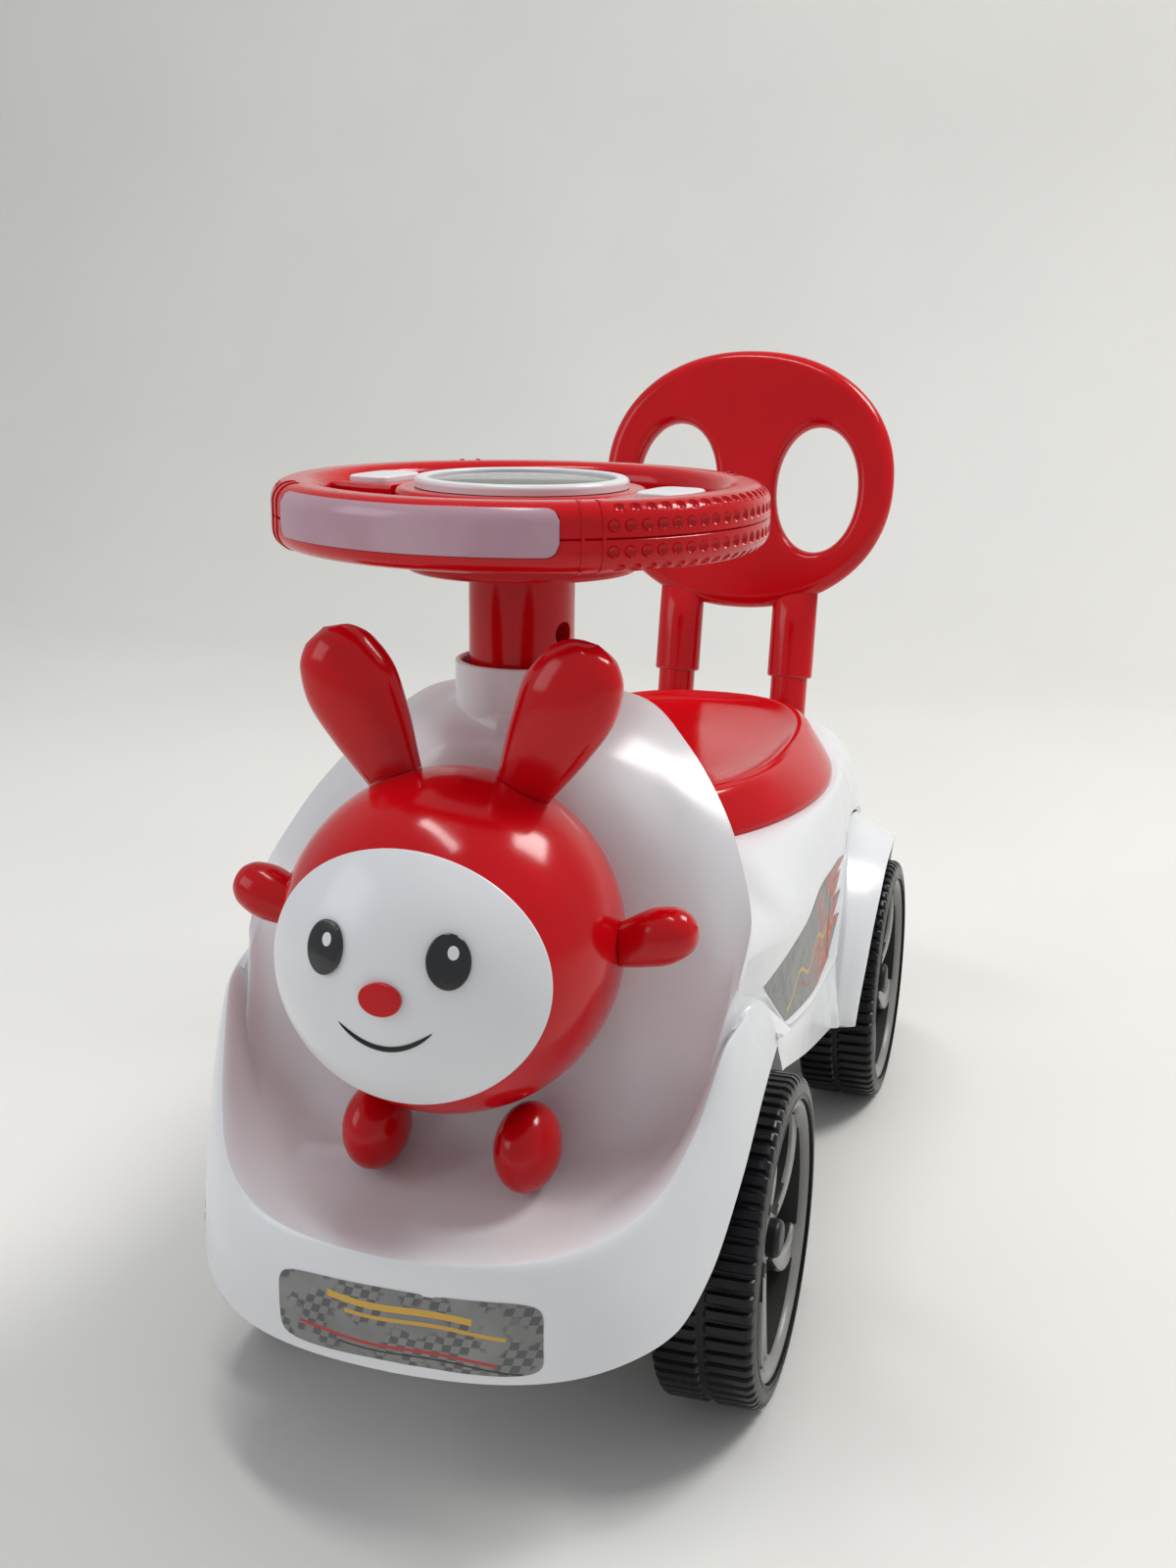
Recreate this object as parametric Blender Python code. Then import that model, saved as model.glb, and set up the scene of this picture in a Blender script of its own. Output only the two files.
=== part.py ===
"""Toddler push car with a steered front axle, free wheels, an opening seat and a toy figure on the hood.

Lengths are metres, +Z is up and the car faces -Y. Every piece is modelled in place about the car's middle
plane x = 0, then hung on an empty at its joint. The last step stands the middle of the car over the origin.
"""

from bisect import bisect_right
from math import asin, atan2, cos, inf, pi, radians, sin, sqrt

import bmesh
import bpy
from mathutils import Matrix, Vector

# Clearances
FIT_GAP = 0.0003
TURNING_GAP = 0.0003
THROUGH_GAP = 0.0012

# How far a cutter runs past what it cuts, and the reach of upright bores through the axle parts
CUTTER_MARGIN = 0.01
BORE_LOW = 0.03
BORE_HIGH = 0.13
PIVOT_DISPLAY_SIZE = 0.02

# Wheels and axles
WHEEL_RADIUS = 0.080
WHEEL_WIDTH = 0.049
AXLE_HEIGHT = WHEEL_RADIUS
FRONT_AXLE_Y = -0.170
REAR_AXLE_Y = 0.200
AXLE_RADIUS = 0.005
AXLE_END_INSET = 0.006
TYRE_EDGE_ROUND = 0.0032
RIM_RADIUS = 0.068
RIM_BARREL_WALL = 0.0045
RIM_INSET = 0.0015
RIM_DISH_DEPTH = 0.026
RIM_DISH_WALL = 0.003
HUB_RADIUS = 0.012
HUB_OUTER_INSET = 0.009
SPOKE_COUNT = 5
SPOKE_WIDTH = 0.0115
SPOKE_THICKNESS = 0.009
SPOKE_INSET = 0.0035
SPOKE_SWEEP = radians(26)
SPOKE_ROOT = 0.0105
SPOKE_SINK = 0.002
SPOKE_SHARES = (0.0, 0.35, 0.7, 1.0)
SPOKE_BEND = 1.6
SPOKE_ROOT_SHARE = 0.8
SPOKE_SPREAD = 0.55
CAP_RADIUS = 0.0095
CAP_LENGTH = 0.0062
CAP_EDGE = 0.0018

# Front cowl
COWL_WALL = 0.003
APRON_HALF_WIDTH = 0.1345
WHEEL_PROUD = 0.0025
WHEEL_OUTER_X = APRON_HALF_WIDTH + WHEEL_PROUD
APRON_REACH = 0.165
APRON_ROUNDNESS = 2.78
APRON_END_ANGLE = 87
APRON_BULGE = 0.0035
RIDGE_SETBACK = 0.009
RIDGE_HALF_WIDTH = APRON_HALF_WIDTH - RIDGE_SETBACK
RIDGE_REACH = 0.165
RIDGE_ROUNDNESS = 2.54
RIDGE_END_ANGLE = 82
COLLAR_RADIUS = 0.031
COLLAR_TOP = 0.358
COLLAR_FLOOR = 0.336
COLLAR_FLOOR_WALL = 0.003
COLLAR_SKIRT = 0.010
COLLAR_EDGE = 0.0008
COLLAR_HOLE_GAP = 0.001
COLLAR_HOLE_LOW = 0.28
FIGURE_PAD_RADIUS = 0.045

# Heights of the apron's lower edge and of the ridge, by angle round the nose
APRON_EDGE_HEIGHTS = (
    (0, 0.0820),
    (25, 0.0854),
    (40, 0.0898),
    (50, 0.0950),
    (60, 0.1136),
    (70, 0.1476),
    (80, 0.1840),
    (87, 0.1965),
)
RIDGE_HEIGHTS = (
    (0, 0.1353),
    (25, 0.1396),
    (40, 0.1465),
    (50, 0.1561),
    (60, 0.1780),
    (70, 0.2100),
    (82, 0.2165),
)

# Lines of the cowl behind the ridge, from its middle plane (0) to its rear edge (1)
VALLEY_LINE = (
    (0.00, (0.0000, -0.2920, 0.1325)),
    (0.25, (0.0380, -0.2885, 0.1335)),
    (0.50, (0.0710, -0.2760, 0.1390)),
    (0.70, (0.0980, -0.2580, 0.1600)),
    (0.85, (0.1120, -0.2420, 0.1920)),
    (1.00, (0.1210, -0.2140, 0.2210)),
)
FOOT_LINE = (
    (0.00, (0.0000, -0.2460, 0.1420)),
    (0.25, (0.0350, -0.2455, 0.1425)),
    (0.50, (0.0780, -0.2440, 0.1520)),
    (0.70, (0.1030, -0.2410, 0.1760)),
    (0.85, (0.1130, -0.2350, 0.2050)),
    (1.00, (0.1190, -0.2230, 0.2265)),
)
FACE_LINE = (
    (0.00, (0.0000, -0.2285, 0.1900)),
    (0.25, (0.0350, -0.2280, 0.1905)),
    (0.50, (0.0740, -0.2240, 0.2050)),
    (0.75, (0.1030, -0.2180, 0.2300)),
    (1.00, (0.1205, -0.2060, 0.2480)),
)
BROW_LINE = (
    (0.00, (0.0000, -0.2165, 0.2900)),
    (0.25, (0.0300, -0.2155, 0.2895)),
    (0.50, (0.0620, -0.2080, 0.2880)),
    (0.75, (0.0880, -0.1960, 0.2850)),
    (1.00, (0.1085, -0.1830, 0.2800)),
)
CREST_LINE = (
    (0.00, (0.0000, -0.2130, 0.3230)),
    (0.25, (0.0220, -0.2110, 0.3225)),
    (0.50, (0.0450, -0.1990, 0.3210)),
    (0.75, (0.0640, -0.1790, 0.3195)),
    (1.00, (0.0790, -0.1570, 0.3180)),
)
TOP_LINE = (
    (0.00, (0.0000, -0.2050, 0.3310)),
    (0.50, (0.0300, -0.1890, 0.3350)),
    (1.00, (0.0500, -0.1430, 0.3380)),
)
COLLAR_SEAM_LOW = 0.340
COLLAR_SEAM_HIGH = 0.3445
COLLAR_SEAM_SHARE = 0.98

# Seat, its hinge and the backrest's foot, which set the body's length and deck
SEAT_FRONT_Y = -0.065
SEAT_HALF_WIDTH = 0.104
SEAT_HALF_LENGTH = 0.165
SEAT_MIDDLE_Y = SEAT_FRONT_Y + SEAT_HALF_LENGTH
SEAT_BASE = 0.235
LID_HINGE_REACH = 0.006
LID_HINGE_RISE = 0.005
LID_HINGE_Y = SEAT_MIDDLE_Y + SEAT_HALF_LENGTH + LID_HINGE_REACH
LID_HINGE_Z = SEAT_BASE + LID_HINGE_RISE
BACK_FOOT_REACH = 0.0225
BACK_FOOT_RISE = 0.010
BACK_FOOT_Y = LID_HINGE_Y + BACK_FOOT_REACH
BACK_FOOT_Z = SEAT_BASE + BACK_FOOT_RISE

# Main body
BODY_WALL = 0.0025
BODY_REAR_REACH = 0.0365
BODY_REAR = BACK_FOOT_Y + BODY_REAR_REACH
NECK_LEAN_TOP = 0.345
NECK_LEAN_RISE = 0.010
NECK_LEAN_BOTTOM = SEAT_BASE + NECK_LEAN_RISE
REAR_ROUND_LENGTH = 0.110
REAR_ROUND_START = BODY_REAR - REAR_ROUND_LENGTH
REAR_PLAN_ROUNDNESS = 2.6
REAR_TOP_ROUNDNESS = 8
SHOULDER_ROUNDNESS = 2.1
DECK_FLAT_HALF_WIDTH = 0.078
NECK_FLAT_HALF_WIDTH = 0.012
SHOULDER_LEAST_DROP = 0.02
SECTION_LEAST_STEP = 0.006
SIDE_BOW = 0.0005
SKIRT_BEND = 0.45
FLARE_SETBACK = 0.0015
SILL_SETBACK = 0.011
CREASE_SETBACK = 0.0195
FLARE_X = APRON_HALF_WIDTH - FLARE_SETBACK
SILL_X = APRON_HALF_WIDTH - SILL_SETBACK
CREASE_X = APRON_HALF_WIDTH - CREASE_SETBACK
WELL_SIDE_GAP = 0.0045
STEERING_ROOM = 0.026
FRONT_WELL_RADIUS = 0.1015
REAR_WELL_RADIUS = 0.0995
REAR_WELL_X = WHEEL_OUTER_X - WHEEL_WIDTH - WELL_SIDE_GAP
FRONT_WELL_X = REAR_WELL_X - STEERING_ROOM
FLARE_CREASE_RADIUS = 0.115
FLARE_FADE = 0.05
ARCH_LAP = 0.004
FRONT_BELOW_LAP = 0.008
REAR_BELOW_LAP = 0.001
BELOW_FRONT_Y = -0.30
WELL_SIDE_ROOM = 0.023
WELL_REACH_X = WHEEL_OUTER_X + WELL_SIDE_ROOM
SPINE_BOTTOM = 0.1187
SILL_BOTTOM = 0.084
TAIL_BOTTOM = 0.095
TAIL_CREASE_RISE = 0.02

# Half width, widest height, top height and lean of the body's sections, along its length
BODY_HALF_WIDTHS = (
    (-0.140, APRON_HALF_WIDTH - 0.0310),
    (-0.120, APRON_HALF_WIDTH - 0.0265),
    (-0.100, APRON_HALF_WIDTH - 0.0240),
    (-0.060, APRON_HALF_WIDTH - 0.0200),
    (0.000, APRON_HALF_WIDTH - 0.0165),
    (0.100, APRON_HALF_WIDTH - 0.0155),
    (0.220, APRON_HALF_WIDTH - 0.0180),
)
BODY_WIDEST_HEIGHTS = (
    (-0.140, 0.2250),
    (-0.060, 0.2050),
    (0.020, 0.1920),
    (0.140, 0.1950),
    (0.200, 0.2060),
    (BODY_REAR, 0.1950),
)
BODY_TOPS = (
    (-0.140, 0.3370),
    (-0.120, 0.2920),
    (-0.100, SEAT_BASE + 0.0210),
    (-0.080, SEAT_BASE + 0.0035),
    (-0.066, SEAT_BASE),
    (BODY_REAR, SEAT_BASE),
)
BODY_LEANS = (
    (-0.140, 0.70),
    (-0.120, 0.55),
    (-0.080, 0.27),
    (-0.060, 0.14),
    (-0.040, 0.0),
)
CREASE_HEIGHTS = (
    (-0.225, 0.2050),
    (-0.110, 0.1800),
    (-0.064, 0.1460),
    (-0.017, 0.1320),
    (0.023, 0.1240),
    (0.067, 0.1250),
)

# Storage well, seat lid and its hinge
SEAT_WALL = 0.0025
SEAT_MARGIN = 0.002
STORE_END_MARGIN = 0.047
STORE_HALF_WIDTH = 0.075
STORE_HALF_LENGTH = SEAT_HALF_LENGTH - STORE_END_MARGIN
STORE_FLOOR = 0.135
STORE_ROUNDNESS = 3.0
LID_PIN_RADIUS = 0.0022
LID_KNUCKLE_RADIUS = 0.0044
LID_KNUCKLE_HALF_WIDTH = 0.018
LID_LUG_WIDTH = 0.008
LID_TONGUE_HEIGHT = 0.0040
LID_TONGUE_LAP = 0.007

# Rings of the lid, from its lower edge to the middle of the dish: share of half width, share of half length,
# distance behind the seat's middle, height above the lower edge, roundness
LID_RINGS = (
    (0.988, 0.992, 0.000, 0.0000, 2.00),
    (0.988, 0.992, 0.000, 0.0025, 2.00),
    (0.900, 0.930, -0.001, 0.0155, 2.15),
    (0.800, 0.872, 0.001, 0.0245, 2.45),
    (0.750, 0.843, 0.002, 0.0256, 2.50),
    (0.660, 0.778, 0.002, 0.0210, 2.40),
    (0.400, 0.480, 0.000, 0.0158, 2.10),
)
LID_DISH_HEIGHT = 0.0150

# Backrest
BACK_TILT = radians(11.5)
BACK_CENTRE_UP = 0.158
BACK_HALF_WIDTH = 0.105
BACK_HALF_HEIGHT = 0.0915
BACK_THICKNESS = 0.018
BACK_ROUNDNESS = 2.15
HAND_HOLE_X = 0.051
HAND_HOLE_HALF_WIDTH = 0.031
HAND_HOLE_HALF_HEIGHT = 0.046
POST_X = 0.0415
POST_RADIUS = 0.016
POST_DEPTH_SHARE = 0.85
POST_TOP_UP = 0.090
PEG_RADIUS = 0.013
PEG_STEP_UP = 0.0185
PEG_END_DOWN = 0.040
SOCKET_REACH = 0.03

# Steering column
COLUMN_RADIUS = 0.0245
COLUMN_TOP = 0.4082
SHAFT_RADIUS = 0.006
SHAFT_FOOT = 0.046
SHAFT_TOP = 0.4135
BOLT_HEIGHT = 0.372
BOLT_TURN = radians(-9)
BOLT_RADIUS = 0.0025
BOLT_HEAD_RADIUS = 0.0042
BOLT_HEAD_HEIGHT = 0.003
NUT_RADIUS = 0.0046
NUT_SIDES = 6
BOLT_SEAT_RADIUS = 0.012
BOLT_HOLE_RADIUS = 0.0055
BUSH_HEIGHT = 0.005

# Steering wheel
WHEEL_TURN = radians(-10)
HANDWHEEL_RADIUS = 0.113
HANDWHEEL_INNER = 0.0905
HANDWHEEL_TOP = 0.441
HANDWHEEL_BOTTOM = 0.412
HANDWHEEL_SEAM = 0.4265
HANDWHEEL_CORNER = 0.006
HUB_SHELL_RADIUS = 0.058
HUB_SHELL_WALL = 0.0045
HUB_TOP = 0.4372
HUB_ROOF = 0.434
HUB_ROOF_WALL = 0.002
HUB_FLOOR = 0.411
HUB_FLOOR_WALL = 0.0025
HUB_SHOULDER = 0.0032
ARM_HALF_WIDTH = 0.026
ARM_TOP = 0.4368
ARM_BOTTOM = 0.417
ARM_HUB_LAP = 0.001
ARM_RIM_LAP = 0.006
COVER_RADIUS = 0.0535
COVER_BOTTOM = 0.400
COVER_EDGE = 0.002
BUTTON_CENTRE_RADIUS = 0.0745
BUTTON_HALF_WIDTH = 0.0115
BUTTON_HALF_LENGTH = 0.0175
BUTTON_TOP = 0.4395
BUTTON_HEIGHT = 0.004
BUTTON_TRAVEL = 0.0012
BUTTON_ROUNDNESS = 2.3
BUTTON_EDGE = 0.0006
BEZEL_RADIUS = 0.049
BEZEL_INNER = 0.043
BEZEL_TOP = 0.442
BEZEL_EDGE = 0.0012
WINDOW_THICKNESS = 0.0014
DIAL_THICKNESS = 0.001
LENS_HALF_SPAN = radians(39)
LENS_BOTTOM = 0.4195
LENS_THICKNESS = 0.0022
LENS_PROUD = 0.0006
LENS_BEND = 0.3
BATTERY_RADIUS = 0.007
BATTERY_LENGTH = 0.0495
BATTERY_OFFSET = 0.016
BOARD_HALF_LENGTH = 0.030
BOARD_HALF_WIDTH = 0.024
BOARD_THICKNESS = 0.0015
SPEAKER_RADIUS = 0.014
SPEAKER_HEIGHT = 0.0032

# Front axle linkage
KINGPIN_SETBACK = 0.018
KINGPIN_X = WHEEL_OUTER_X - WHEEL_WIDTH - KINGPIN_SETBACK
KINGPIN_RADIUS = 0.0035
KINGPIN_HEAD_RADIUS = 0.006
KINGPIN_HEAD_HEIGHT = 0.0022
KINGPIN_TAIL = 0.003
BRACKET_TOP = 0.114
BRACKET_BOTTOM = 0.046
BRACKET_WALL = 0.006
WEB_INSET = 0.0005
BRACKET_FRONT = 0.035
BRACKET_REAR = 0.020
BRACKET_SIDE_GAP = 0.012
BRACKET_HALF_WIDTH = KINGPIN_X - BRACKET_SIDE_GAP
BRACKET_EAR_RADIUS = 0.011
KNUCKLE_RADIUS = 0.0095
STUB_SHOULDER_RADIUS = 0.008
STUB_GAP = 0.0008
STUB_SHOULDER_X = WHEEL_OUTER_X - WHEEL_WIDTH - STUB_GAP
ARM_LENGTH = 0.035
ARM_WIDTH = 0.012
ARM_LOW = 0.058
ARM_HIGH = 0.066
LINK_PIN_RADIUS = 0.003
LINK_PIN_TOP = 0.0755
LINK_PIN_SINK = 0.002
TIE_ROD_HEIGHT = 0.006
TIE_ROD_WIDTH = 0.011
CRANK_RADIUS = 0.011

# Underbody tray and rear axle
TRAY_THICKNESS = 0.004
TRAY_SEAT_GAP = 0.0004
TRAY_FRONT = -0.235
TRAY_TAIL_GAP = 0.014
TRAY_SIDE_GAP = 0.013
TRAY_REAR = BODY_REAR - TRAY_TAIL_GAP
TRAY_MIDDLE_HALF_WIDTH = SILL_X - TRAY_SIDE_GAP
TRAY_MIDDLE_FRONT = -0.063
TRAY_MIDDLE_REAR = 0.096
TRAY_CORNER = 0.02
BLOCK_INNER_X = 0.060
BLOCK_HALF_WIDTH = 0.012
BLOCK_BOTTOM = 0.068

# Toy figure
FIGURE_Y = -0.260
FIGURE_Z = 0.250
FIGURE_RADIUS = 0.0755
FIGURE_BACK_Y = -0.2348
FIGURE_WALL = 0.0025
FIGURE_POST_RADIUS = 0.008
FACE_THICKNESS = 0.0022
FACE_GAP = 0.0010
FACE_HALF_ANGLES = (radians(52), radians(44))
FACE_LIFT = radians(2)
EYE_SIZE = radians(6.5)
EYE_TALLNESS = 1.25
EYE_TURN = radians(20)
EYE_LIFT = radians(13)
EYE_THICKNESS = 0.0012
NOSE_SIZE = radians(5)
NOSE_BREADTH = 1.3
NOSE_LIFT = radians(1)
NOSE_THICKNESS = 0.003
EAR_LENGTH = 0.092
EAR_HALF_WIDTH = 0.0215
EAR_HALF_DEPTH = 0.0155
EAR_BASE = (0.020, -0.252, 0.300)
EAR_LEAN = radians(27)
# Share of a limb's length, and its size there
LIMB_SIZES = ((0.04, 0.40), (0.25, 0.62), (0.50, 0.88), (0.70, 1.0), (0.86, 0.86), (0.96, 0.52))
PAW_LENGTH = 0.056
PAW_HALF_WIDTH = 0.0125
PAW_BASE = (0.055, -0.254, 0.246)
PAW_LEAN = radians(70)
FOOT_MIDDLE = (0.036, -0.2640, 0.1580)
FOOT_HALF_SIZES = (0.0145, 0.0215, 0.0200)
FIGURE_SCREW_RADIUS = 0.002
FIGURE_SCREW_HEAD_RADIUS = 0.004
FIGURE_SCREW_HEAD_HEIGHT = 0.0025
FIGURE_SCREW_DEPTH = 0.022
FIGURE_SCREW_ROOM = 0.002
HOOD_BACK_Y = -0.2175

# Mesh fineness
WHEEL_STEPS = 24
HANDWHEEL_STEPS = 28
WELL_STEPS = 24
SHAFT_STEPS = 12
HUB_STEPS = 20
COWL_COLUMNS = 22
LENS_STEPS = 10
LID_STEPS = 24
BACK_STEPS = 28
POST_STEPS = 16
EAR_STEPS = 6
KNUCKLE_STEPS = 16
FIGURE_STEPS = 22
COLLAR_BORE_TURN = pi / HUB_STEPS


def along(keys, at):
    """Smooth value at a place among keys, which never overshoots them. A value is a number or a tuple."""
    if isinstance(keys[0][1], tuple):
        parts = range(len(keys[0][1]))
        return tuple(along([(key[0], key[1][part]) for key in keys], at) for part in parts)
    places = [key[0] for key in keys]
    values = [key[1] for key in keys]
    if at <= places[0]:
        return values[0]
    if at >= places[-1]:
        return values[-1]
    i = bisect_right(places, at) - 1
    rises = [(v2 - v1) / (p2 - p1) for p1, p2, v1, v2 in zip(places, places[1:], values, values[1:])]

    def slope(k):
        if k == 0 or k == len(keys) - 1:
            return rises[min(k, len(rises) - 1)]
        before, after = rises[k - 1], rises[k]
        return 0.0 if before * after <= 0 else 2 * before * after / (before + after)

    width = places[i + 1] - places[i]
    t = (at - places[i]) / width
    first = values[i] * (2 * t**3 - 3 * t**2 + 1) + slope(i) * width * (t**3 - 2 * t**2 + t)
    second = values[i + 1] * (3 * t**2 - 2 * t**3) + slope(i + 1) * width * (t**3 - t**2)
    return first + second


def signed_power(value, power):
    return abs(value) ** power * (1 if value >= 0 else -1)


def oval_ring(half_width, half_length, roundness, steps):
    """Points (x, y) round a superellipse."""
    turns = [2 * pi * i / steps for i in range(steps)]
    return [
        (
            half_width * signed_power(cos(t), 2 / roundness),
            half_length * signed_power(sin(t), 2 / roundness),
        )
        for t in turns
    ]


def clear_scene():
    for obj in list(bpy.data.objects):
        bpy.data.objects.remove(obj, do_unlink=True)


def material(name, colour, roughness, metallic=0.0, alpha=1.0):
    made = bpy.data.materials.new(name)
    made.use_nodes = True
    shader = made.node_tree.nodes["Principled BSDF"]
    shader.inputs["Base Color"].default_value = (*colour, 1.0)
    shader.inputs["Roughness"].default_value = roughness
    shader.inputs["Metallic"].default_value = metallic
    shader.inputs["Alpha"].default_value = alpha
    return made


def pivot(name, place, parent=None, turn=0.0):
    """Empty on a joint's axis. Its place is in the car's own coordinates."""
    empty = bpy.data.objects.new(name, None)
    empty.empty_display_size = PIVOT_DISPLAY_SIZE
    bpy.context.scene.collection.objects.link(empty)
    empty.parent = parent
    above = parent["place"] if parent else (0.0, 0.0, 0.0)
    empty.location = [a - b for a, b in zip(place, above)]
    empty.rotation_euler[2] = turn
    empty["place"] = place
    return empty


def hang(obj, carrier):
    """Carry an object on an empty, with the object's origin at the empty."""
    obj.data.transform(Matrix.Translation([-c for c in carrier["place"]]))
    obj.parent = carrier
    return obj


def piece(name, mesh, finish, carrier, smooth_angle=radians(35)):
    obj = bpy.data.objects.new(name, mesh)
    bpy.context.scene.collection.objects.link(obj)
    if not mesh.materials:
        mesh.materials.append(finish)
    mesh.shade_smooth()
    mesh.set_sharp_from_angle(angle=smooth_angle)
    return hang(obj, carrier)


def helper(name, mesh, carrier):
    """Cutter or filler that shapes another object and isn't a piece itself."""
    obj = bpy.data.objects.new(name, mesh)
    bpy.context.scene.collection.objects.link(obj)
    obj.hide_render = True
    obj.display_type = "WIRE"
    return hang(obj, carrier)


def shape(obj, operation, other):
    modifier = obj.modifiers.new(other.name, "BOOLEAN")
    modifier.operation = operation
    modifier.object = other
    modifier.solver = "EXACT"


def cut(obj, other):
    shape(obj, "DIFFERENCE", other)


def add(obj, other):
    shape(obj, "UNION", other)


def finished(bm, name, smooth_normals=True):
    if smooth_normals:
        bmesh.ops.recalc_face_normals(bm, faces=bm.faces)
    mesh = bpy.data.meshes.new(name)
    bm.to_mesh(mesh)
    bm.free()
    return mesh


def skinned(name, rings, closed=True, flat_points=0):
    """Closed mesh over rings of points, with end faces. A ring of one point closes to a tip.

    With flat points, an end isn't flat as a whole: it is filled in strips from side to side of a ring that is
    alike left and right, below a first face that takes in this many points to each side of the ring's middle.
    """
    bm = bmesh.new()
    rows = [[bm.verts.new(point) for point in ring] for ring in rings]
    for low, high in zip(rows, rows[1:]):
        count = max(len(low), len(high))
        for i in range(count if closed else count - 1):
            j = (i + 1) % count
            corners = [low[i % len(low)], low[j % len(low)], high[j % len(high)], high[i % len(high)]]
            bm.faces.new(list(dict.fromkeys(corners)))
    if closed:
        for row in (rows[0], rows[-1]):
            middle = len(row) // 2
            if flat_points:
                bm.faces.new(row[middle - flat_points:middle + flat_points + 1])
                for i in range(flat_points, middle):
                    corners = (middle - i - 1, middle - i, middle + i, middle + i + 1)
                    bm.faces.new([row[corner] for corner in corners])
            elif len(row) > 2:
                bm.faces.new(row)
    return finished(bm, name)


def on_axis(axis, radius, reach, turn):
    """Point at a radius and turn round an axis, and a reach along it."""
    across, up = radius * cos(turn), radius * sin(turn)
    return {"X": (reach, across, up), "Y": (up, reach, across), "Z": (across, up, reach)}[axis]


def turned(name, profile, axis, centre=(0.0, 0.0, 0.0), steps=SHAFT_STEPS, start=0.0):
    """Solid of revolution. A profile of (radius, reach) that doesn't start on the axis is a closed loop."""
    bm = bmesh.new()
    turns = [start + 2 * pi * i / steps for i in range(steps)]
    rows = []
    for radius, reach in profile:
        around = turns if radius > 0 else [0.0]
        rows.append([bm.verts.new(Vector(on_axis(axis, radius, reach, t)) + Vector(centre)) for t in around])
    if profile[0][0] > 0:
        rows.append(rows[0])
    for low, high in zip(rows, rows[1:]):
        for i in range(max(len(low), len(high))):
            j = (i + 1) % steps
            corners = [low[i % len(low)], low[j % len(low)], high[j % len(high)], high[i % len(high)]]
            kept = list(dict.fromkeys(corners))
            if len(kept) > 2:
                bm.faces.new(kept)
    return finished(bm, name)


def rod(name, radius, start, end, axis, centre=(0.0, 0.0, 0.0), steps=SHAFT_STEPS):
    return turned(name, [(0, start), (radius, start), (radius, end), (0, end)], axis, centre, steps)


def tube(name, inner, outer, start, end, axis, centre=(0.0, 0.0, 0.0), steps=SHAFT_STEPS, first_turn=0.0):
    loop = [(inner, start), (outer, start), (outer, end), (inner, end)]
    return turned(name, loop, axis, centre, steps, first_turn)


def extruded(name, outline, bottom, top):
    """Upright prism over an outline of (x, y) points."""
    return skinned(name, [[(x, y, z) for x, y in outline] for z in (bottom, top)])


def block(name, low, high):
    outline = [(low[0], low[1]), (high[0], low[1]), (high[0], high[1]), (low[0], high[1])]
    return extruded(name, outline, low[2], high[2])


def merged(name, meshes):
    """One mesh holding several apart solids, for a cutter that works in more than one place."""
    bm = bmesh.new()
    for mesh in meshes:
        bm.from_mesh(mesh)
        bpy.data.meshes.remove(mesh)
    return finished(bm, name)


def evaluated_mesh(obj, name):
    """Mesh of an object as its modifiers leave it."""
    bpy.context.view_layer.update()
    graph = bpy.context.evaluated_depsgraph_get()
    mesh = bpy.data.meshes.new_from_object(obj.evaluated_get(graph))
    mesh.name = name
    return mesh


def drop(*objects):
    for obj in objects:
        bpy.data.objects.remove(obj, do_unlink=True)


def nose_curve(half_width, reach, roundness, angle, height):
    """Point of a rounded line round the car's nose, at an angle from straight ahead."""
    across, ahead = sin(radians(angle)), cos(radians(angle))
    return (
        half_width * across ** (2 / roundness),
        FRONT_AXLE_Y - reach * ahead ** (2 / roundness),
        height,
    )


def cowl_lines(u):
    """The cowl's lines from the apron's edge to the collar, at a share u of the way to its rear edge."""
    edge_angle, ridge_angle = APRON_END_ANGLE * u, RIDGE_END_ANGLE * u
    edge_height = along(APRON_EDGE_HEIGHTS, edge_angle)
    edge = nose_curve(APRON_HALF_WIDTH, APRON_REACH, APRON_ROUNDNESS, edge_angle, edge_height)
    ridge_height = along(RIDGE_HEIGHTS, ridge_angle)
    ridge = nose_curve(RIDGE_HALF_WIDTH, RIDGE_REACH, RIDGE_ROUNDNESS, ridge_angle, ridge_height)
    bulge = APRON_BULGE * (1 - u**4)
    middle_angle = radians((edge_angle + ridge_angle) / 2)
    middle = (
        (edge[0] + ridge[0]) / 2 + bulge * sin(middle_angle),
        (edge[1] + ridge[1]) / 2 - bulge * cos(middle_angle),
        (edge[2] + ridge[2]) / 2,
    )
    seam_radius = COLLAR_RADIUS - COWL_WALL / 3
    seam_turn = pi * COLLAR_SEAM_SHARE * u
    seam = (
        seam_radius * sin(seam_turn),
        FRONT_AXLE_Y - seam_radius * cos(seam_turn),
        COLLAR_SEAM_LOW + (COLLAR_SEAM_HIGH - COLLAR_SEAM_LOW) * u,
    )
    lines = (VALLEY_LINE, FOOT_LINE, FACE_LINE, BROW_LINE, CREST_LINE, TOP_LINE)
    drawn = [along(line, u) for line in lines]
    return [edge, middle, ridge, *drawn, seam]


# Places of the cowl's rows between its lines: 0 is the apron's edge, 2 the ridge and 9 the collar
COWL_ROWS = (0, 0.7, 1.4, 2, 2.4, 3, 3.6, 4, 4.5, 5, 6, 7, 8, 9)


def cowl_column(u, rows):
    keys = list(enumerate(cowl_lines(abs(u))))
    side = 1 if u >= 0 else -1
    return [(side * x, y, z) for x, y, z in (along(keys, row) for row in rows)]


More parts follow.
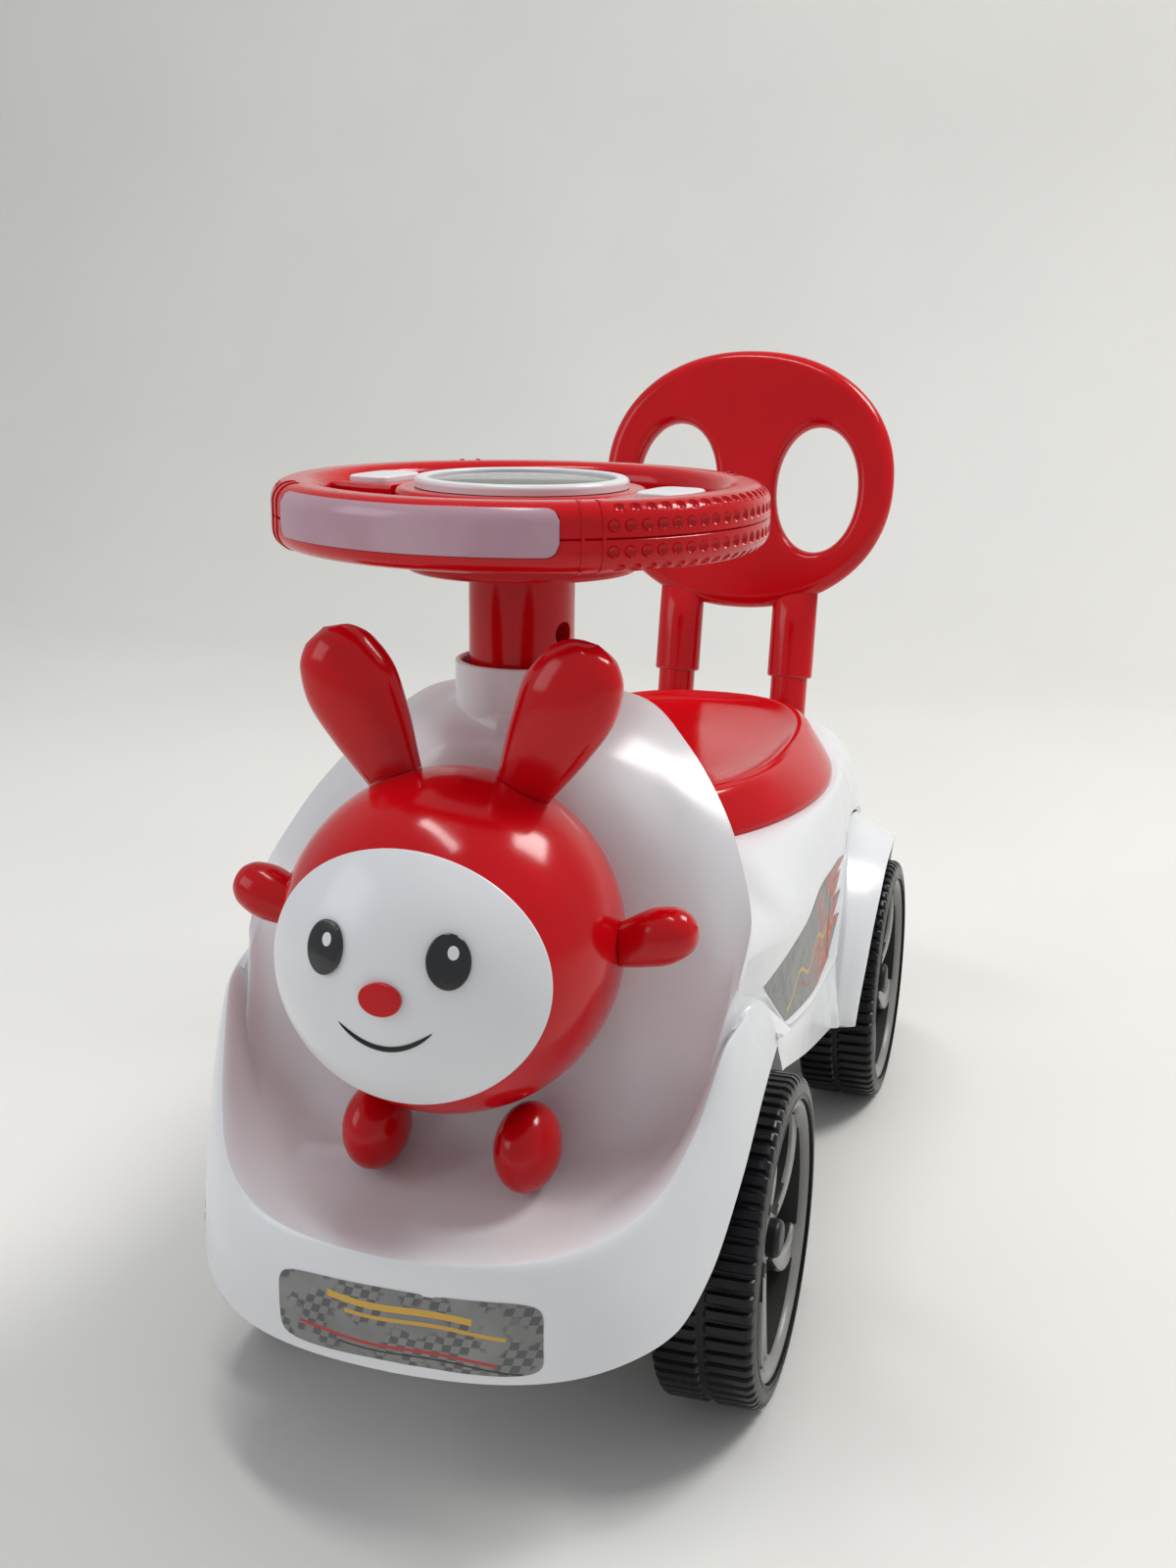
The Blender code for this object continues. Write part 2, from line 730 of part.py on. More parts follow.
def make_front_cowl(car, white):
    shares = [2 * i / COWL_COLUMNS - 1 for i in range(COWL_COLUMNS + 1)]
    mesh = skinned("cowl_skin", [cowl_column(u, COWL_ROWS) for u in shares], closed=False)
    if mesh.polygons[len(mesh.polygons) // 2].normal.y > 0:
        mesh.flip_normals()
    cowl = piece("front_cowl", mesh, white, car)
    wall = cowl.modifiers.new("wall", "SOLIDIFY")
    wall.thickness = COWL_WALL
    wall.offset = -1

    inner = COLLAR_RADIUS - COWL_WALL
    shaft_hole = SHAFT_RADIUS + THROUGH_GAP
    floor_under = COLLAR_FLOOR - COLLAR_FLOOR_WALL
    foot = COLLAR_FLOOR - COLLAR_SKIRT
    collar_profile = [
        (0, foot),
        (COLLAR_RADIUS, foot),
        (COLLAR_RADIUS, COLLAR_TOP - COLLAR_EDGE),
        (COLLAR_RADIUS - COLLAR_EDGE, COLLAR_TOP),
        (0, COLLAR_TOP),
    ]
    cavity_profile = [
        (0, foot - COLLAR_SKIRT),
        (inner, foot - COLLAR_SKIRT),
        (inner, floor_under),
        (shaft_hole, floor_under),
        (shaft_hole, COLLAR_FLOOR),
        (inner, COLLAR_FLOOR),
        (inner, COLLAR_TOP + COLLAR_SKIRT),
        (0, COLLAR_TOP + COLLAR_SKIRT),
    ]
    column = (0.0, FRONT_AXLE_Y, 0.0)
    pad_front = FIGURE_BACK_Y + FIT_GAP
    pad_middle = (0.0, 0.0, FIGURE_Z)
    pad = rod("pad", FIGURE_PAD_RADIUS, pad_front, HOOD_BACK_Y - COWL_WALL, "Y", pad_middle, HUB_STEPS)
    add(cowl, helper("cowl_figure_pad", pad, car))
    add(cowl, helper("cowl_collar", turned("collar", collar_profile, "Z", column, HUB_STEPS), car))
    cavity = turned("cavity", cavity_profile, "Z", column, HUB_STEPS, COLLAR_BORE_TURN)
    cut(cowl, helper("cowl_column_space", cavity, car))
    hole_ends = (pad_front - CUTTER_MARGIN, HOOD_BACK_Y + CUTTER_MARGIN)
    screw_hole = rod("hole", FIGURE_SCREW_RADIUS + FIT_GAP, *hole_ends, "Y", pad_middle)
    cut(cowl, helper("cowl_screw_hole", screw_hole, car))
    return cowl


def well_top(y, axle_y, radius):
    """Height of a wheel arch over a place along the car, or nothing beside the arch."""
    span = radius**2 - (y - axle_y) ** 2
    return AXLE_HEIGHT + sqrt(span) if span > 0 else None


def body_section(y, inset=0.0, drop=0.0):
    """Half outline of the body's section at y, from the middle of its top to its lower edge."""
    share = max(0.0, (y - REAR_ROUND_START) / (BODY_REAR - REAR_ROUND_START))
    narrowing = (1 - share**REAR_PLAN_ROUNDNESS) ** (1 / REAR_PLAN_ROUNDNESS)
    lowering = (1 - share**REAR_TOP_ROUNDNESS) ** (1 / REAR_TOP_ROUNDNESS)
    lean = along(BODY_LEANS, y)
    low_y = y - lean * (NECK_LEAN_TOP - NECK_LEAN_BOTTOM)
    half = along(BODY_HALF_WIDTHS, y)
    widest = along(BODY_WIDEST_HEIGHTS, y)
    top = along(BODY_TOPS, y)
    top = TAIL_BOTTOM + (top - TAIL_BOTTOM) * lowering
    widest = min(widest, top - SHOULDER_LEAST_DROP)

    reach = (y - SEAT_MIDDLE_Y) / (SEAT_HALF_LENGTH + SEAT_MARGIN)
    flat = (SEAT_HALF_WIDTH + SEAT_MARGIN) * sqrt(max(0.0, 1 - reach**2))
    flat = max(flat, NECK_FLAT_HALF_WIDTH)
    if y > SEAT_MIDDLE_Y:
        flat = max(flat, DECK_FLAT_HALF_WIDTH)

    crease_x, lower_x = CREASE_X, SILL_X
    crease_z, lower_z = along(CREASE_HEIGHTS, low_y), SILL_BOTTOM
    front_arch = well_top(low_y, FRONT_AXLE_Y, FRONT_WELL_RADIUS - ARCH_LAP)
    rear_arch = well_top(low_y, REAR_AXLE_Y, REAR_WELL_RADIUS - ARCH_LAP)
    rear_crease = well_top(low_y, REAR_AXLE_Y, FLARE_CREASE_RADIUS)
    if front_arch:
        lower_z = max(lower_z, front_arch)
    if low_y > REAR_AXLE_Y:
        lower_z = TAIL_BOTTOM
        crease_z = TAIL_BOTTOM + TAIL_CREASE_RISE
    if rear_crease:
        crease_z = max(crease_z, rear_crease)
        opened = min(1.0, (crease_z - lower_z) / FLARE_FADE)
        lower_x = SILL_X + (FLARE_X - SILL_X) * opened
    if rear_arch:
        lower_z = max(lower_z, rear_arch)
        lower_x = FLARE_X
    crease_x = min(crease_x, half)
    crease_z = min(crease_z, widest - SECTION_LEAST_STEP)
    lower_z = min(lower_z, crease_z - SECTION_LEAST_STEP)

    points = [(0.0, top), (flat * 0.5, top), (flat, top)]
    for degrees in (25, 50, 70, 90):
        t = radians(degrees)
        across = sin(t) ** (2 / SHOULDER_ROUNDNESS)
        height = cos(t) ** (2 / SHOULDER_ROUNDNESS)
        points.append((flat + (half - flat) * across, widest + (top - widest) * height))
    points.append((half - SIDE_BOW, (widest + crease_z) / 2))
    points.append((crease_x, crease_z))
    bend_x = crease_x + (lower_x - crease_x) * SKIRT_BEND
    points.append((bend_x, crease_z + (lower_z - crease_z) * SKIRT_BEND))
    points.append((lower_x, lower_z))
    points = [(x * narrowing, z) for x, z in points]

    if inset:
        points = inset_outline(points, inset)
        points[-1] = (points[-1][0], lower_z - drop)
    return [(x, y - lean * (NECK_LEAN_TOP - max(z, NECK_LEAN_BOTTOM)), z) for x, z in points]


def inset_outline(points, inset):
    """Half outline moved inwards by a wall, with its first point kept on the middle plane."""
    moved = []
    for i, (x, z) in enumerate(points):
        x1, z1 = points[max(i - 1, 0)]
        x2, z2 = points[min(i + 1, len(points) - 1)]
        run, fall = x2 - x1, z1 - z2
        length = sqrt(run**2 + fall**2)
        moved.append((max(0.0, x - inset * fall / length), z - inset * run / length))
    moved[0] = (0.0, points[0][1] - inset)
    return moved


def body_ring(y, inset=0.0, drop=0.0):
    half = body_section(y, inset, drop)
    mirrored = [(-x, y_at, z) for x, y_at, z in reversed(half[1:])]
    return mirrored + half


# The body's shell is open at its front, inside the cowl, and below
HOLLOW_RUN_OUT = 0.01
HOLLOW_DROP = 0.03
SECTION_TOP_POINTS = 3
BODY_STATIONS = (
    -0.140, -0.131, -0.118, -0.104, -0.088, -0.070, -0.052, -0.030, 0.005, 0.045, 0.080,
    0.098, 0.106, 0.122, 0.150, 0.200,
    *[BODY_REAR - ahead for ahead in (0.085, 0.055, 0.033, 0.018, 0.008, 0.0035)],
)


def arch_wells(name, grow):
    """Four drums that clear the wheels, or the drums with a wall round them."""
    drums = []
    for side in (-1, 1):
        for axle_y, radius, inner_x in (
            (FRONT_AXLE_Y, FRONT_WELL_RADIUS, FRONT_WELL_X),
            (REAR_AXLE_Y, REAR_WELL_RADIUS, REAR_WELL_X),
        ):
            ends = sorted((side * (inner_x - grow), side * WELL_REACH_X))
            centre = (0.0, axle_y, AXLE_HEIGHT)
            drums.append(rod("drum", radius + grow, ends[0], ends[1], "X", centre, WELL_STEPS))
    return merged(name, drums)


def store_solid(name, grow):
    ring = oval_ring(STORE_HALF_WIDTH + grow, STORE_HALF_LENGTH + grow, STORE_ROUNDNESS, LID_STEPS)
    outline = [(x, y + SEAT_MIDDLE_Y) for x, y in ring]
    return extruded(name, outline, STORE_FLOOR - grow, SEAT_BASE + CUTTER_MARGIN)


def peg_place(up):
    """Point on the backrest posts' line, at a distance up from their foot."""
    return (BACK_FOOT_Y + up * sin(BACK_TILT), BACK_FOOT_Z + up * cos(BACK_TILT))


def make_main_body(car, white):
    rings = [body_ring(y) for y in BODY_STATIONS]
    body = piece("main_body", skinned("body", rings, flat_points=SECTION_TOP_POINTS), white, car)
    inner_last = BODY_STATIONS[-1] - BODY_WALL
    inner_stations = [BODY_STATIONS[0] - HOLLOW_RUN_OUT]
    inner_stations += [y for y in BODY_STATIONS if y < inner_last]
    inner_stations.append(inner_last)
    inner_rings = [body_ring(y, BODY_WALL, HOLLOW_DROP) for y in inner_stations]
    hollow = helper("body_hollow", skinned("hollow", inner_rings, flat_points=SECTION_TOP_POINTS), car)
    cut(hollow, helper("body_well_walls", arch_wells("well_walls", BODY_WALL), car))
    cut(hollow, helper("body_store_wall", store_solid("store_wall", BODY_WALL), car))

    arch_half = sqrt(FRONT_WELL_RADIUS**2 - (SPINE_BOTTOM - AXLE_HEIGHT) ** 2)
    rear_half = sqrt(REAR_WELL_RADIUS**2 - (SPINE_BOTTOM - AXLE_HEIGHT) ** 2)
    below = [
        block(
            "front_below",
            (-WELL_REACH_X, BELOW_FRONT_Y, -CUTTER_MARGIN),
            (WELL_REACH_X, FRONT_AXLE_Y + arch_half - FRONT_BELOW_LAP, SPINE_BOTTOM),
        ),
        block(
            "rear_below",
            (-WELL_REACH_X, REAR_AXLE_Y - rear_half + REAR_BELOW_LAP, -CUTTER_MARGIN),
            (WELL_REACH_X, REAR_AXLE_Y + rear_half - REAR_BELOW_LAP, SPINE_BOTTOM),
        ),
    ]
    lug_inner = LID_KNUCKLE_HALF_WIDTH + TURNING_GAP
    for side in (-1, 1):
        ends = sorted((side * lug_inner, side * (lug_inner + LID_LUG_WIDTH)))
        low = (ends[0], LID_HINGE_Y - LID_KNUCKLE_RADIUS, SEAT_BASE - BODY_WALL / 2)
        high = (ends[1], LID_HINGE_Y + LID_KNUCKLE_RADIUS, LID_HINGE_Z + LID_KNUCKLE_RADIUS)
        add(body, helper(f"body_lug_{side + 1}", block("lug", low, high), car))
    cut(body, helper("body_below", merged("below", below), car))
    cut(body, helper("body_wells", arch_wells("wells", 0.0), car))
    cut(body, helper("body_store", store_solid("store", 0.0), car))
    pin_reach = lug_inner + LID_LUG_WIDTH + CUTTER_MARGIN
    hinge = (0.0, LID_HINGE_Y, LID_HINGE_Z)
    column = (0.0, FRONT_AXLE_Y, 0.0)
    holes = [rod("pin_hole", LID_PIN_RADIUS + TURNING_GAP, -pin_reach, pin_reach, "X", hinge)]
    hole_ends = (COLLAR_HOLE_LOW, COLLAR_TOP + CUTTER_MARGIN)
    holes.append(rod("collar_hole", COLLAR_RADIUS + COLLAR_HOLE_GAP, *hole_ends, "Z", column, HUB_STEPS))
    socket_y, socket_z = peg_place(0.0)
    for side in (-1, 1):
        socket = rod("socket", PEG_RADIUS + FIT_GAP, -SOCKET_REACH, SOCKET_REACH, "Z", steps=POST_STEPS)
        socket.transform(Matrix.Rotation(-BACK_TILT, 4, "X"))
        socket.transform(Matrix.Translation((side * POST_X, socket_y, socket_z)))
        holes.append(socket)
    cut(body, helper("body_holes", merged("holes", holes), car))
    cut(body, hollow)
    return body


def make_underbody(car, black, steel):
    """Tray that closes the body from below and carries the rear axle."""
    top = SPINE_BOTTOM - TRAY_SEAT_GAP
    bottom = top - TRAY_THICKNESS
    neck = FRONT_WELL_X - BODY_WALL - FIT_GAP
    tail = REAR_WELL_X - BODY_WALL - FIT_GAP
    half = [
        (neck, TRAY_FRONT),
        (neck, TRAY_MIDDLE_FRONT),
        (TRAY_MIDDLE_HALF_WIDTH, TRAY_MIDDLE_FRONT),
        (TRAY_MIDDLE_HALF_WIDTH, TRAY_MIDDLE_REAR),
        (tail, TRAY_MIDDLE_REAR),
        (tail, TRAY_REAR - TRAY_CORNER),
        (tail - TRAY_CORNER, TRAY_REAR),
    ]
    outline = half + [(-x, y) for x, y in reversed(half)]
    tray = piece("chassis_plate", extruded("tray", outline, bottom, top), black, car)
    for side in (-1, 1):
        ends = sorted((side * BLOCK_INNER_X, side * (REAR_WELL_X - FIT_GAP)))
        low = (ends[0], REAR_AXLE_Y - BLOCK_HALF_WIDTH, BLOCK_BOTTOM)
        high = (ends[1], REAR_AXLE_Y + BLOCK_HALF_WIDTH, top - TRAY_THICKNESS / 2)
        add(tray, helper(f"tray_block_{side + 1}", block("block", low, high), car))
    axle_middle = (0.0, REAR_AXLE_Y, AXLE_HEIGHT)
    bores = [
        rod("axle_bore", AXLE_RADIUS + TURNING_GAP, -WHEEL_OUTER_X, WHEEL_OUTER_X, "X", axle_middle),
        rod("shaft_hole", SHAFT_RADIUS + THROUGH_GAP, BORE_LOW, BORE_HIGH, "Z", (0.0, FRONT_AXLE_Y, 0.0)),
    ]
    cut(tray, helper("tray_bores", merged("bores", bores), car))
    end = WHEEL_OUTER_X - AXLE_END_INSET
    axle = rod("rear_axle", AXLE_RADIUS, -end, end, "X", axle_middle)
    piece("rear_axle", axle, steel, car)


def make_seat_lid(lid_pivot, car, red, steel):
    steps = LID_STEPS
    rings = []
    for width, length, behind, height, roundness in LID_RINGS:
        ring = oval_ring(SEAT_HALF_WIDTH * width, SEAT_HALF_LENGTH * length, roundness, steps)
        ring_y, ring_z = SEAT_MIDDLE_Y + behind, SEAT_BASE + FIT_GAP + height
        rings.append([(x, y + ring_y, ring_z) for x, y in ring])
    dish = [(0.0, SEAT_MIDDLE_Y, SEAT_BASE + FIT_GAP + LID_DISH_HEIGHT)]
    bm = bmesh.new()
    rows = [[bm.verts.new(point) for point in ring] for ring in rings + [dish]]
    for low, high in zip(rows, rows[1:]):
        for i in range(steps):
            j = (i + 1) % steps
            corners = [low[i], low[j], high[j % len(high)], high[i % len(high)]]
            bm.faces.new(list(dict.fromkeys(corners)))
    lid = piece("seat_lid", finished(bm, "lid", smooth_normals=False), red, lid_pivot)
    wall = lid.modifiers.new("wall", "SOLIDIFY")
    wall.thickness = SEAT_WALL
    wall.offset = -1
    hinge = (0.0, LID_HINGE_Y, LID_HINGE_Z)
    knuckle = rod("knuckle", LID_KNUCKLE_RADIUS, -LID_KNUCKLE_HALF_WIDTH, LID_KNUCKLE_HALF_WIDTH, "X", hinge)
    add(lid, helper("lid_knuckle", knuckle, lid_pivot))
    half_width, half_height = LID_KNUCKLE_HALF_WIDTH, LID_TONGUE_HEIGHT / 2
    tongue_front = SEAT_MIDDLE_Y + SEAT_HALF_LENGTH - LID_TONGUE_LAP
    tongue_low = (-half_width, tongue_front, LID_HINGE_Z - half_height)
    tongue_high = (half_width, LID_HINGE_Y - LID_PIN_RADIUS, LID_HINGE_Z + half_height)
    add(lid, helper("lid_tongue", block("tongue", tongue_low, tongue_high), lid_pivot))
    pin_end = LID_KNUCKLE_HALF_WIDTH + TURNING_GAP + LID_LUG_WIDTH
    bore = rod("bore", LID_PIN_RADIUS + TURNING_GAP, -pin_end, pin_end, "X", hinge)
    cut(lid, helper("lid_bore", bore, lid_pivot))
    piece("seat_hinge_pin", rod("pin", LID_PIN_RADIUS, -pin_end, pin_end, "X", hinge), steel, car)


def make_backrest(car, red):
    """Oval plate with two hand holes on two stepped posts, modelled upright and then tilted back."""
    half = BACK_THICKNESS / 2
    rings = []
    for turn in (-90, -50, 0, 50, 90):
        shrink = half * (1 - cos(radians(turn)))
        depth = half * sin(radians(turn))
        ring = oval_ring(BACK_HALF_WIDTH - shrink, BACK_HALF_HEIGHT - shrink, BACK_ROUNDNESS, BACK_STEPS)
        rings.append([(x, depth, BACK_CENTRE_UP + z) for x, z in ring])
    plate_mesh = skinned("plate", rings)
    tilt = pivot("backrest_foot", (0.0, BACK_FOOT_Y, BACK_FOOT_Z), car)
    tilt.rotation_euler[0] = -BACK_TILT
    plate_mesh.transform(Matrix.Translation((0.0, BACK_FOOT_Y, BACK_FOOT_Z)))
    plate = piece("backrest", plate_mesh, red, tilt)
    for side in (-1, 1):
        rings = []
        for radius, up in (
            (PEG_RADIUS, -PEG_END_DOWN),
            (PEG_RADIUS, PEG_STEP_UP),
            (POST_RADIUS, PEG_STEP_UP),
            (POST_RADIUS, POST_TOP_UP),
        ):
            depth = radius * (POST_DEPTH_SHARE if radius == POST_RADIUS else 1)
            rings.append([(x, y, up) for x, y in oval_ring(radius, depth, 2.0, POST_STEPS)])
        post_mesh = skinned("post", rings)
        post_mesh.transform(Matrix.Translation((side * POST_X, BACK_FOOT_Y, BACK_FOOT_Z)))
        add(plate, helper(f"backrest_post_{side + 1}", post_mesh, tilt))
    holes = []
    for side in (-1, 1):
        ring = oval_ring(HAND_HOLE_HALF_WIDTH, HAND_HOLE_HALF_HEIGHT, 2.0, HUB_STEPS)
        depths = (-BACK_THICKNESS, BACK_THICKNESS)
        rings = [[(x, depth, BACK_CENTRE_UP + z) for x, z in ring] for depth in depths]
        hole = skinned("hole", rings)
        hole.transform(Matrix.Translation((side * HAND_HOLE_X, BACK_FOOT_Y, BACK_FOOT_Z)))
        holes.append(hole)
    cut(plate, helper("backrest_holes", merged("hand_holes", holes), tilt))


def handwheel_section(low, high):
    """Closed profile of one half of the rim, rounded where it isn't cut by the seam."""
    inner, outer, corner = HANDWHEEL_INNER, HANDWHEEL_RADIUS, HANDWHEEL_CORNER
    corners = []
    quarter = [radians(angle) for angle in (0, 45, 90)]
    if low == HANDWHEEL_BOTTOM:
        bends = [(corner * sin(t), low + corner - corner * cos(t)) for t in quarter]
        corners += [(inner + corner - across, height) for across, height in reversed(bends)]
        corners += [(outer - corner + across, height) for across, height in bends]
        corners += [(outer, high), (inner, high)]
    else:
        corners += [(inner, low), (outer, low)]
        bends = [(corner * cos(t), high - corner + corner * sin(t)) for t in quarter]
        corners += [(outer - corner + across, height) for across, height in bends]
        corners += [(inner + corner - across, height) for across, height in reversed(bends)]
    return corners


def sector(name, profile, centre_turn, half_span, centre, steps):
    """Part of a ring: a closed profile of (radius, height) swept over an angle about Z."""
    rings = []
    for i in range(steps + 1):
        turn = centre_turn + half_span * (2 * i / steps - 1)
        rings.append([(centre[0] + r * cos(turn), centre[1] + r * sin(turn), z) for r, z in profile])
    return skinned(name, rings)


def lens_profile(grow=0.0, reach=0.0):
    """Section of the light bar. Grown, and reaching past the rim, it is the pocket that the bar sits in."""
    outer, corner, depth = HANDWHEEL_RADIUS + LENS_PROUD, HANDWHEEL_CORNER, LENS_THICKNESS + grow
    bend = LENS_BEND * corner
    cut_back = (1 - LENS_BEND) * depth
    bottom = LENS_BOTTOM - grow
    outside = [(outer, bottom), (outer, HANDWHEEL_TOP - corner)]
    outside += [(outer - bend, HANDWHEEL_TOP - bend), (outer - corner, HANDWHEEL_TOP)]
    outside = [(radius + reach, height + reach) for radius, height in outside]
    outside[0] = (outer + reach, bottom)
    outside[-1] = (outer - corner - grow, HANDWHEEL_TOP + reach)
    inside = [(outer - corner - grow, HANDWHEEL_TOP - depth)]
    inside += [(outer - bend - cut_back, HANDWHEEL_TOP - bend - cut_back)]
    inside += [(outer - depth, HANDWHEEL_TOP - corner), (outer - depth, bottom)]
    return outside + inside


def make_handwheel(steering, red):
    """Two halves of the steering wheel: rim, hub shell and two arms."""
    centre = (0.0, FRONT_AXLE_Y, 0.0)
    seam_low, seam_high = HANDWHEEL_SEAM - FIT_GAP / 2, HANDWHEEL_SEAM + FIT_GAP / 2
    hub_inner = HUB_SHELL_RADIUS - HUB_SHELL_WALL
    dial_radius = BEZEL_INNER + FIT_GAP
    upper_hub = [
        (0, HUB_ROOF),
        (dial_radius, HUB_ROOF),
        (dial_radius, HUB_TOP),
        (HUB_SHELL_RADIUS - HUB_SHOULDER, HUB_TOP),
        (HUB_SHELL_RADIUS, HUB_TOP - HUB_SHOULDER),
        (HUB_SHELL_RADIUS, seam_high),
        (hub_inner, seam_high),
        (hub_inner, HUB_ROOF - HUB_ROOF_WALL),
        (0, HUB_ROOF - HUB_ROOF_WALL),
    ]
    shaft_hole = SHAFT_RADIUS + FIT_GAP
    lower_hub = [
        (shaft_hole, HUB_FLOOR - HUB_FLOOR_WALL),
        (HUB_SHELL_RADIUS - HUB_SHOULDER, HUB_FLOOR - HUB_FLOOR_WALL),
        (HUB_SHELL_RADIUS, HUB_FLOOR),
        (HUB_SHELL_RADIUS, seam_low),
        (hub_inner, seam_low),
        (hub_inner, HUB_FLOOR),
        (shaft_hole, HUB_FLOOR),
    ]
    arm_start, arm_end = hub_inner + ARM_HUB_LAP, HANDWHEEL_INNER + ARM_RIM_LAP
    halves = {}
    for name, low, high, hub, arm_low, arm_high in (
        ("steering_wheel_upper", seam_high, HANDWHEEL_TOP, upper_hub, seam_high, ARM_TOP),
        ("steering_wheel_lower", HANDWHEEL_BOTTOM, seam_low, lower_hub, ARM_BOTTOM, seam_low),
    ):
        ring = turned("rim", handwheel_section(low, high), "Z", centre, HANDWHEEL_STEPS)
        half = piece(name, ring, red, steering)
        add(half, helper(f"{name}_hub", turned("hub", hub, "Z", centre, HUB_STEPS), steering))
        for side in (-1, 1):
            ends = sorted((side * arm_start, side * arm_end))
            mesh = block(
                "arm",
                (ends[0], FRONT_AXLE_Y - ARM_HALF_WIDTH, arm_low),
                (ends[1], FRONT_AXLE_Y + ARM_HALF_WIDTH, arm_high),
            )
            add(half, helper(f"{name}_arm_{side + 1}", mesh, steering))
        halves[name] = half
    span = LENS_HALF_SPAN + FIT_GAP / HANDWHEEL_RADIUS
    pocket = sector("pocket", lens_profile(FIT_GAP, CUTTER_MARGIN), -pi / 2, span, centre, LENS_STEPS)
    pocket_cutter = helper("lens_pocket", pocket, steering)
    for half in halves.values():
        cut(half, pocket_cutter)
    return halves


def make_buttons(upper, steering, white):
    """Two push buttons in pockets on the wheel's arms."""
    floor = BUTTON_TOP - BUTTON_HEIGHT - BUTTON_TRAVEL - FIT_GAP
    wells = []
    for side, label in ((-1, "left"), (1, "right")):
        place = (side * BUTTON_CENTRE_RADIUS, FRONT_AXLE_Y, BUTTON_TOP - BUTTON_HEIGHT)
        carrier = pivot(f"button_{label}_slide", place, steering)
        rings = []
        for inset, height in ((0, 0), (0, BUTTON_HEIGHT - BUTTON_EDGE), (BUTTON_EDGE, BUTTON_HEIGHT)):
            half_sizes = (BUTTON_HALF_WIDTH - inset, BUTTON_HALF_LENGTH - inset)
            ring = oval_ring(*half_sizes, BUTTON_ROUNDNESS, HUB_STEPS)
            rings.append([(place[0] + x, place[1] + y, place[2] + height) for x, y in ring])
        piece(f"button_{label}", skinned("button", rings), white, carrier)
        half_sizes = (BUTTON_HALF_WIDTH + FIT_GAP, BUTTON_HALF_LENGTH + FIT_GAP)
        ring = oval_ring(*half_sizes, BUTTON_ROUNDNESS, HUB_STEPS)
        outline = [(place[0] + x, place[1] + y) for x, y in ring]
        wells.append(extruded("well", outline, floor, BUTTON_TOP + CUTTER_MARGIN))
    cut(upper, helper("button_wells", merged("wells", wells), steering))


def make_hub_parts(steering, finishes):
    """What sits in and on the steering wheel's hub."""
    centre = (0.0, FRONT_AXLE_Y, 0.0)
    lens = sector("lens", lens_profile(), -pi / 2, LENS_HALF_SPAN, centre, LENS_STEPS)
    piece("light_bar", lens, finishes["lens"], steering)
    base = HUB_TOP + FIT_GAP
    bezel = [
        (BEZEL_INNER, base),
        (BEZEL_RADIUS, base),
        (BEZEL_RADIUS, BEZEL_TOP - BEZEL_EDGE),
        (BEZEL_RADIUS - BEZEL_EDGE, BEZEL_TOP),
        (BEZEL_INNER + BEZEL_EDGE, BEZEL_TOP),
        (BEZEL_INNER, BEZEL_TOP - BEZEL_EDGE),
    ]
    piece("bezel_ring", turned("bezel", bezel, "Z", centre, HUB_STEPS), finishes["white"], steering)
    window_radius = BEZEL_INNER - FIT_GAP
    window = rod("window", window_radius, base, base + WINDOW_THICKNESS, "Z", centre, HUB_STEPS)
    piece("dial_window", window, finishes["clear"], steering)
    dial_base = HUB_ROOF + FIT_GAP
    dial = rod("dial", BEZEL_INNER - FIT_GAP, dial_base, dial_base + DIAL_THICKNESS, "Z", centre, HUB_STEPS)
    piece("dial_face", dial, finishes["dial"], steering)

    cover_top = HUB_FLOOR - HUB_FLOOR_WALL - FIT_GAP
    cover = [
        (COLUMN_RADIUS + FIT_GAP, COVER_BOTTOM),
        (COVER_RADIUS - COVER_EDGE, COVER_BOTTOM),
        (COVER_RADIUS, COVER_BOTTOM + COVER_EDGE),
        (COVER_RADIUS, cover_top),
        (COLUMN_RADIUS + FIT_GAP, cover_top),
    ]
    piece("hub_cover", turned("cover", cover, "Z", centre, HUB_STEPS), finishes["red"], steering)

    half_length = BATTERY_LENGTH / 2
    battery_z = HUB_FLOOR + FIT_GAP + BATTERY_RADIUS
    for side, label in ((-1, "front"), (1, "rear")):
        middle = (0.0, FRONT_AXLE_Y + side * BATTERY_OFFSET, battery_z)
        cell = rod("cell", BATTERY_RADIUS, -half_length, half_length, "X", middle)
        piece(f"battery_{label}", cell, finishes["steel"], steering)
    board_base = battery_z + BATTERY_RADIUS + FIT_GAP
    board = block(
        "board",
        (-BOARD_HALF_LENGTH, FRONT_AXLE_Y - BOARD_HALF_WIDTH, board_base),
        (BOARD_HALF_LENGTH, FRONT_AXLE_Y + BOARD_HALF_WIDTH, board_base + BOARD_THICKNESS),
    )
    piece("circuit_board", board, finishes["board"], steering)
    speaker_top = HUB_ROOF - HUB_ROOF_WALL - FIT_GAP
    speaker = rod("speaker", SPEAKER_RADIUS, speaker_top - SPEAKER_HEIGHT, speaker_top, "Z", centre, 24)
    piece("speaker", speaker, finishes["black"], steering)


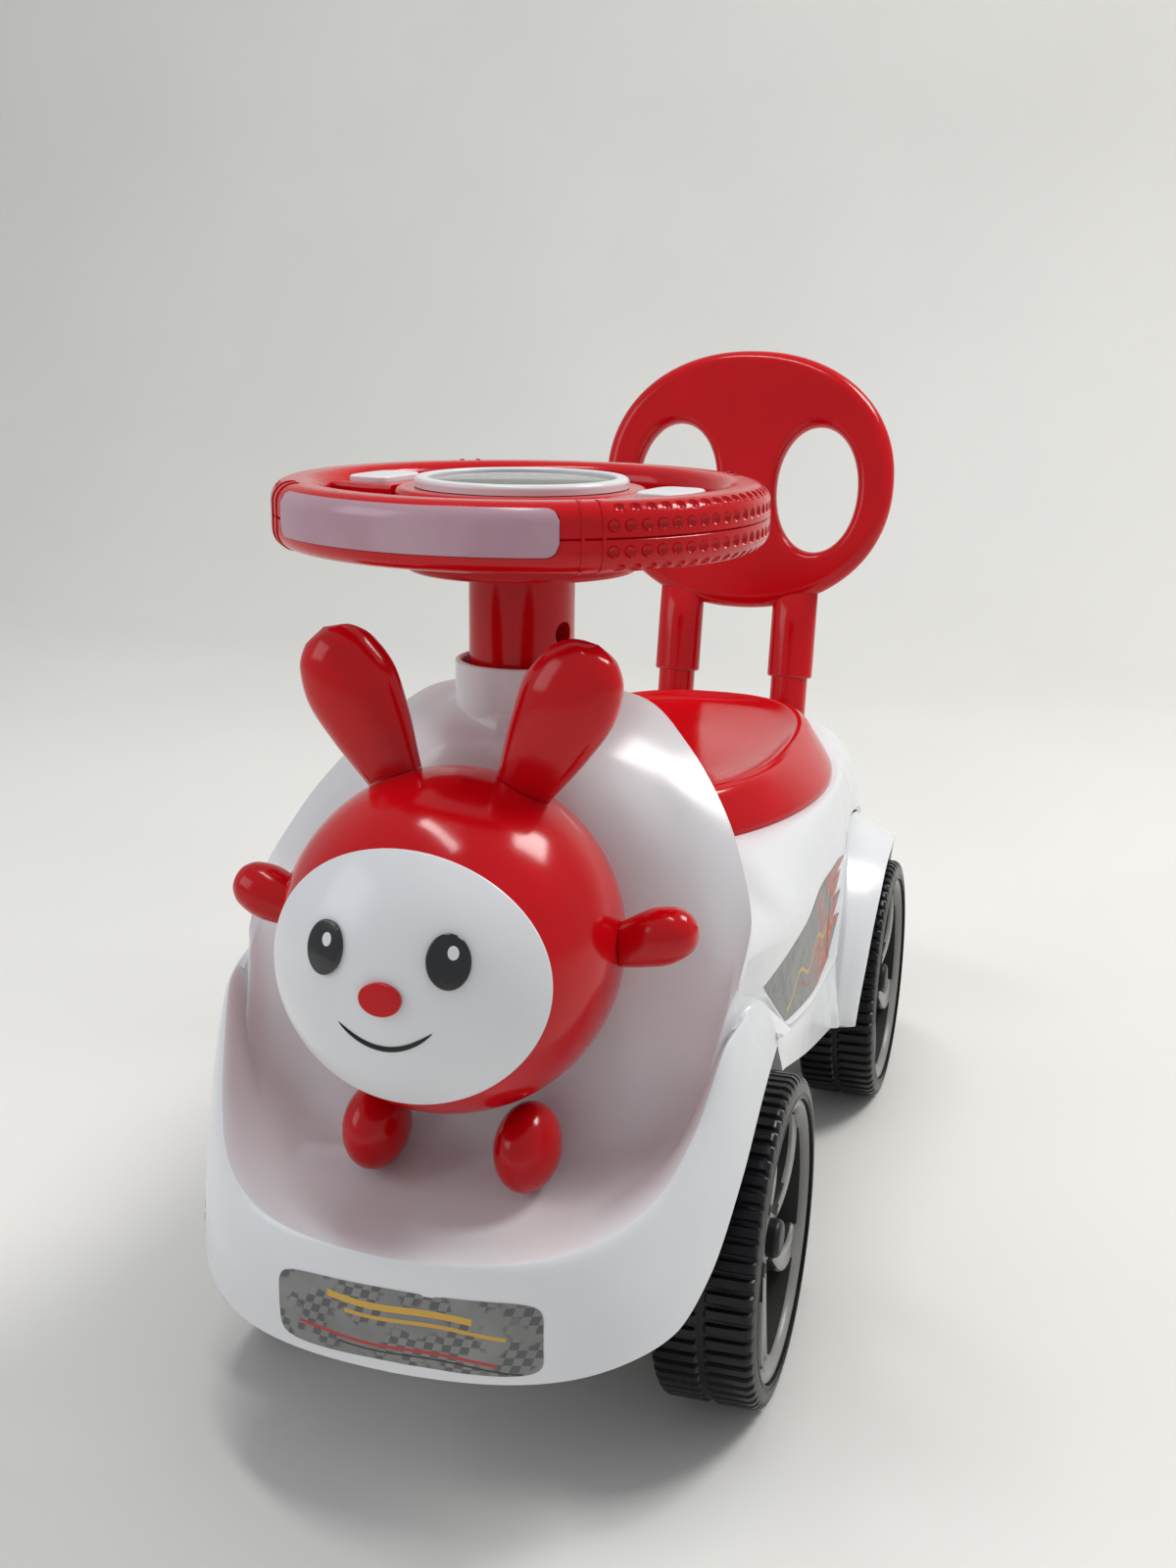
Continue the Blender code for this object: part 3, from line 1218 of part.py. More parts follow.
def make_column(steering, car, finishes):
    """Sleeve, shaft, cross bolt with its nut, and the bush the sleeve stands on."""
    centre = (0.0, FRONT_AXLE_Y, 0.0)
    bush_base = COLLAR_FLOOR + FIT_GAP
    bush_outer = COLLAR_RADIUS - COWL_WALL - FIT_GAP
    bush_inner, bush_top = SHAFT_RADIUS + TURNING_GAP, bush_base + BUSH_HEIGHT
    bush = tube("bush", bush_inner, bush_outer, bush_base, bush_top, "Z", centre, HUB_STEPS, COLLAR_BORE_TURN)
    piece("column_bush", bush, finishes["black"], car)
    sleeve_base = bush_top + TURNING_GAP
    bore = SHAFT_RADIUS + FIT_GAP
    sleeve = tube("sleeve", bore, COLUMN_RADIUS, sleeve_base, COLUMN_TOP, "Z", centre, HUB_STEPS)
    sleeve = piece("column_sleeve", sleeve, finishes["red"], steering)
    shaft = rod("shaft", SHAFT_RADIUS, SHAFT_FOOT, SHAFT_TOP, "Z", centre)
    shaft = piece("steering_shaft", shaft, finishes["steel"], steering)

    at_bolt = Matrix.Translation((0.0, FRONT_AXLE_Y, BOLT_HEIGHT)) @ Matrix.Rotation(BOLT_TURN, 4, "Z")
    reach = COLUMN_RADIUS + CUTTER_MARGIN
    cross_hole = rod("cross_hole", BOLT_RADIUS + FIT_GAP, -reach, reach, "X")
    cross_hole.transform(at_bolt)
    cross_cutter = helper("bolt_cross_hole", cross_hole, steering)
    cut(sleeve, cross_cutter)
    cut(shaft, cross_cutter)
    counterbores = [rod("counterbore", BOLT_HOLE_RADIUS, BOLT_SEAT_RADIUS, reach, "X")]
    counterbores.append(rod("counterbore", BOLT_HOLE_RADIUS, -reach, -BOLT_SEAT_RADIUS, "X"))
    counterbore_mesh = merged("counterbores", counterbores)
    counterbore_mesh.transform(at_bolt)
    cut(sleeve, helper("bolt_counterbores", counterbore_mesh, steering))
    head_start = BOLT_SEAT_RADIUS + FIT_GAP
    head_end = head_start + BOLT_HEAD_HEIGHT
    bolt_profile = [(0, -head_end), (BOLT_RADIUS, -head_end), (BOLT_RADIUS, head_start)]
    bolt_profile += [(BOLT_HEAD_RADIUS, head_start), (BOLT_HEAD_RADIUS, head_end), (0, head_end)]
    bolt = turned("bolt", bolt_profile, "X")
    bolt.transform(at_bolt)
    piece("column_bolt", bolt, finishes["steel"], steering)
    nut_bore = (BOLT_RADIUS + FIT_GAP) / cos(pi / NUT_SIDES)
    nut = tube("nut", nut_bore, NUT_RADIUS, -head_end, -head_start, "X", steps=NUT_SIDES)
    nut.transform(at_bolt)
    piece("column_nut", nut, finishes["steel"], steering)


def link_outline(points, radius, steps=6):
    """Outline of a flat link: round ends of one radius joined by straight sides, along Y or X."""
    (x1, y1), (x2, y2) = points
    direction = atan2(y2 - y1, x2 - x1)
    outline = []
    for (x, y), start in (((x1, y1), direction + pi / 2), ((x2, y2), direction - pi / 2)):
        for i in range(steps + 1):
            turn = start + pi * i / steps
            outline.append((x + radius * cos(turn), y + radius * sin(turn)))
    return outline


def make_linkage(car, steering, tie, knuckles, finishes):
    """Bracket, kingpins, steering crank, tie rod and the two wheel knuckles."""
    black, steel = finishes["black"], finishes["steel"]
    front, rear = FRONT_AXLE_Y - BRACKET_FRONT, FRONT_AXLE_Y + BRACKET_REAR
    half = BRACKET_HALF_WIDTH
    plate = [(half, front), (half, FRONT_AXLE_Y - BRACKET_EAR_RADIUS)]
    for i in range(EAR_STEPS + 1):
        turn = -pi / 2 + pi * i / EAR_STEPS
        across, ahead = BRACKET_EAR_RADIUS * cos(turn), BRACKET_EAR_RADIUS * sin(turn)
        plate.append((KINGPIN_X + across, FRONT_AXLE_Y + ahead))
    plate += [(half, FRONT_AXLE_Y + BRACKET_EAR_RADIUS), (half, rear)]
    outline = plate + [(-x, y) for x, y in reversed(plate)]
    top_plate = extruded("bracket", outline, BRACKET_TOP - BRACKET_WALL, BRACKET_TOP)
    bracket = piece("front_bracket", top_plate, black, car)
    flange = extruded("flange", outline, BRACKET_BOTTOM, BRACKET_BOTTOM + BRACKET_WALL)
    add(bracket, helper("bracket_flange", flange, car))
    inset = WEB_INSET
    web = block(
        "web",
        (-half + inset, front + inset, BRACKET_BOTTOM + inset),
        (half - inset, front + BRACKET_WALL, BRACKET_TOP - inset),
    )
    add(bracket, helper("bracket_web", web, car))
    column = (0.0, FRONT_AXLE_Y, 0.0)
    holes = [rod("shaft_hole", SHAFT_RADIUS + TURNING_GAP, BORE_LOW, BORE_HIGH, "Z", column)]
    for side in (-1, 1):
        place = (side * KINGPIN_X, FRONT_AXLE_Y, 0.0)
        holes.append(rod("kingpin_hole", KINGPIN_RADIUS + TURNING_GAP, BORE_LOW, BORE_HIGH, "Z", place))
    cut(bracket, helper("bracket_holes", merged("bracket_holes", holes), car))

    link_y = FRONT_AXLE_Y + ARM_LENGTH
    knuckle_low = BRACKET_BOTTOM + BRACKET_WALL + TURNING_GAP
    knuckle_high = BRACKET_TOP - BRACKET_WALL - TURNING_GAP
    for side, label in ((-1, "left"), (1, "right")):
        place = (side * KINGPIN_X, FRONT_AXLE_Y, 0.0)
        head_base = BRACKET_TOP + FIT_GAP
        kingpin = [
            (0, BRACKET_BOTTOM - KINGPIN_TAIL),
            (KINGPIN_RADIUS, BRACKET_BOTTOM - KINGPIN_TAIL),
            (KINGPIN_RADIUS, head_base),
            (KINGPIN_HEAD_RADIUS, head_base),
            (KINGPIN_HEAD_RADIUS, head_base + KINGPIN_HEAD_HEIGHT),
            (0, head_base + KINGPIN_HEAD_HEIGHT),
        ]
        piece(f"kingpin_{label}", turned("kingpin", kingpin, "Z", place), steel, car)

        carrier = knuckles[label]
        barrel = rod("barrel", KNUCKLE_RADIUS, knuckle_low, knuckle_high, "Z", place, KNUCKLE_STEPS)
        knuckle = piece(f"knuckle_{label}", barrel, black, carrier)
        stub_end = WHEEL_OUTER_X - AXLE_END_INSET - KINGPIN_X
        shoulder = STUB_SHOULDER_X - KINGPIN_X
        stub = [
            (0, 0.0),
            (STUB_SHOULDER_RADIUS, 0.0),
            (STUB_SHOULDER_RADIUS, shoulder),
            (AXLE_RADIUS, shoulder),
            (AXLE_RADIUS, stub_end),
            (0, stub_end),
        ]
        stub_mesh = turned("stub", stub, "X")
        stub_mesh.transform(Matrix.Rotation(0 if side > 0 else pi, 4, "Z"))
        stub_mesh.transform(Matrix.Translation((place[0], FRONT_AXLE_Y, AXLE_HEIGHT)))
        add(knuckle, helper(f"knuckle_stub_{label}", stub_mesh, carrier))
        arm = link_outline([(place[0], FRONT_AXLE_Y), (place[0], link_y)], ARM_WIDTH / 2)
        add(knuckle, helper(f"knuckle_arm_{label}", extruded("arm", arm, ARM_LOW, ARM_HIGH), carrier))
        link_place = (place[0], link_y, 0.0)
        pin = rod("pin", LINK_PIN_RADIUS, ARM_HIGH - LINK_PIN_SINK, LINK_PIN_TOP, "Z", link_place)
        add(knuckle, helper(f"knuckle_pin_{label}", pin, carrier))
        bore = rod("bore", KINGPIN_RADIUS + TURNING_GAP, BORE_LOW, BORE_HIGH, "Z", place)
        cut(knuckle, helper(f"knuckle_bore_{label}", bore, carrier))

    crank_hub = rod("crank", CRANK_RADIUS, knuckle_low, ARM_HIGH, "Z", column, KNUCKLE_STEPS)
    crank = piece("steering_crank", crank_hub, black, steering)
    # The crank points straight back while the steering wheel sits turned on the same shaft.
    straight = Matrix.Translation((0.0, FRONT_AXLE_Y, 0.0)) @ Matrix.Rotation(-WHEEL_TURN, 4, "Z")
    straight @= Matrix.Translation((0.0, -FRONT_AXLE_Y, 0.0))
    outline = link_outline([(0.0, FRONT_AXLE_Y), (0.0, link_y)], ARM_WIDTH / 2)
    arm = extruded("crank_arm", outline, ARM_LOW, ARM_HIGH)
    arm.transform(straight)
    add(crank, helper("crank_arm", arm, steering))
    pin = rod("crank_pin", LINK_PIN_RADIUS, ARM_HIGH - LINK_PIN_SINK, LINK_PIN_TOP, "Z", (0.0, link_y, 0.0))
    pin.transform(straight)
    add(crank, helper("crank_pin", pin, steering))
    shaft_bore = rod("crank_bore", SHAFT_RADIUS + FIT_GAP, BORE_LOW, BORE_HIGH, "Z", column)
    cut(crank, helper("crank_bore", shaft_bore, steering))

    ends = [(-KINGPIN_X, link_y), (KINGPIN_X, link_y)]
    rod_base = ARM_HIGH + TURNING_GAP
    bar = extruded("tie_rod", link_outline(ends, TIE_ROD_WIDTH / 2), rod_base, rod_base + TIE_ROD_HEIGHT)
    tie_rod = piece("tie_rod", bar, steel, tie)
    eyes = []
    for x in (-KINGPIN_X, 0.0, KINGPIN_X):
        eyes.append(rod("eye", LINK_PIN_RADIUS + TURNING_GAP, BORE_LOW, BORE_HIGH, "Z", (x, link_y, 0.0)))
    cut(tie_rod, helper("tie_rod_eyes", merged("eyes", eyes), tie))


def tyre_profile():
    """Loop of (radius, reach from the wheel's inner face)."""
    flat = WHEEL_RADIUS / cos(pi / WHEEL_STEPS)
    edge = TYRE_EDGE_ROUND
    seat = RIM_RADIUS + FIT_GAP
    return [
        (seat, 0),
        (flat - edge, 0),
        (flat, edge),
        (flat, WHEEL_WIDTH - edge),
        (flat - edge, WHEEL_WIDTH),
        (seat, WHEEL_WIDTH),
    ]


def rim_mesh(car, finish):
    """Barrel, dish, hub and swept spokes of one wheel, about the X axis with its inner face at x = 0."""
    outer_face = WHEEL_WIDTH - RIM_INSET
    dish_high = WHEEL_WIDTH - RIM_DISH_DEPTH
    dish_low = dish_high - RIM_DISH_WALL
    hub_end = WHEEL_WIDTH - HUB_OUTER_INSET
    inner_barrel = RIM_RADIUS - RIM_BARREL_WALL
    bore = AXLE_RADIUS + TURNING_GAP
    profile = [
        (bore, 0.0),
        (HUB_RADIUS, 0.0),
        (HUB_RADIUS, dish_low),
        (inner_barrel, dish_low),
        (inner_barrel, RIM_INSET),
        (RIM_RADIUS, RIM_INSET),
        (RIM_RADIUS, outer_face),
        (inner_barrel, outer_face),
        (inner_barrel, dish_high),
        (HUB_RADIUS, dish_high),
        (HUB_RADIUS, hub_end),
        (bore, hub_end),
    ]
    barrel = turned("rim", profile, "X", steps=WHEEL_STEPS, start=pi / WHEEL_STEPS)
    rim = piece("rim_template", barrel, finish, car)
    spokes = []
    low = outer_face - SPOKE_INSET - SPOKE_THICKNESS
    high = outer_face - SPOKE_INSET
    for i in range(SPOKE_COUNT):
        start_turn = pi / 2 + 2 * pi * i / SPOKE_COUNT
        rings = []
        for share in SPOKE_SHARES:
            radius = SPOKE_ROOT + (inner_barrel + SPOKE_SINK - SPOKE_ROOT) * share
            turn = start_turn + SPOKE_SWEEP * share**SPOKE_BEND
            y, z = radius * cos(turn), radius * sin(turn)
            across = (-sin(turn), cos(turn))
            half = SPOKE_WIDTH / 2 * (SPOKE_ROOT_SHARE + SPOKE_SPREAD * share)
            rings.append(
                [
                    (low, y - across[0] * half, z - across[1] * half),
                    (low, y + across[0] * half, z + across[1] * half),
                    (high, y + across[0] * half, z + across[1] * half),
                    (high, y - across[0] * half, z - across[1] * half),
                ]
            )
        spokes.append(skinned("spoke", rings))
    arms = helper("rim_spokes", merged("spokes", spokes), car)
    bpy.context.view_layer.update()
    add(rim, arms)
    mesh = evaluated_mesh(rim, "wheel_rim")
    drop(rim, arms)
    return mesh


def make_wheels(carriers, car, finishes):
    rim = rim_mesh(car, finishes["grey"])
    tyre = turned("tyre", tyre_profile(), "X", steps=WHEEL_STEPS, start=pi / WHEEL_STEPS)
    cap_start = WHEEL_WIDTH - HUB_OUTER_INSET + FIT_GAP
    end = WHEEL_WIDTH - AXLE_END_INSET
    cap_bore = AXLE_RADIUS + FIT_GAP
    cap_end = cap_start + CAP_LENGTH
    cap_profile = [
        (0, end + FIT_GAP),
        (cap_bore, end + FIT_GAP),
        (cap_bore, cap_start),
        (CAP_RADIUS, cap_start),
        (CAP_RADIUS, cap_end - CAP_EDGE),
        (CAP_RADIUS - CAP_EDGE, cap_end),
        (0, cap_end),
    ]
    cap = turned("cap", cap_profile, "X")
    for label, carrier in carriers.items():
        side = 1 if label.endswith("right") else -1
        inner_x = WHEEL_OUTER_X - WHEEL_WIDTH
        for kind, mesh, finish in (("tyre", tyre, "tyre"), ("rim", rim, "grey"), ("hub_cap", cap, "black")):
            own = mesh.copy()
            own.transform(Matrix.Translation((inner_x, 0.0, 0.0)))
            if side < 0:
                own.transform(Matrix.Rotation(pi, 4, "Z"))
            own.transform(Matrix.Translation((0.0, carrier["place"][1], AXLE_HEIGHT)))
            own.materials.clear()
            piece(f"{kind}_{label}", own, finishes[finish], carrier)
    for mesh in (rim, tyre, cap):
        bpy.data.meshes.remove(mesh)


def ball_patch(name, low_radius, high_radius, turn, lift, half_angles, steps=20, rows=4):
    """Solid patch that lies on the figure's ball: an oval between two radii, about a direction."""
    aim = Matrix.Rotation(turn, 4, "Z") @ Matrix.Rotation(-lift, 4, "X")
    aim = Matrix.Translation((0.0, FIGURE_Y, FIGURE_Z)) @ aim

    def ring(radius, share):
        points = []
        for i in range(steps):
            around = 2 * pi * i / steps
            across = sin(half_angles[0] * share) * cos(around)
            up = sin(half_angles[1] * share) * sin(around)
            ahead = sqrt(1 - across**2 - up**2)
            points.append(aim @ Vector((across * radius, -ahead * radius, up * radius)))
        return points

    shares = [(i + 1) / rows for i in range(rows)]
    low = [ring(low_radius, share) for share in reversed(shares)]
    high = [ring(high_radius, share) for share in shares]
    low_middle = [aim @ Vector((0.0, -low_radius, 0.0))]
    high_middle = [aim @ Vector((0.0, -high_radius, 0.0))]
    rings = [high_middle, *high, *low, low_middle]
    return skinned(name, rings)


def limb(name, length, half_width, half_depth, base, lean, side, steps=12):
    """Rounded limb that swells towards its end, leaning outwards from its base."""
    rings = [[(0.0, 0.0, 0.0)]]
    for share, size in LIMB_SIZES:
        ring = oval_ring(half_width * size, half_depth * size, 2.0, steps)
        rings.append([(x, y, length * share) for x, y in ring])
    rings.append([(0.0, 0.0, length)])
    mesh = skinned(name, rings)
    mesh.transform(Matrix.Rotation(lean * side, 4, "Y"))
    mesh.transform(Matrix.Translation((side * base[0], base[1], base[2])))
    return mesh


def make_figure(car, finishes):
    """Rounded toy rabbit head and body on the front of the hood."""
    red, white, black = finishes["red"], finishes["white"], finishes["black"]
    outer, inner = FIGURE_RADIUS, FIGURE_RADIUS - FIGURE_WALL
    back = FIGURE_BACK_Y - FIGURE_Y
    last = asin(back / outer)
    inner_last = asin(back / inner)
    outer_arc = [(-pi / 2) + (last + pi / 2) * i / 8 for i in range(9)]
    inner_arc = [inner_last + (-pi / 2 - inner_last) * i / 5 for i in range(5)]
    post_turn = -pi / 2 + asin(FIGURE_POST_RADIUS / inner)
    post_bore = FIGURE_SCREW_RADIUS + FIT_GAP
    profile = [(outer * cos(t) if i else 0, outer * sin(t)) for i, t in enumerate(outer_arc)]
    profile += [(inner * cos(t), inner * sin(t)) for t in inner_arc if t > post_turn]
    post_front = inner * sin(post_turn)
    profile += [(FIGURE_POST_RADIUS, post_front), (FIGURE_POST_RADIUS, back), (post_bore, back)]
    bore_front = back - FIGURE_SCREW_DEPTH - FIGURE_SCREW_ROOM
    profile += [(post_bore, bore_front), (0, bore_front)]
    centre = (0.0, FIGURE_Y, FIGURE_Z)
    piece("figure_body", turned("ball", profile, "Y", centre, FIGURE_STEPS), red, car)

    face_low = outer + FACE_GAP
    face_high = face_low + FACE_THICKNESS
    face = ball_patch("face", face_low, face_high, 0.0, FACE_LIFT, FACE_HALF_ANGLES)
    piece("figure_face", face, white, car)
    eye_low = face_high + FACE_GAP
    sizes = (EYE_SIZE, EYE_SIZE * EYE_TALLNESS)
    for side, label in ((-1, "left"), (1, "right")):
        eye = ball_patch("eye", eye_low, eye_low + EYE_THICKNESS, side * EYE_TURN, EYE_LIFT, sizes, 16, 2)
        piece(f"figure_eye_{label}", eye, black, car)
    nose_sizes = (NOSE_SIZE * NOSE_BREADTH, NOSE_SIZE)
    nose = ball_patch("nose", eye_low, eye_low + NOSE_THICKNESS, 0.0, NOSE_LIFT, nose_sizes, 16, 2)
    piece("figure_nose", nose, red, car)

    clear = 1 + FIT_GAP / outer
    space_profile = [(radius * clear, reach * clear) for radius, reach in profile[:len(outer_arc)]]
    space_profile += [(outer * cos(last) * clear, -FIGURE_Y), (0, -FIGURE_Y)]
    clearing = helper("figure_ball_space", turned("space", space_profile, "Y", centre, FIGURE_STEPS), car)
    for side, label in ((-1, "left"), (1, "right")):
        ear = limb("ear", EAR_LENGTH, EAR_HALF_WIDTH, EAR_HALF_DEPTH, EAR_BASE, EAR_LEAN, side)
        cut(piece(f"figure_ear_{label}", ear, red, car), clearing)
        paw = limb("paw", PAW_LENGTH, PAW_HALF_WIDTH, PAW_HALF_WIDTH, PAW_BASE, PAW_LEAN, side)
        cut(piece(f"figure_paw_{label}", paw, red, car), clearing)
        rings = [[(0.0, 0.0, -1.0)]]
        for degrees in (-60, -36, -12, 12, 36, 60):
            width, height = cos(radians(degrees)), sin(radians(degrees))
            rings.append([(x, y, height) for x, y in oval_ring(width, width, 2.0, 16)])
        rings.append([(0.0, 0.0, 1.0)])
        foot = skinned("foot", rings)
        foot.transform(Matrix.Diagonal((*FOOT_HALF_SIZES, 1.0)))
        foot.transform(Matrix.Translation((side * FOOT_MIDDLE[0], FOOT_MIDDLE[1], FOOT_MIDDLE[2])))
        cut(piece(f"figure_foot_{label}", foot, red, car), clearing)

    head_base = HOOD_BACK_Y + FIT_GAP
    screw_profile = [
        (0, FIGURE_BACK_Y - FIGURE_SCREW_DEPTH),
        (FIGURE_SCREW_RADIUS, FIGURE_BACK_Y - FIGURE_SCREW_DEPTH),
        (FIGURE_SCREW_RADIUS, head_base),
        (FIGURE_SCREW_HEAD_RADIUS, head_base),
        (FIGURE_SCREW_HEAD_RADIUS, head_base + FIGURE_SCREW_HEAD_HEIGHT),
        (0, head_base + FIGURE_SCREW_HEAD_HEIGHT),
    ]
    screw = turned("figure_screw", screw_profile, "Y", (0.0, 0.0, FIGURE_Z))
    piece("figure_screw", screw, finishes["steel"], car)


def stand_over_origin(car):
    """Move the whole car so that the middle of its box is over the origin and its lowest point at z = 0."""
    bpy.context.view_layer.update()
    graph = bpy.context.evaluated_depsgraph_get()
    low, high = Vector((inf,) * 3), Vector((-inf,) * 3)
    for obj in bpy.data.objects:
        if obj.type != "MESH" or obj.hide_render:
            continue
        evaluated = obj.evaluated_get(graph)
        for vertex in evaluated.data.vertices:
            place = evaluated.matrix_world @ vertex.co
            low = Vector(map(min, low, place))
            high = Vector(map(max, high, place))
    middle = (low + high) / 2
    car.location = (-middle.x, -middle.y, -low.z)
    size = [round(value, 4) for value in high - low]
    print("car moved by", [round(value, 5) for value in car.location], "size", size)


def main():
    clear_scene()
    finishes = {
        "red": material("red_plastic", (0.50, 0.0, 0.006), 0.18),
        "white": material("white_plastic", (0.76, 0.78, 0.80), 0.22),
        "black": material("black_plastic", (0.012, 0.012, 0.013), 0.35),
        "tyre": material("tyre_plastic", (0.010, 0.010, 0.011), 0.45),
        "grey": material("grey_plastic", (0.20, 0.20, 0.19), 0.38),
        "steel": material("steel", (0.55, 0.55, 0.56), 0.30, 1.0),
        "lens": material("lens_plastic", (0.42, 0.27, 0.30), 0.20),
        "clear": material("clear_plastic", (0.85, 0.87, 0.88), 0.05, 0.0, 0.35),
        "dial": material("dial_card", (0.35, 0.36, 0.37), 0.50),
        "board": material("circuit_board", (0.02, 0.14, 0.05), 0.50),
    }
    car = pivot("push_car", (0.0, 0.0, 0.0))
    column_place = (0.0, FRONT_AXLE_Y, AXLE_HEIGHT)
    steering = pivot("steering_axis", column_place, car, WHEEL_TURN)
    tie = pivot("tie_rod_pin", (0.0, FRONT_AXLE_Y + ARM_LENGTH, ARM_HIGH), car)
    knuckles = {}
    wheels = {}
    for side, label in ((-1, "left"), (1, "right")):
        place = (side * KINGPIN_X, FRONT_AXLE_Y, AXLE_HEIGHT)
        knuckles[label] = pivot(f"knuckle_{label}_axis", place, car)
        wheel_x = side * (WHEEL_OUTER_X - WHEEL_WIDTH / 2)
        front = (wheel_x, FRONT_AXLE_Y, AXLE_HEIGHT)
        rear = (wheel_x, REAR_AXLE_Y, AXLE_HEIGHT)
        wheels[f"front_{label}"] = pivot(f"wheel_front_{label}_axis", front, knuckles[label])
        wheels[f"rear_{label}"] = pivot(f"wheel_rear_{label}_axis", rear, car)
    lid_pivot = pivot("seat_lid_axis", (0.0, LID_HINGE_Y, LID_HINGE_Z), car)

    make_front_cowl(car, finishes["white"])
    make_main_body(car, finishes["white"])
    make_underbody(car, finishes["black"], finishes["steel"])
    make_seat_lid(lid_pivot, car, finishes["red"], finishes["steel"])
    make_backrest(car, finishes["red"])
    halves = make_handwheel(steering, finishes["red"])
    make_buttons(halves["steering_wheel_upper"], steering, finishes["white"])
    make_hub_parts(steering, finishes)
    make_column(steering, car, finishes)
    make_linkage(car, steering, tie, knuckles, finishes)
    make_wheels(wheels, car, finishes)
    make_figure(car, finishes)
    stand_over_origin(car)


main()
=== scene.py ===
"""Looks of a toddler push car: fine smooth pieces over its solids, their materials, camera and light.

Lengths are metres. Pieces are drawn in the car's own coordinates and then moved to where its solids stand.
"""

from bisect import bisect_right
from math import asin, cos, pi, radians, sin, sqrt

import bmesh
import bpy
from mathutils import Matrix, Vector
from mathutils.bvhtree import BVHTree

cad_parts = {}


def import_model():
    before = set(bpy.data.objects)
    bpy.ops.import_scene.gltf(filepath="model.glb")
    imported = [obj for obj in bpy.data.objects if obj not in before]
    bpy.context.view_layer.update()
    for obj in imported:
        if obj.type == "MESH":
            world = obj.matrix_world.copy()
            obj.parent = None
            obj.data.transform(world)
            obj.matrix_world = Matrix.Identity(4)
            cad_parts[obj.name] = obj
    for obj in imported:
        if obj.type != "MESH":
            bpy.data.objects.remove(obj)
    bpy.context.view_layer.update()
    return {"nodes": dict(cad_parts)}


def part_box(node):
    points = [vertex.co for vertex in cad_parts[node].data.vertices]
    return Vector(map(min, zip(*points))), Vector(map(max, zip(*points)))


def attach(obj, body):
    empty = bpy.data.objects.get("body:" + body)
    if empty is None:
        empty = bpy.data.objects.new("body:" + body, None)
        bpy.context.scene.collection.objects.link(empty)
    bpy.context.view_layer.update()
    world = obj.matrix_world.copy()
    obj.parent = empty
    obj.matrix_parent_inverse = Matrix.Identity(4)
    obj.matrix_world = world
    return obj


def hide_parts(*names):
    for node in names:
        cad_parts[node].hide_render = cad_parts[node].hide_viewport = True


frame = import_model()

FIT_GAP = 0.0003
TURNING_GAP = 0.0003
THROUGH_GAP = 0.0012
CUTTER_MARGIN = 0.01
WHEEL_RADIUS = 0.08
WHEEL_WIDTH = 0.049
AXLE_HEIGHT = WHEEL_RADIUS
FRONT_AXLE_Y = -0.17
REAR_AXLE_Y = 0.2
AXLE_RADIUS = 0.005
AXLE_END_INSET = 0.006
RIM_RADIUS = 0.068
RIM_BARREL_WALL = 0.0045
RIM_INSET = 0.0015
RIM_DISH_DEPTH = 0.026
RIM_DISH_WALL = 0.003
HUB_RADIUS = 0.012
HUB_OUTER_INSET = 0.009
SPOKE_COUNT = 5
SPOKE_INSET = 0.0035
SPOKE_SWEEP = radians(26)
SPOKE_ROOT = 0.0105
SPOKE_BEND = 1.6
CAP_RADIUS = 0.0095
CAP_LENGTH = 0.0062
COWL_WALL = 0.003
APRON_HALF_WIDTH = 0.1345
WHEEL_PROUD = 0.0025
WHEEL_OUTER_X = APRON_HALF_WIDTH + WHEEL_PROUD
APRON_REACH = 0.165
APRON_ROUNDNESS = 2.78
APRON_END_ANGLE = 87
APRON_BULGE = 0.0035
RIDGE_SETBACK = 0.009
RIDGE_HALF_WIDTH = APRON_HALF_WIDTH - RIDGE_SETBACK
RIDGE_REACH = 0.165
RIDGE_ROUNDNESS = 2.54
RIDGE_END_ANGLE = 82
COLLAR_RADIUS = 0.031
COLLAR_TOP = 0.358
COLLAR_FLOOR = 0.336
COLLAR_FLOOR_WALL = 0.003
COLLAR_SKIRT = 0.01
COLLAR_HOLE_GAP = 0.001
COLLAR_HOLE_LOW = 0.28
FIGURE_PAD_RADIUS = 0.045
APRON_EDGE_HEIGHTS = (
    (0, 0.082), (25, 0.0854), (40, 0.0898), (50, 0.095), (60, 0.1136), (70, 0.1476), (80, 0.184),
    (87, 0.1965),
)
RIDGE_HEIGHTS = (
    (0, 0.1353), (25, 0.1396), (40, 0.1465), (50, 0.1561), (60, 0.178), (70, 0.21), (82, 0.2165),
)
VALLEY_LINE = (
    (0.0, (0.0, -0.292, 0.1325)), (0.25, (0.038, -0.2885, 0.1335)), (0.5, (0.071, -0.276, 0.139)),
    (0.7, (0.098, -0.258, 0.16)), (0.85, (0.112, -0.242, 0.192)), (1.0, (0.121, -0.214, 0.221)),
)
FOOT_LINE = (
    (0.0, (0.0, -0.246, 0.142)), (0.25, (0.035, -0.2455, 0.1425)), (0.5, (0.078, -0.244, 0.152)),
    (0.7, (0.103, -0.241, 0.176)), (0.85, (0.113, -0.235, 0.205)), (1.0, (0.119, -0.223, 0.2265)),
)
FACE_LINE = (
    (0.0, (0.0, -0.2285, 0.19)), (0.25, (0.035, -0.228, 0.1905)), (0.5, (0.074, -0.224, 0.205)),
    (0.75, (0.103, -0.218, 0.23)), (1.0, (0.1205, -0.206, 0.248)),
)
BROW_LINE = (
    (0.0, (0.0, -0.2165, 0.29)), (0.25, (0.03, -0.2155, 0.2895)), (0.5, (0.062, -0.208, 0.288)),
    (0.75, (0.088, -0.196, 0.285)), (1.0, (0.1085, -0.183, 0.28)),
)
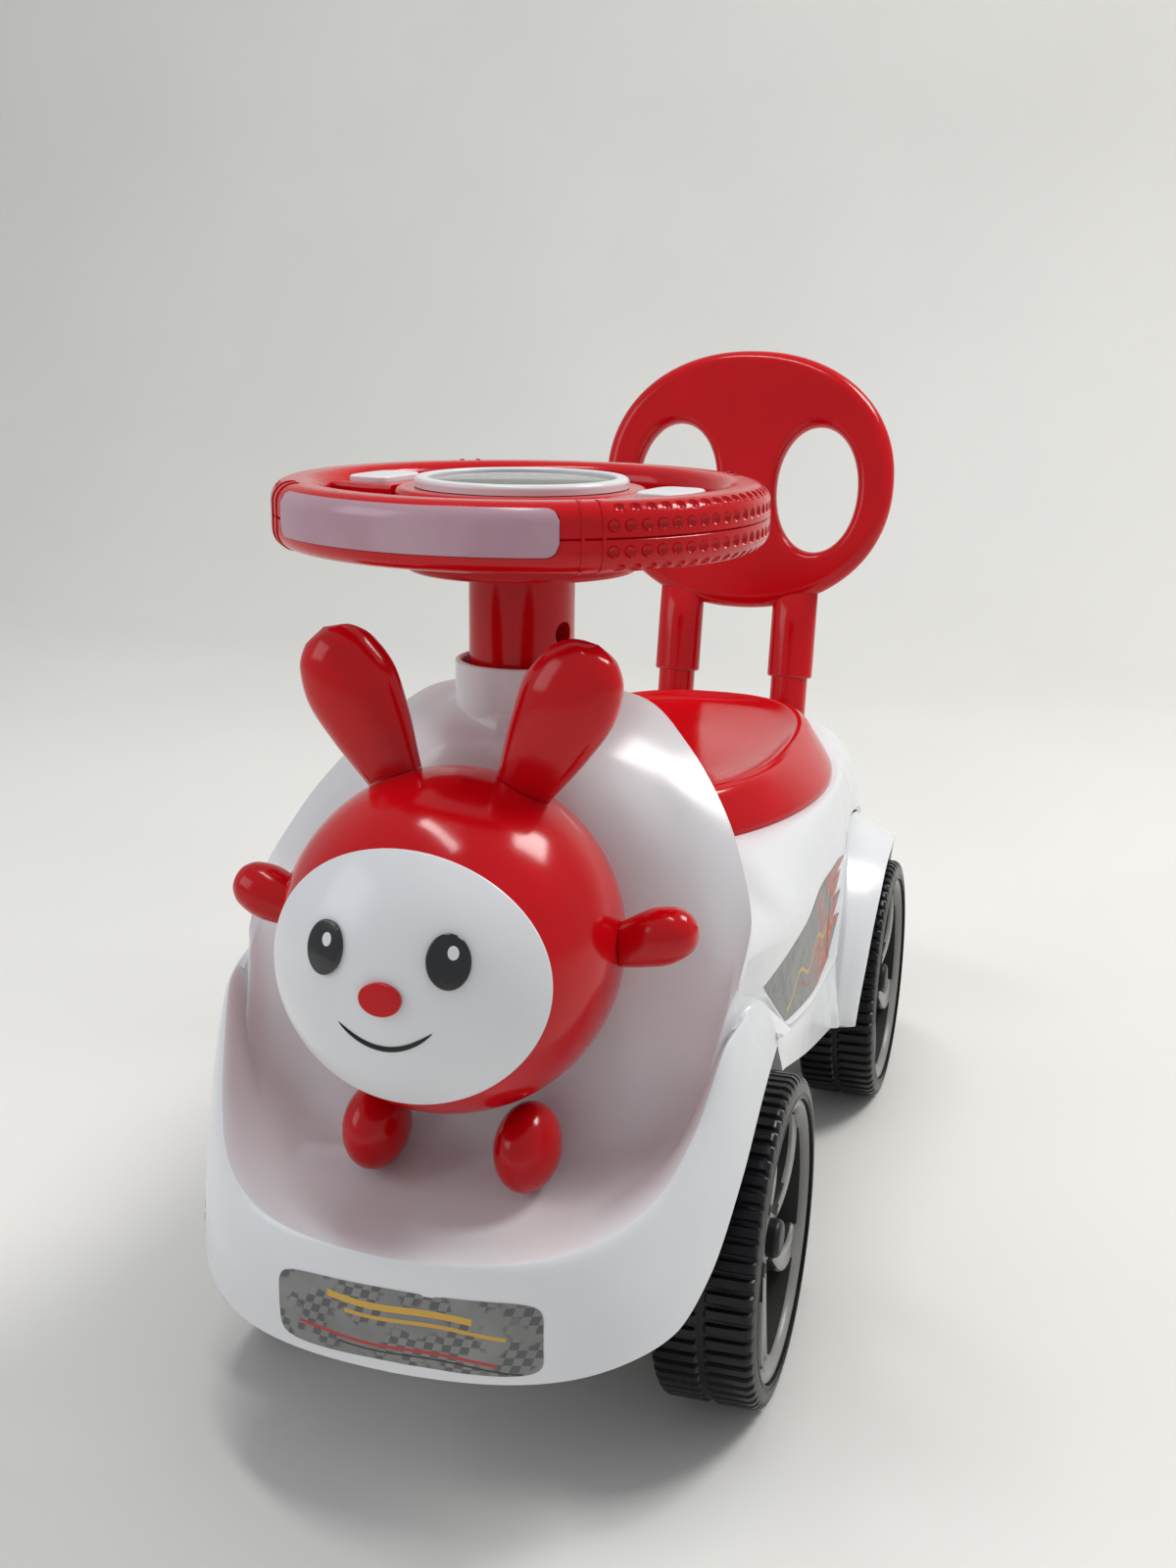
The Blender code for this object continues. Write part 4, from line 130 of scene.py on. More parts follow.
CREST_LINE = (
    (0.0, (0.0, -0.213, 0.323)), (0.25, (0.022, -0.211, 0.3225)), (0.5, (0.045, -0.199, 0.321)),
    (0.75, (0.064, -0.179, 0.3195)), (1.0, (0.079, -0.157, 0.318)),
)
TOP_LINE = (
    (0.0, (0.0, -0.205, 0.331)), (0.5, (0.03, -0.189, 0.335)), (1.0, (0.05, -0.143, 0.338)),
)
COLLAR_SEAM_LOW = 0.34
COLLAR_SEAM_HIGH = 0.3445
COLLAR_SEAM_SHARE = 0.98
SEAT_FRONT_Y = -0.065
SEAT_HALF_WIDTH = 0.104
SEAT_HALF_LENGTH = 0.165
SEAT_MIDDLE_Y = SEAT_FRONT_Y + SEAT_HALF_LENGTH
SEAT_BASE = 0.235
LID_HINGE_REACH = 0.006
LID_HINGE_RISE = 0.005
LID_HINGE_Y = SEAT_MIDDLE_Y + SEAT_HALF_LENGTH + LID_HINGE_REACH
LID_HINGE_Z = SEAT_BASE + LID_HINGE_RISE
BACK_FOOT_REACH = 0.0225
BACK_FOOT_RISE = 0.01
BACK_FOOT_Y = LID_HINGE_Y + BACK_FOOT_REACH
BACK_FOOT_Z = SEAT_BASE + BACK_FOOT_RISE
BODY_WALL = 0.0025
BODY_REAR_REACH = 0.0365
BODY_REAR = BACK_FOOT_Y + BODY_REAR_REACH
NECK_LEAN_TOP = 0.345
NECK_LEAN_RISE = 0.01
NECK_LEAN_BOTTOM = SEAT_BASE + NECK_LEAN_RISE
REAR_ROUND_LENGTH = 0.11
REAR_ROUND_START = BODY_REAR - REAR_ROUND_LENGTH
REAR_PLAN_ROUNDNESS = 2.6
REAR_TOP_ROUNDNESS = 8
SHOULDER_ROUNDNESS = 2.1
NECK_FLAT_HALF_WIDTH = 0.012
SHOULDER_LEAST_DROP = 0.02
SECTION_LEAST_STEP = 0.006
SIDE_BOW = 0.0005
SKIRT_BEND = 0.45

WELL_SIDE_GAP = 0.0045
STEERING_ROOM = 0.026
FRONT_WELL_RADIUS = 0.1015
REAR_WELL_RADIUS = 0.0995
REAR_WELL_X = WHEEL_OUTER_X - WHEEL_WIDTH - WELL_SIDE_GAP
FRONT_WELL_X = REAR_WELL_X - STEERING_ROOM
FLARE_CREASE_RADIUS = 0.115
FLARE_FADE = 0.05
ARCH_LAP = 0.004
FRONT_BELOW_LAP = 0.008
REAR_BELOW_LAP = 0.001
BELOW_FRONT_Y = -0.3
WELL_SIDE_ROOM = 0.023
WELL_REACH_X = WHEEL_OUTER_X + WELL_SIDE_ROOM
SPINE_BOTTOM = 0.1187
TAIL_BOTTOM = 0.095
TAIL_CREASE_RISE = 0.02
BODY_WIDEST_HEIGHTS = (
    (-0.14, 0.225), (-0.06, 0.205), (0.02, 0.192), (0.14, 0.195), (0.2, 0.206),
    (BODY_REAR, 0.195),
)
BODY_TOPS = (
    (-0.14, 0.337), (-0.12, 0.292), (-0.1, SEAT_BASE + 0.021), (-0.08, SEAT_BASE + 0.0035),
    (-0.066, SEAT_BASE), (BODY_REAR, SEAT_BASE),
)
BODY_LEANS = (
    (-0.14, 0.7), (-0.12, 0.55), (-0.08, 0.27), (-0.06, 0.14), (-0.04, 0.0),
)
SEAT_WALL = 0.0025
SEAT_MARGIN = 0.002
STORE_END_MARGIN = 0.047
STORE_HALF_WIDTH = 0.075
STORE_HALF_LENGTH = SEAT_HALF_LENGTH - STORE_END_MARGIN
STORE_FLOOR = 0.135
STORE_ROUNDNESS = 3.0
LID_PIN_RADIUS = 0.0022
LID_KNUCKLE_RADIUS = 0.0044
LID_KNUCKLE_HALF_WIDTH = 0.018
LID_LUG_WIDTH = 0.008
LID_TONGUE_HEIGHT = 0.004
LID_TONGUE_LAP = 0.007
LID_RINGS = (
    (0.988, 0.992, 0.0, 0.0, 2.0), (0.988, 0.992, 0.0, 0.0025, 2.0),
    (0.9, 0.93, -0.001, 0.0155, 2.15), (0.8, 0.872, 0.001, 0.0245, 2.45),
    (0.75, 0.843, 0.002, 0.0256, 2.5), (0.66, 0.778, 0.002, 0.021, 2.4),
    (0.4, 0.48, 0.0, 0.0158, 2.1),
)
LID_DISH_HEIGHT = 0.015
BACK_TILT = radians(11.5)
BACK_CENTRE_UP = 0.158
BACK_HALF_WIDTH = 0.105
BACK_HALF_HEIGHT = 0.0915
BACK_THICKNESS = 0.018
BACK_ROUNDNESS = 2.15
HAND_HOLE_X = 0.051
HAND_HOLE_HALF_WIDTH = 0.031
HAND_HOLE_HALF_HEIGHT = 0.046
POST_X = 0.0415
POST_RADIUS = 0.016
POST_DEPTH_SHARE = 0.85
PEG_RADIUS = 0.013
PEG_STEP_UP = 0.0185
PEG_END_DOWN = 0.04
SOCKET_REACH = 0.03
COLUMN_RADIUS = 0.0245
COLUMN_TOP = 0.4082
SHAFT_RADIUS = 0.006
BOLT_HEIGHT = 0.372
BOLT_TURN = radians(-9)
BOLT_RADIUS = 0.0025
BOLT_SEAT_RADIUS = 0.012
BOLT_HOLE_RADIUS = 0.0055
BUSH_HEIGHT = 0.005
WHEEL_TURN = radians(-10)
HANDWHEEL_RADIUS = 0.113
HANDWHEEL_INNER = 0.0905
HANDWHEEL_TOP = 0.441
HANDWHEEL_BOTTOM = 0.412
HANDWHEEL_SEAM = 0.4265
HUB_SHELL_RADIUS = 0.058
HUB_SHELL_WALL = 0.0045
HUB_TOP = 0.4372
HUB_ROOF = 0.434
HUB_ROOF_WALL = 0.002
HUB_FLOOR = 0.411
HUB_FLOOR_WALL = 0.0025
HUB_SHOULDER = 0.0032
ARM_HALF_WIDTH = 0.026
ARM_TOP = 0.4368
ARM_BOTTOM = 0.417
ARM_HUB_LAP = 0.001
ARM_RIM_LAP = 0.006
COVER_RADIUS = 0.0535
COVER_BOTTOM = 0.4
COVER_EDGE = 0.002
BUTTON_CENTRE_RADIUS = 0.0745
BUTTON_HALF_WIDTH = 0.0115
BUTTON_HALF_LENGTH = 0.0175
BUTTON_TOP = 0.4395
BUTTON_HEIGHT = 0.004
BUTTON_TRAVEL = 0.0012
BEZEL_RADIUS = 0.049
BEZEL_INNER = 0.043
BEZEL_TOP = 0.442
DIAL_THICKNESS = 0.001
LENS_BOTTOM = 0.4195
LENS_THICKNESS = 0.0022
LENS_PROUD = 0.0006
FIGURE_Y = -0.26
FIGURE_Z = 0.25
FIGURE_RADIUS = 0.0755
FIGURE_BACK_Y = -0.2348
FACE_THICKNESS = 0.0022
FACE_GAP = 0.001
FACE_HALF_ANGLES = (radians(52), radians(44))
FACE_LIFT = radians(2)
EYE_SIZE = radians(6.5)
EYE_TALLNESS = 1.25
EYE_TURN = radians(20)
EYE_LIFT = radians(13)
EYE_THICKNESS = 0.0012
NOSE_SIZE = radians(5)
NOSE_BREADTH = 1.3
NOSE_LIFT = radians(1)
EAR_LENGTH = 0.092
EAR_HALF_WIDTH = 0.0215
EAR_HALF_DEPTH = 0.0155
EAR_BASE = (0.02, -0.252, 0.3)
EAR_LEAN = radians(27)
PAW_LENGTH = 0.056
PAW_HALF_WIDTH = 0.0125
PAW_BASE = (0.055, -0.254, 0.246)
PAW_LEAN = radians(70)
FOOT_MIDDLE = (0.036, -0.264, 0.158)
FOOT_HALF_SIZES = (0.0145, 0.0215, 0.02)
FIGURE_SCREW_RADIUS = 0.002
HOOD_BACK_Y = -0.2175
SHAFT_STEPS = 48
WELL_STEPS = 128
LID_STEPS = 96
HUB_STEPS = 96
FLARE_X = 0.12
SILL_X = 0.1155
LENS_HALF_SPAN = radians(36.6)
LENS_BEND = radians(50)
BUTTON_ROUNDNESS = 4.2
HOLE_DROP = 0.0055
BODY_HALF_WIDTHS = (
    (-0.14, 0.1035), (-0.12, 0.108), (-0.1, 0.1105), (-0.06, 0.1145), (0.0, 0.116),
    (0.06, 0.1155), (0.1, 0.1135), (0.15, 0.11), (0.2, 0.1065), (0.26, 0.0985), (0.33, 0.09),
)
CREASE_REACHES = (
    (-0.14, 0.1035), (-0.11, 0.1092), (-0.085, 0.112), (-0.068, 0.1142), (-0.015, 0.1162),
    (0.053, 0.1145), (0.105, 0.114), (0.145, 0.11), (0.2, 0.1045), (0.27, 0.1045), (0.33, 0.1),
)
CREASE_HEIGHTS = (
    (-0.225, 0.205), (-0.11, 0.18), (-0.068, 0.149), (-0.015, 0.14), (0.053, 0.132),
    (0.08, 0.13),
)
SILL_HEIGHTS = ((-0.079, 0.128), (0.0, 0.106), (0.089, 0.086))
BAND_FACES = (
    (12.0, 0.104, 0.118), (50.0, 0.1045, 0.1265), (80.0, 0.1052, 0.1325), (100.0, 0.1082, 0.1345),
    (120.0, 0.113, 0.1345), (150.0, 0.1195, 0.1325), (170.0, 0.1188, 0.1295), (179.0, 0.118, 0.128),
)
SHOULDER_DEGREES = (8, 16, 24, 32, 40, 48, 56, 64, 72, 80, 90)
COWL_FINE_COLUMNS = 140
COWL_FINE_ROWS = 8
BODY_FINE_STATIONS = 110
SECTION_TOP_POINTS = 3
TURNING_BODIES = ("steering", "button_left_body", "button_right_body")
SIDES = ((-1, "left"), (1, "right"))
COLUMN_FOOT = (0.0, FRONT_AXLE_Y, 0.0)
LID_HINGE = (0.0, LID_HINGE_Y, LID_HINGE_Z)
FIGURE_MIDDLE = (0.0, FIGURE_Y, FIGURE_Z)
COLLAR_LIP = 0.0012
TAB_START = 0.9
TAB_REACH = 0.1
TAB_COLUMNS = 8
TAB_TIP_STEPS = 20
TAB_THICKNESS = 0.0028
APRON_CORNER = (0.1338, -0.203, 0.198)
TAB_TIP = (0.1343, -0.168, 0.1886)
TAB_OUTWARDS = (0.86, 0.06, 0.5)
TAB_LIFTS = ((0.9, -0.0012), (0.94, 0.0001), (1.0, 0.0005))
BODY_FRONT = -0.14
BODY_END_GAP = 0.0035
BODY_END_LENGTH = 0.03
HOLLOW_DROP = 0.03
BAND_STEPS = 96
BAND_LAP = 0.0038
BAND_REACH = 0.0112
BAND_ENDS = (14.0, 178.5)
BAND_END_DEGREES = 3.5
BAND_END_NIP = 0.006
CREASE_BEAD = 0.0012
CREASE_BEAD_PROFILE = ((0.0016, 0.35), (0.0006, 1.0), (-0.0006, 0.8), (-0.0018, -0.5), (-0.0034, -0.9))
DECK_FLATS = ((0.2, 0.078), (0.26, 0.072), (0.33, 0.062))
POST_DEPTHS = ((0.056, 0.0136), (0.066, 0.0125), (0.075, 0.0092), (0.083, 0.006))
POST_RISES = (0.03, 0.045, 0.056, 0.062, 0.068, 0.073, 0.078, 0.083)
POST_EDGE = 0.0012
HOLE_NIP = 0.002
HOLE_ROUNDNESS = 2.05
BEZEL_EDGES = (0.0022, 0.0012)
GRIP_TURNS = (-48.5, -44.0, 44.0, 48.5, 131.5, 136.0, 224.0, 228.5)
RIM_CORNER = 0.0085
LENS_CORNER = 0.0058
ARM_EDGE = 0.0022
DIMPLE_SLANT = 48.0
DIMPLES_IN_ROW = 22
DIMPLE_RISE = 0.0013
DIMPLE_RADIUS = 0.0031
BUTTON_INSETS = ((0, 0), (0, 0.003), (0.0002, 0.0034), (0.0007, 0.0038), (0.0016, 0.004), (0.006, 0.004))
TREAD_BLOCKS = 64
TREAD_DEPTH = 0.0022
TREAD_GROOVE = (0.0, 0.0, 0.0, 0.0, 0.0, 0.85, 1.0, 0.85)
# Place across the tread, radius below full, share of the groove's depth there, and which row of bars it is in
TREAD_ACROSS = (
    (0.0, 0.0068, 0.0, 0), (0.0006, 0.0052, 0.0, 0), (0.0006, 0.004, 0.25, 0), (0.0012, 0.0022, 0.6, 0),
    (0.0024, 0.0008, 1.0, 0), (0.0042, 0.0, 1.0, 0), (0.012, 0.0, 1.0, 0), (0.0212, 0.0, 1.0, 0),
    (0.0222, 0.0005, 0.5, 0), (0.023, 0.0014, 0.0, 0), (0.026, 0.0014, 0.0, 0), (0.0268, 0.0005, 0.5, 1),
    (0.0278, 0.0, 1.0, 1), (0.037, 0.0, 1.0, 1), (0.0448, 0.0, 1.0, 1), (0.0466, 0.0008, 1.0, 1),
    (0.0478, 0.0022, 0.6, 1), (0.0484, 0.004, 0.25, 1), (0.0484, 0.0052, 0.0, 1), (0.049, 0.0068, 0.0, 1),
)
TYRE_WALL = ((0.049, 0.0086), (0.0482, 0.0092), (0.0482, 0.0102), (0.0489, 0.0108))
SPOKE_DEPTH = 0.012
CAP_EDGE = 0.003
LIMB_SIZES = (
    (0.0, 0.0), (0.04, 0.4), (0.25, 0.62), (0.5, 0.88), (0.7, 1.0), (0.86, 0.86), (0.96, 0.52), (1.0, 0.0)
)
SMILE_DEGREES = 15
SMILE_LIFT = radians(-15.5)
SMILE_CURVE = radians(6.5)
SMILE_THICKNESS = 0.0011
SMILE_TIP = 0.0002
FRONT_LABEL_HALF_WIDTH = 0.0585
FRONT_LABEL_HALF_HEIGHT = 0.0176
FRONT_LABEL_X = 0.0065
FRONT_LABEL_Z = 0.1055
FRONT_RAY_Y = -0.45
RAY_START = 0.3
LEAST_LENGTH = 1e-7
LABEL_LIFT = 0.00025
LABEL_STEP = 0.00004
SIDE_LABEL_MIDDLE = 0.17
# Lower and upper edge of each sheet of a side label, as (share, (y, z))
SIDE_LABEL_EDGES = (
    (
        ((0.0, (-0.072, 0.1525)), (0.3, (-0.0315, 0.1465)), (0.72, (0.03, 0.1395)), (1.0, (0.066, 0.14))),
        (
            (0.0, (-0.112, 0.186)), (0.2, (-0.076, 0.19)), (0.5, (-0.028, 0.192)), (0.8, (0.025, 0.2)),
            (1.0, (0.066, 0.193)),
        ),
    ),
    (
        ((0.0, (0.04, 0.186)), (0.5, (0.08, 0.189)), (1.0, (0.132, 0.1853))),
        ((0.0, (0.032, 0.2)), (0.5, (0.078, 0.1965)), (1.0, (0.132, 0.1855))),
    ),
    (
        ((0.0, (0.056, 0.171)), (0.5, (0.08, 0.177)), (1.0, (0.104, 0.1843))),
        ((0.0, (0.056, 0.188)), (0.5, (0.079, 0.1875)), (1.0, (0.104, 0.1845))),
    ),
    (
        ((0.0, (0.056, 0.158)), (0.5, (0.082, 0.164)), (1.0, (0.109, 0.1698))),
        ((0.0, (0.056, 0.1745)), (0.5, (0.081, 0.174)), (1.0, (0.109, 0.17))),
    ),
    (
        ((0.0, (0.056, 0.141)), (0.5, (0.08, 0.149)), (1.0, (0.104, 0.1558))),
        ((0.0, (0.056, 0.162)), (0.5, (0.079, 0.161)), (1.0, (0.104, 0.156))),
    ),
)
# Low and high level, start and end along the sheet, and colour of each streak
FRONT_STREAKS = (
    (0.0075, 0.0105, -0.034, 0.03, (0.62, 0.36, 0.05)),
    (0.003, 0.0048, -0.026, 0.044, (0.58, 0.33, 0.05)),
    (-0.0105, -0.0088, -0.048, 0.04, (0.42, 0.035, 0.03)),
    (-0.0132, -0.0122, -0.03, 0.05, (0.03, 0.03, 0.03)),
)
SIDE_STREAKS = (
    (-0.005, -0.0026, -0.07, 0.05, (0.5, 0.33, 0.06)),
    (-0.0125, -0.0112, -0.04, 0.06, (0.42, 0.04, 0.03)),
)
BEND_START = 1.6
BEND_RADIUS = 0.9
CAMERA_TURNS = (radians(16.88), radians(14.84), radians(0.7))
CAMERA_PLACE = (0.2663, -0.9385, 0.5126)
FOCAL_LENGTH = 40.57


axle_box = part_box("tyre_front_left")
SHIFT_Y = (axle_box[0].y + axle_box[1].y) / 2 - FRONT_AXLE_Y
TO_ROW = Matrix.Translation((0.0, SHIFT_Y, 0.0))
WHEEL_TURNED = Matrix.Translation((0.0, FRONT_AXLE_Y, 0.0)) @ Matrix.Rotation(WHEEL_TURN, 4, "Z")
WHEEL_TURNED @= Matrix.Translation((0.0, -FRONT_AXLE_Y, 0.0))


def along(keys, at):
    """Smooth value at a place among keys, which never overshoots them. A value is a number or a tuple."""
    if isinstance(keys[0][1], tuple):
        parts = range(len(keys[0][1]))
        return tuple(along([(key[0], key[1][part]) for key in keys], at) for part in parts)
    places = [key[0] for key in keys]
    values = [key[1] for key in keys]
    if at <= places[0]:
        return values[0]
    if at >= places[-1]:
        return values[-1]
    i = bisect_right(places, at) - 1
    rises = [(v2 - v1) / (p2 - p1) for p1, p2, v1, v2 in zip(places, places[1:], values, values[1:])]

    def slope(k):
        if k == 0 or k == len(keys) - 1:
            return rises[min(k, len(rises) - 1)]
        before, after = rises[k - 1], rises[k]
        return 0.0 if before * after <= 0 else 2 * before * after / (before + after)

    width = places[i + 1] - places[i]
    t = (at - places[i]) / width
    first = values[i] * (2 * t**3 - 3 * t**2 + 1) + slope(i) * width * (t**3 - 2 * t**2 + t)
    second = values[i + 1] * (3 * t**2 - 2 * t**3) + slope(i + 1) * width * (t**3 - t**2)
    return first + second


def signed_power(value, power):
    return abs(value) ** power * (1 if value >= 0 else -1)


def oval_ring(half_width, half_length, roundness, steps):
    """Points (x, y) round a superellipse."""
    turns = [2 * pi * i / steps for i in range(steps)]
    return [
        (
            half_width * signed_power(cos(t), 2 / roundness),
            half_length * signed_power(sin(t), 2 / roundness),
        )
        for t in turns
    ]


def finished(bm, name, even_normals=True):
    if even_normals:
        bmesh.ops.recalc_face_normals(bm, faces=bm.faces)
    mesh = bpy.data.meshes.new(name)
    bm.to_mesh(mesh)
    bm.free()
    return mesh


def bridged(bm, low, high, closed=True):
    """Faces between two rows of vertices. A row of one vertex closes to a tip."""
    count = max(len(low), len(high))
    for i in range(count if closed else count - 1):
        j = (i + 1) % count
        corners = [low[i % len(low)], low[j % len(low)], high[j % len(high)], high[i % len(high)]]
        kept = list(dict.fromkeys(corners))
        if len(kept) > 2:
            bm.faces.new(kept)


def skinned(name, rings, closed=True, flat_points=0):
    """Closed mesh over rings of points, with end faces. A ring of one point closes to a tip.

    With flat points, an end isn't flat as a whole: it is filled in strips from side to side of a ring that is
    alike left and right, below a first face that takes in this many points to each side of the ring's middle.
    """
    bm = bmesh.new()
    rows = [[bm.verts.new(point) for point in ring] for ring in rings]
    for low, high in zip(rows, rows[1:]):
        bridged(bm, low, high, closed)
    for row in (rows[0], rows[-1]) if closed else ():
        middle = len(row) // 2
        if flat_points:
            bm.faces.new(row[middle - flat_points:middle + flat_points + 1])
            for i in range(flat_points, middle):
                corners = (middle - i - 1, middle - i, middle + i, middle + i + 1)
                bm.faces.new([row[corner] for corner in corners])
        elif len(row) > 2:
            bm.faces.new(row)
    return finished(bm, name)


def on_axis(axis, radius, reach, turn):
    """Point at a radius and turn round an axis, and a reach along it."""
    across, up = radius * cos(turn), radius * sin(turn)
    return {"X": (reach, across, up), "Y": (up, reach, across), "Z": (across, up, reach)}[axis]


def turned(name, profile, axis, centre=(0.0, 0.0, 0.0), steps=SHAFT_STEPS, start=0.0):
    """Solid of revolution. A profile of (radius, reach) that doesn't start on the axis is a closed loop."""
    bm = bmesh.new()
    turns = [start + 2 * pi * i / steps for i in range(steps)]
    rows = []
    for radius, reach in profile:
        around = turns if radius > 0 else [0.0]
        rows.append([bm.verts.new(Vector(on_axis(axis, radius, reach, t)) + Vector(centre)) for t in around])
    if profile[0][0] > 0:
        rows.append(rows[0])
    for low, high in zip(rows, rows[1:]):
        bridged(bm, low, high)
    return finished(bm, name)


def rod(name, radius, start, end, axis, centre=(0.0, 0.0, 0.0), steps=SHAFT_STEPS):
    return turned(name, [(0, start), (radius, start), (radius, end), (0, end)], axis, centre, steps)


def extruded(name, outline, bottom, top):
    """Upright prism over an outline of (x, y) points."""
    return skinned(name, [[(x, y, z) for x, y in outline] for z in (bottom, top)])


def block(name, low, high):
    outline = [(low[0], low[1]), (high[0], low[1]), (high[0], high[1]), (low[0], high[1])]
    return extruded(name, outline, low[2], high[2])


def merged(name, meshes, even_normals=True):
    """One mesh that holds several apart meshes."""
    bm = bmesh.new()
    for mesh in meshes:
        bm.from_mesh(mesh)
        bpy.data.meshes.remove(mesh)
    return finished(bm, name, even_normals)


def mirrored(half):
    """Ring from its half, which starts on the middle plane."""
    return [(-x, y, z) for x, y, z in reversed(half[1:])] + half


def nose_curve(half_width, reach, roundness, angle, height):
    """Point of a rounded line round the car's nose, at an angle from straight ahead."""
    across, ahead = sin(radians(angle)), cos(radians(angle))
    return (
        half_width * across ** (2 / roundness),
        FRONT_AXLE_Y - reach * ahead ** (2 / roundness),
        height,
    )


def cowl_lines(u):
    """The cowl's lines from the apron's edge to the collar, at a share u of the way to its rear edge."""
    edge_angle, ridge_angle = APRON_END_ANGLE * u, RIDGE_END_ANGLE * u
    edge_height = along(APRON_EDGE_HEIGHTS, edge_angle)
    edge = nose_curve(APRON_HALF_WIDTH, APRON_REACH, APRON_ROUNDNESS, edge_angle, edge_height)
    ridge_height = along(RIDGE_HEIGHTS, ridge_angle)
    ridge = nose_curve(RIDGE_HALF_WIDTH, RIDGE_REACH, RIDGE_ROUNDNESS, ridge_angle, ridge_height)
    bulge = APRON_BULGE * (1 - u**4)
    middle_angle = radians((edge_angle + ridge_angle) / 2)
    middle = (
        (edge[0] + ridge[0]) / 2 + bulge * sin(middle_angle),
        (edge[1] + ridge[1]) / 2 - bulge * cos(middle_angle),
        (edge[2] + ridge[2]) / 2,
    )
    seam_radius = COLLAR_RADIUS - COWL_WALL / 3
    seam_turn = pi * COLLAR_SEAM_SHARE * u
    seam = (
        seam_radius * sin(seam_turn),
        FRONT_AXLE_Y - seam_radius * cos(seam_turn),
        COLLAR_SEAM_LOW + (COLLAR_SEAM_HIGH - COLLAR_SEAM_LOW) * u,
    )
    lines = (VALLEY_LINE, FOOT_LINE, FACE_LINE, BROW_LINE, CREST_LINE, TOP_LINE)
    drawn = [along(line, u) for line in lines]
    return [edge, middle, ridge, *drawn, seam]


def well_top(y, axle_y, radius):
    """Height of a wheel arch over a place along the car, or nothing beside the arch."""
    span = radius**2 - (y - axle_y) ** 2
    return AXLE_HEIGHT + sqrt(span) if span > 0 else None


def inset_outline(points, inset):
    """Half outline moved inwards by a wall, with its first point kept on the middle plane."""
    moved = []
    for i, (x, z) in enumerate(points):
        x1, z1 = points[max(i - 1, 0)]
        x2, z2 = points[min(i + 1, len(points) - 1)]
        run, fall = x2 - x1, z1 - z2
        length = sqrt(run**2 + fall**2)
        moved.append((max(0.0, x - inset * fall / length), z - inset * run / length))
    moved[0] = (0.0, points[0][1] - inset)
    return moved


def arch_wells(name, grow):
    """Four drums that clear the wheels, or the drums with a wall round them."""
    drums = []
    for side in (-1, 1):
        for axle_y, radius, inner_x in (
            (FRONT_AXLE_Y, FRONT_WELL_RADIUS, FRONT_WELL_X),
            (REAR_AXLE_Y, REAR_WELL_RADIUS, REAR_WELL_X),
        ):
            ends = sorted((side * (inner_x - grow), side * WELL_REACH_X))
            centre = (0.0, axle_y, AXLE_HEIGHT)
            drums.append(rod("drum", radius + grow, ends[0], ends[1], "X", centre, WELL_STEPS))
    return merged(name, drums)


def store_solid(name, grow):
    ring = oval_ring(STORE_HALF_WIDTH + grow, STORE_HALF_LENGTH + grow, STORE_ROUNDNESS, LID_STEPS)
    outline = [(x, y + SEAT_MIDDLE_Y) for x, y in ring]
    return extruded(name, outline, STORE_FLOOR - grow, SEAT_BASE + CUTTER_MARGIN)


def sector(name, profile, centre_turn, half_span, centre, steps):
    """Part of a ring: a closed profile of (radius, height) swept over an angle about Z."""
    rings = []
    for i in range(steps + 1):
        turn = centre_turn + half_span * (2 * i / steps - 1)
        rings.append([(centre[0] + r * cos(turn), centre[1] + r * sin(turn), z) for r, z in profile])
    return skinned(name, rings)


def ball_patch(name, low_radius, high_radius, turn, lift, half_angles, steps=20, rows=4):
    """Solid patch that lies on the figure's ball: an oval between two radii, about a direction."""
    aim = Matrix.Rotation(turn, 4, "Z") @ Matrix.Rotation(-lift, 4, "X")
    aim = Matrix.Translation((0.0, FIGURE_Y, FIGURE_Z)) @ aim

    def ring(radius, share):
        points = []
        for i in range(steps):
            around = 2 * pi * i / steps
            across = sin(half_angles[0] * share) * cos(around)
            up = sin(half_angles[1] * share) * sin(around)
            ahead = sqrt(1 - across**2 - up**2)
            points.append(aim @ Vector((across * radius, -ahead * radius, up * radius)))
        return points

    shares = [(i + 1) / rows for i in range(rows)]
    low = [ring(low_radius, share) for share in reversed(shares)]
    high = [ring(high_radius, share) for share in shares]
    low_middle = [aim @ Vector((0.0, -low_radius, 0.0))]
    high_middle = [aim @ Vector((0.0, -high_radius, 0.0))]
    rings = [high_middle, *high, *low, low_middle]
    return skinned(name, rings)


def dressed(
    name, mesh, finish, body="chassis", replaced=(), smooth=38, bevel=0.0, segments=3, second=None
):
    """Piece of the car on its body. Edges past an angle in degrees stay sharp or get a bevel.

    The finish is a material and a slot's name, which is not used. A second material takes the faces that are
    marked for it.
    """
    material, slot = finish
    shares = [polygon.material_index for polygon in mesh.polygons]
    if body in TURNING_BODIES:
        mesh.transform(WHEEL_TURNED)
    mesh.transform(TO_ROW)
    obj = bpy.data.objects.new(name, mesh)
    bpy.context.scene.collection.objects.link(obj)
    mesh.materials.clear()
    mesh.materials.append(material)
    if second:
        mesh.materials.append(second)
        mesh.polygons.foreach_set("material_index", shares)
    mesh.shade_smooth()
    mesh.set_sharp_from_angle(angle=radians(smooth))
    if bevel:
        rounding = obj.modifiers.new("rounding", "BEVEL")
        rounding.width = bevel
        rounding.segments = segments
        rounding.limit_method = "ANGLE"
        rounding.angle_limit = radians(40)
        rounding.use_clamp_overlap = True
        rounding.harden_normals = True
    else:
        evening = obj.modifiers.new("evening", "WEIGHTED_NORMAL")
        evening.keep_sharp = True
    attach(obj, body)
    if replaced:
        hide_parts(*replaced)
    return obj


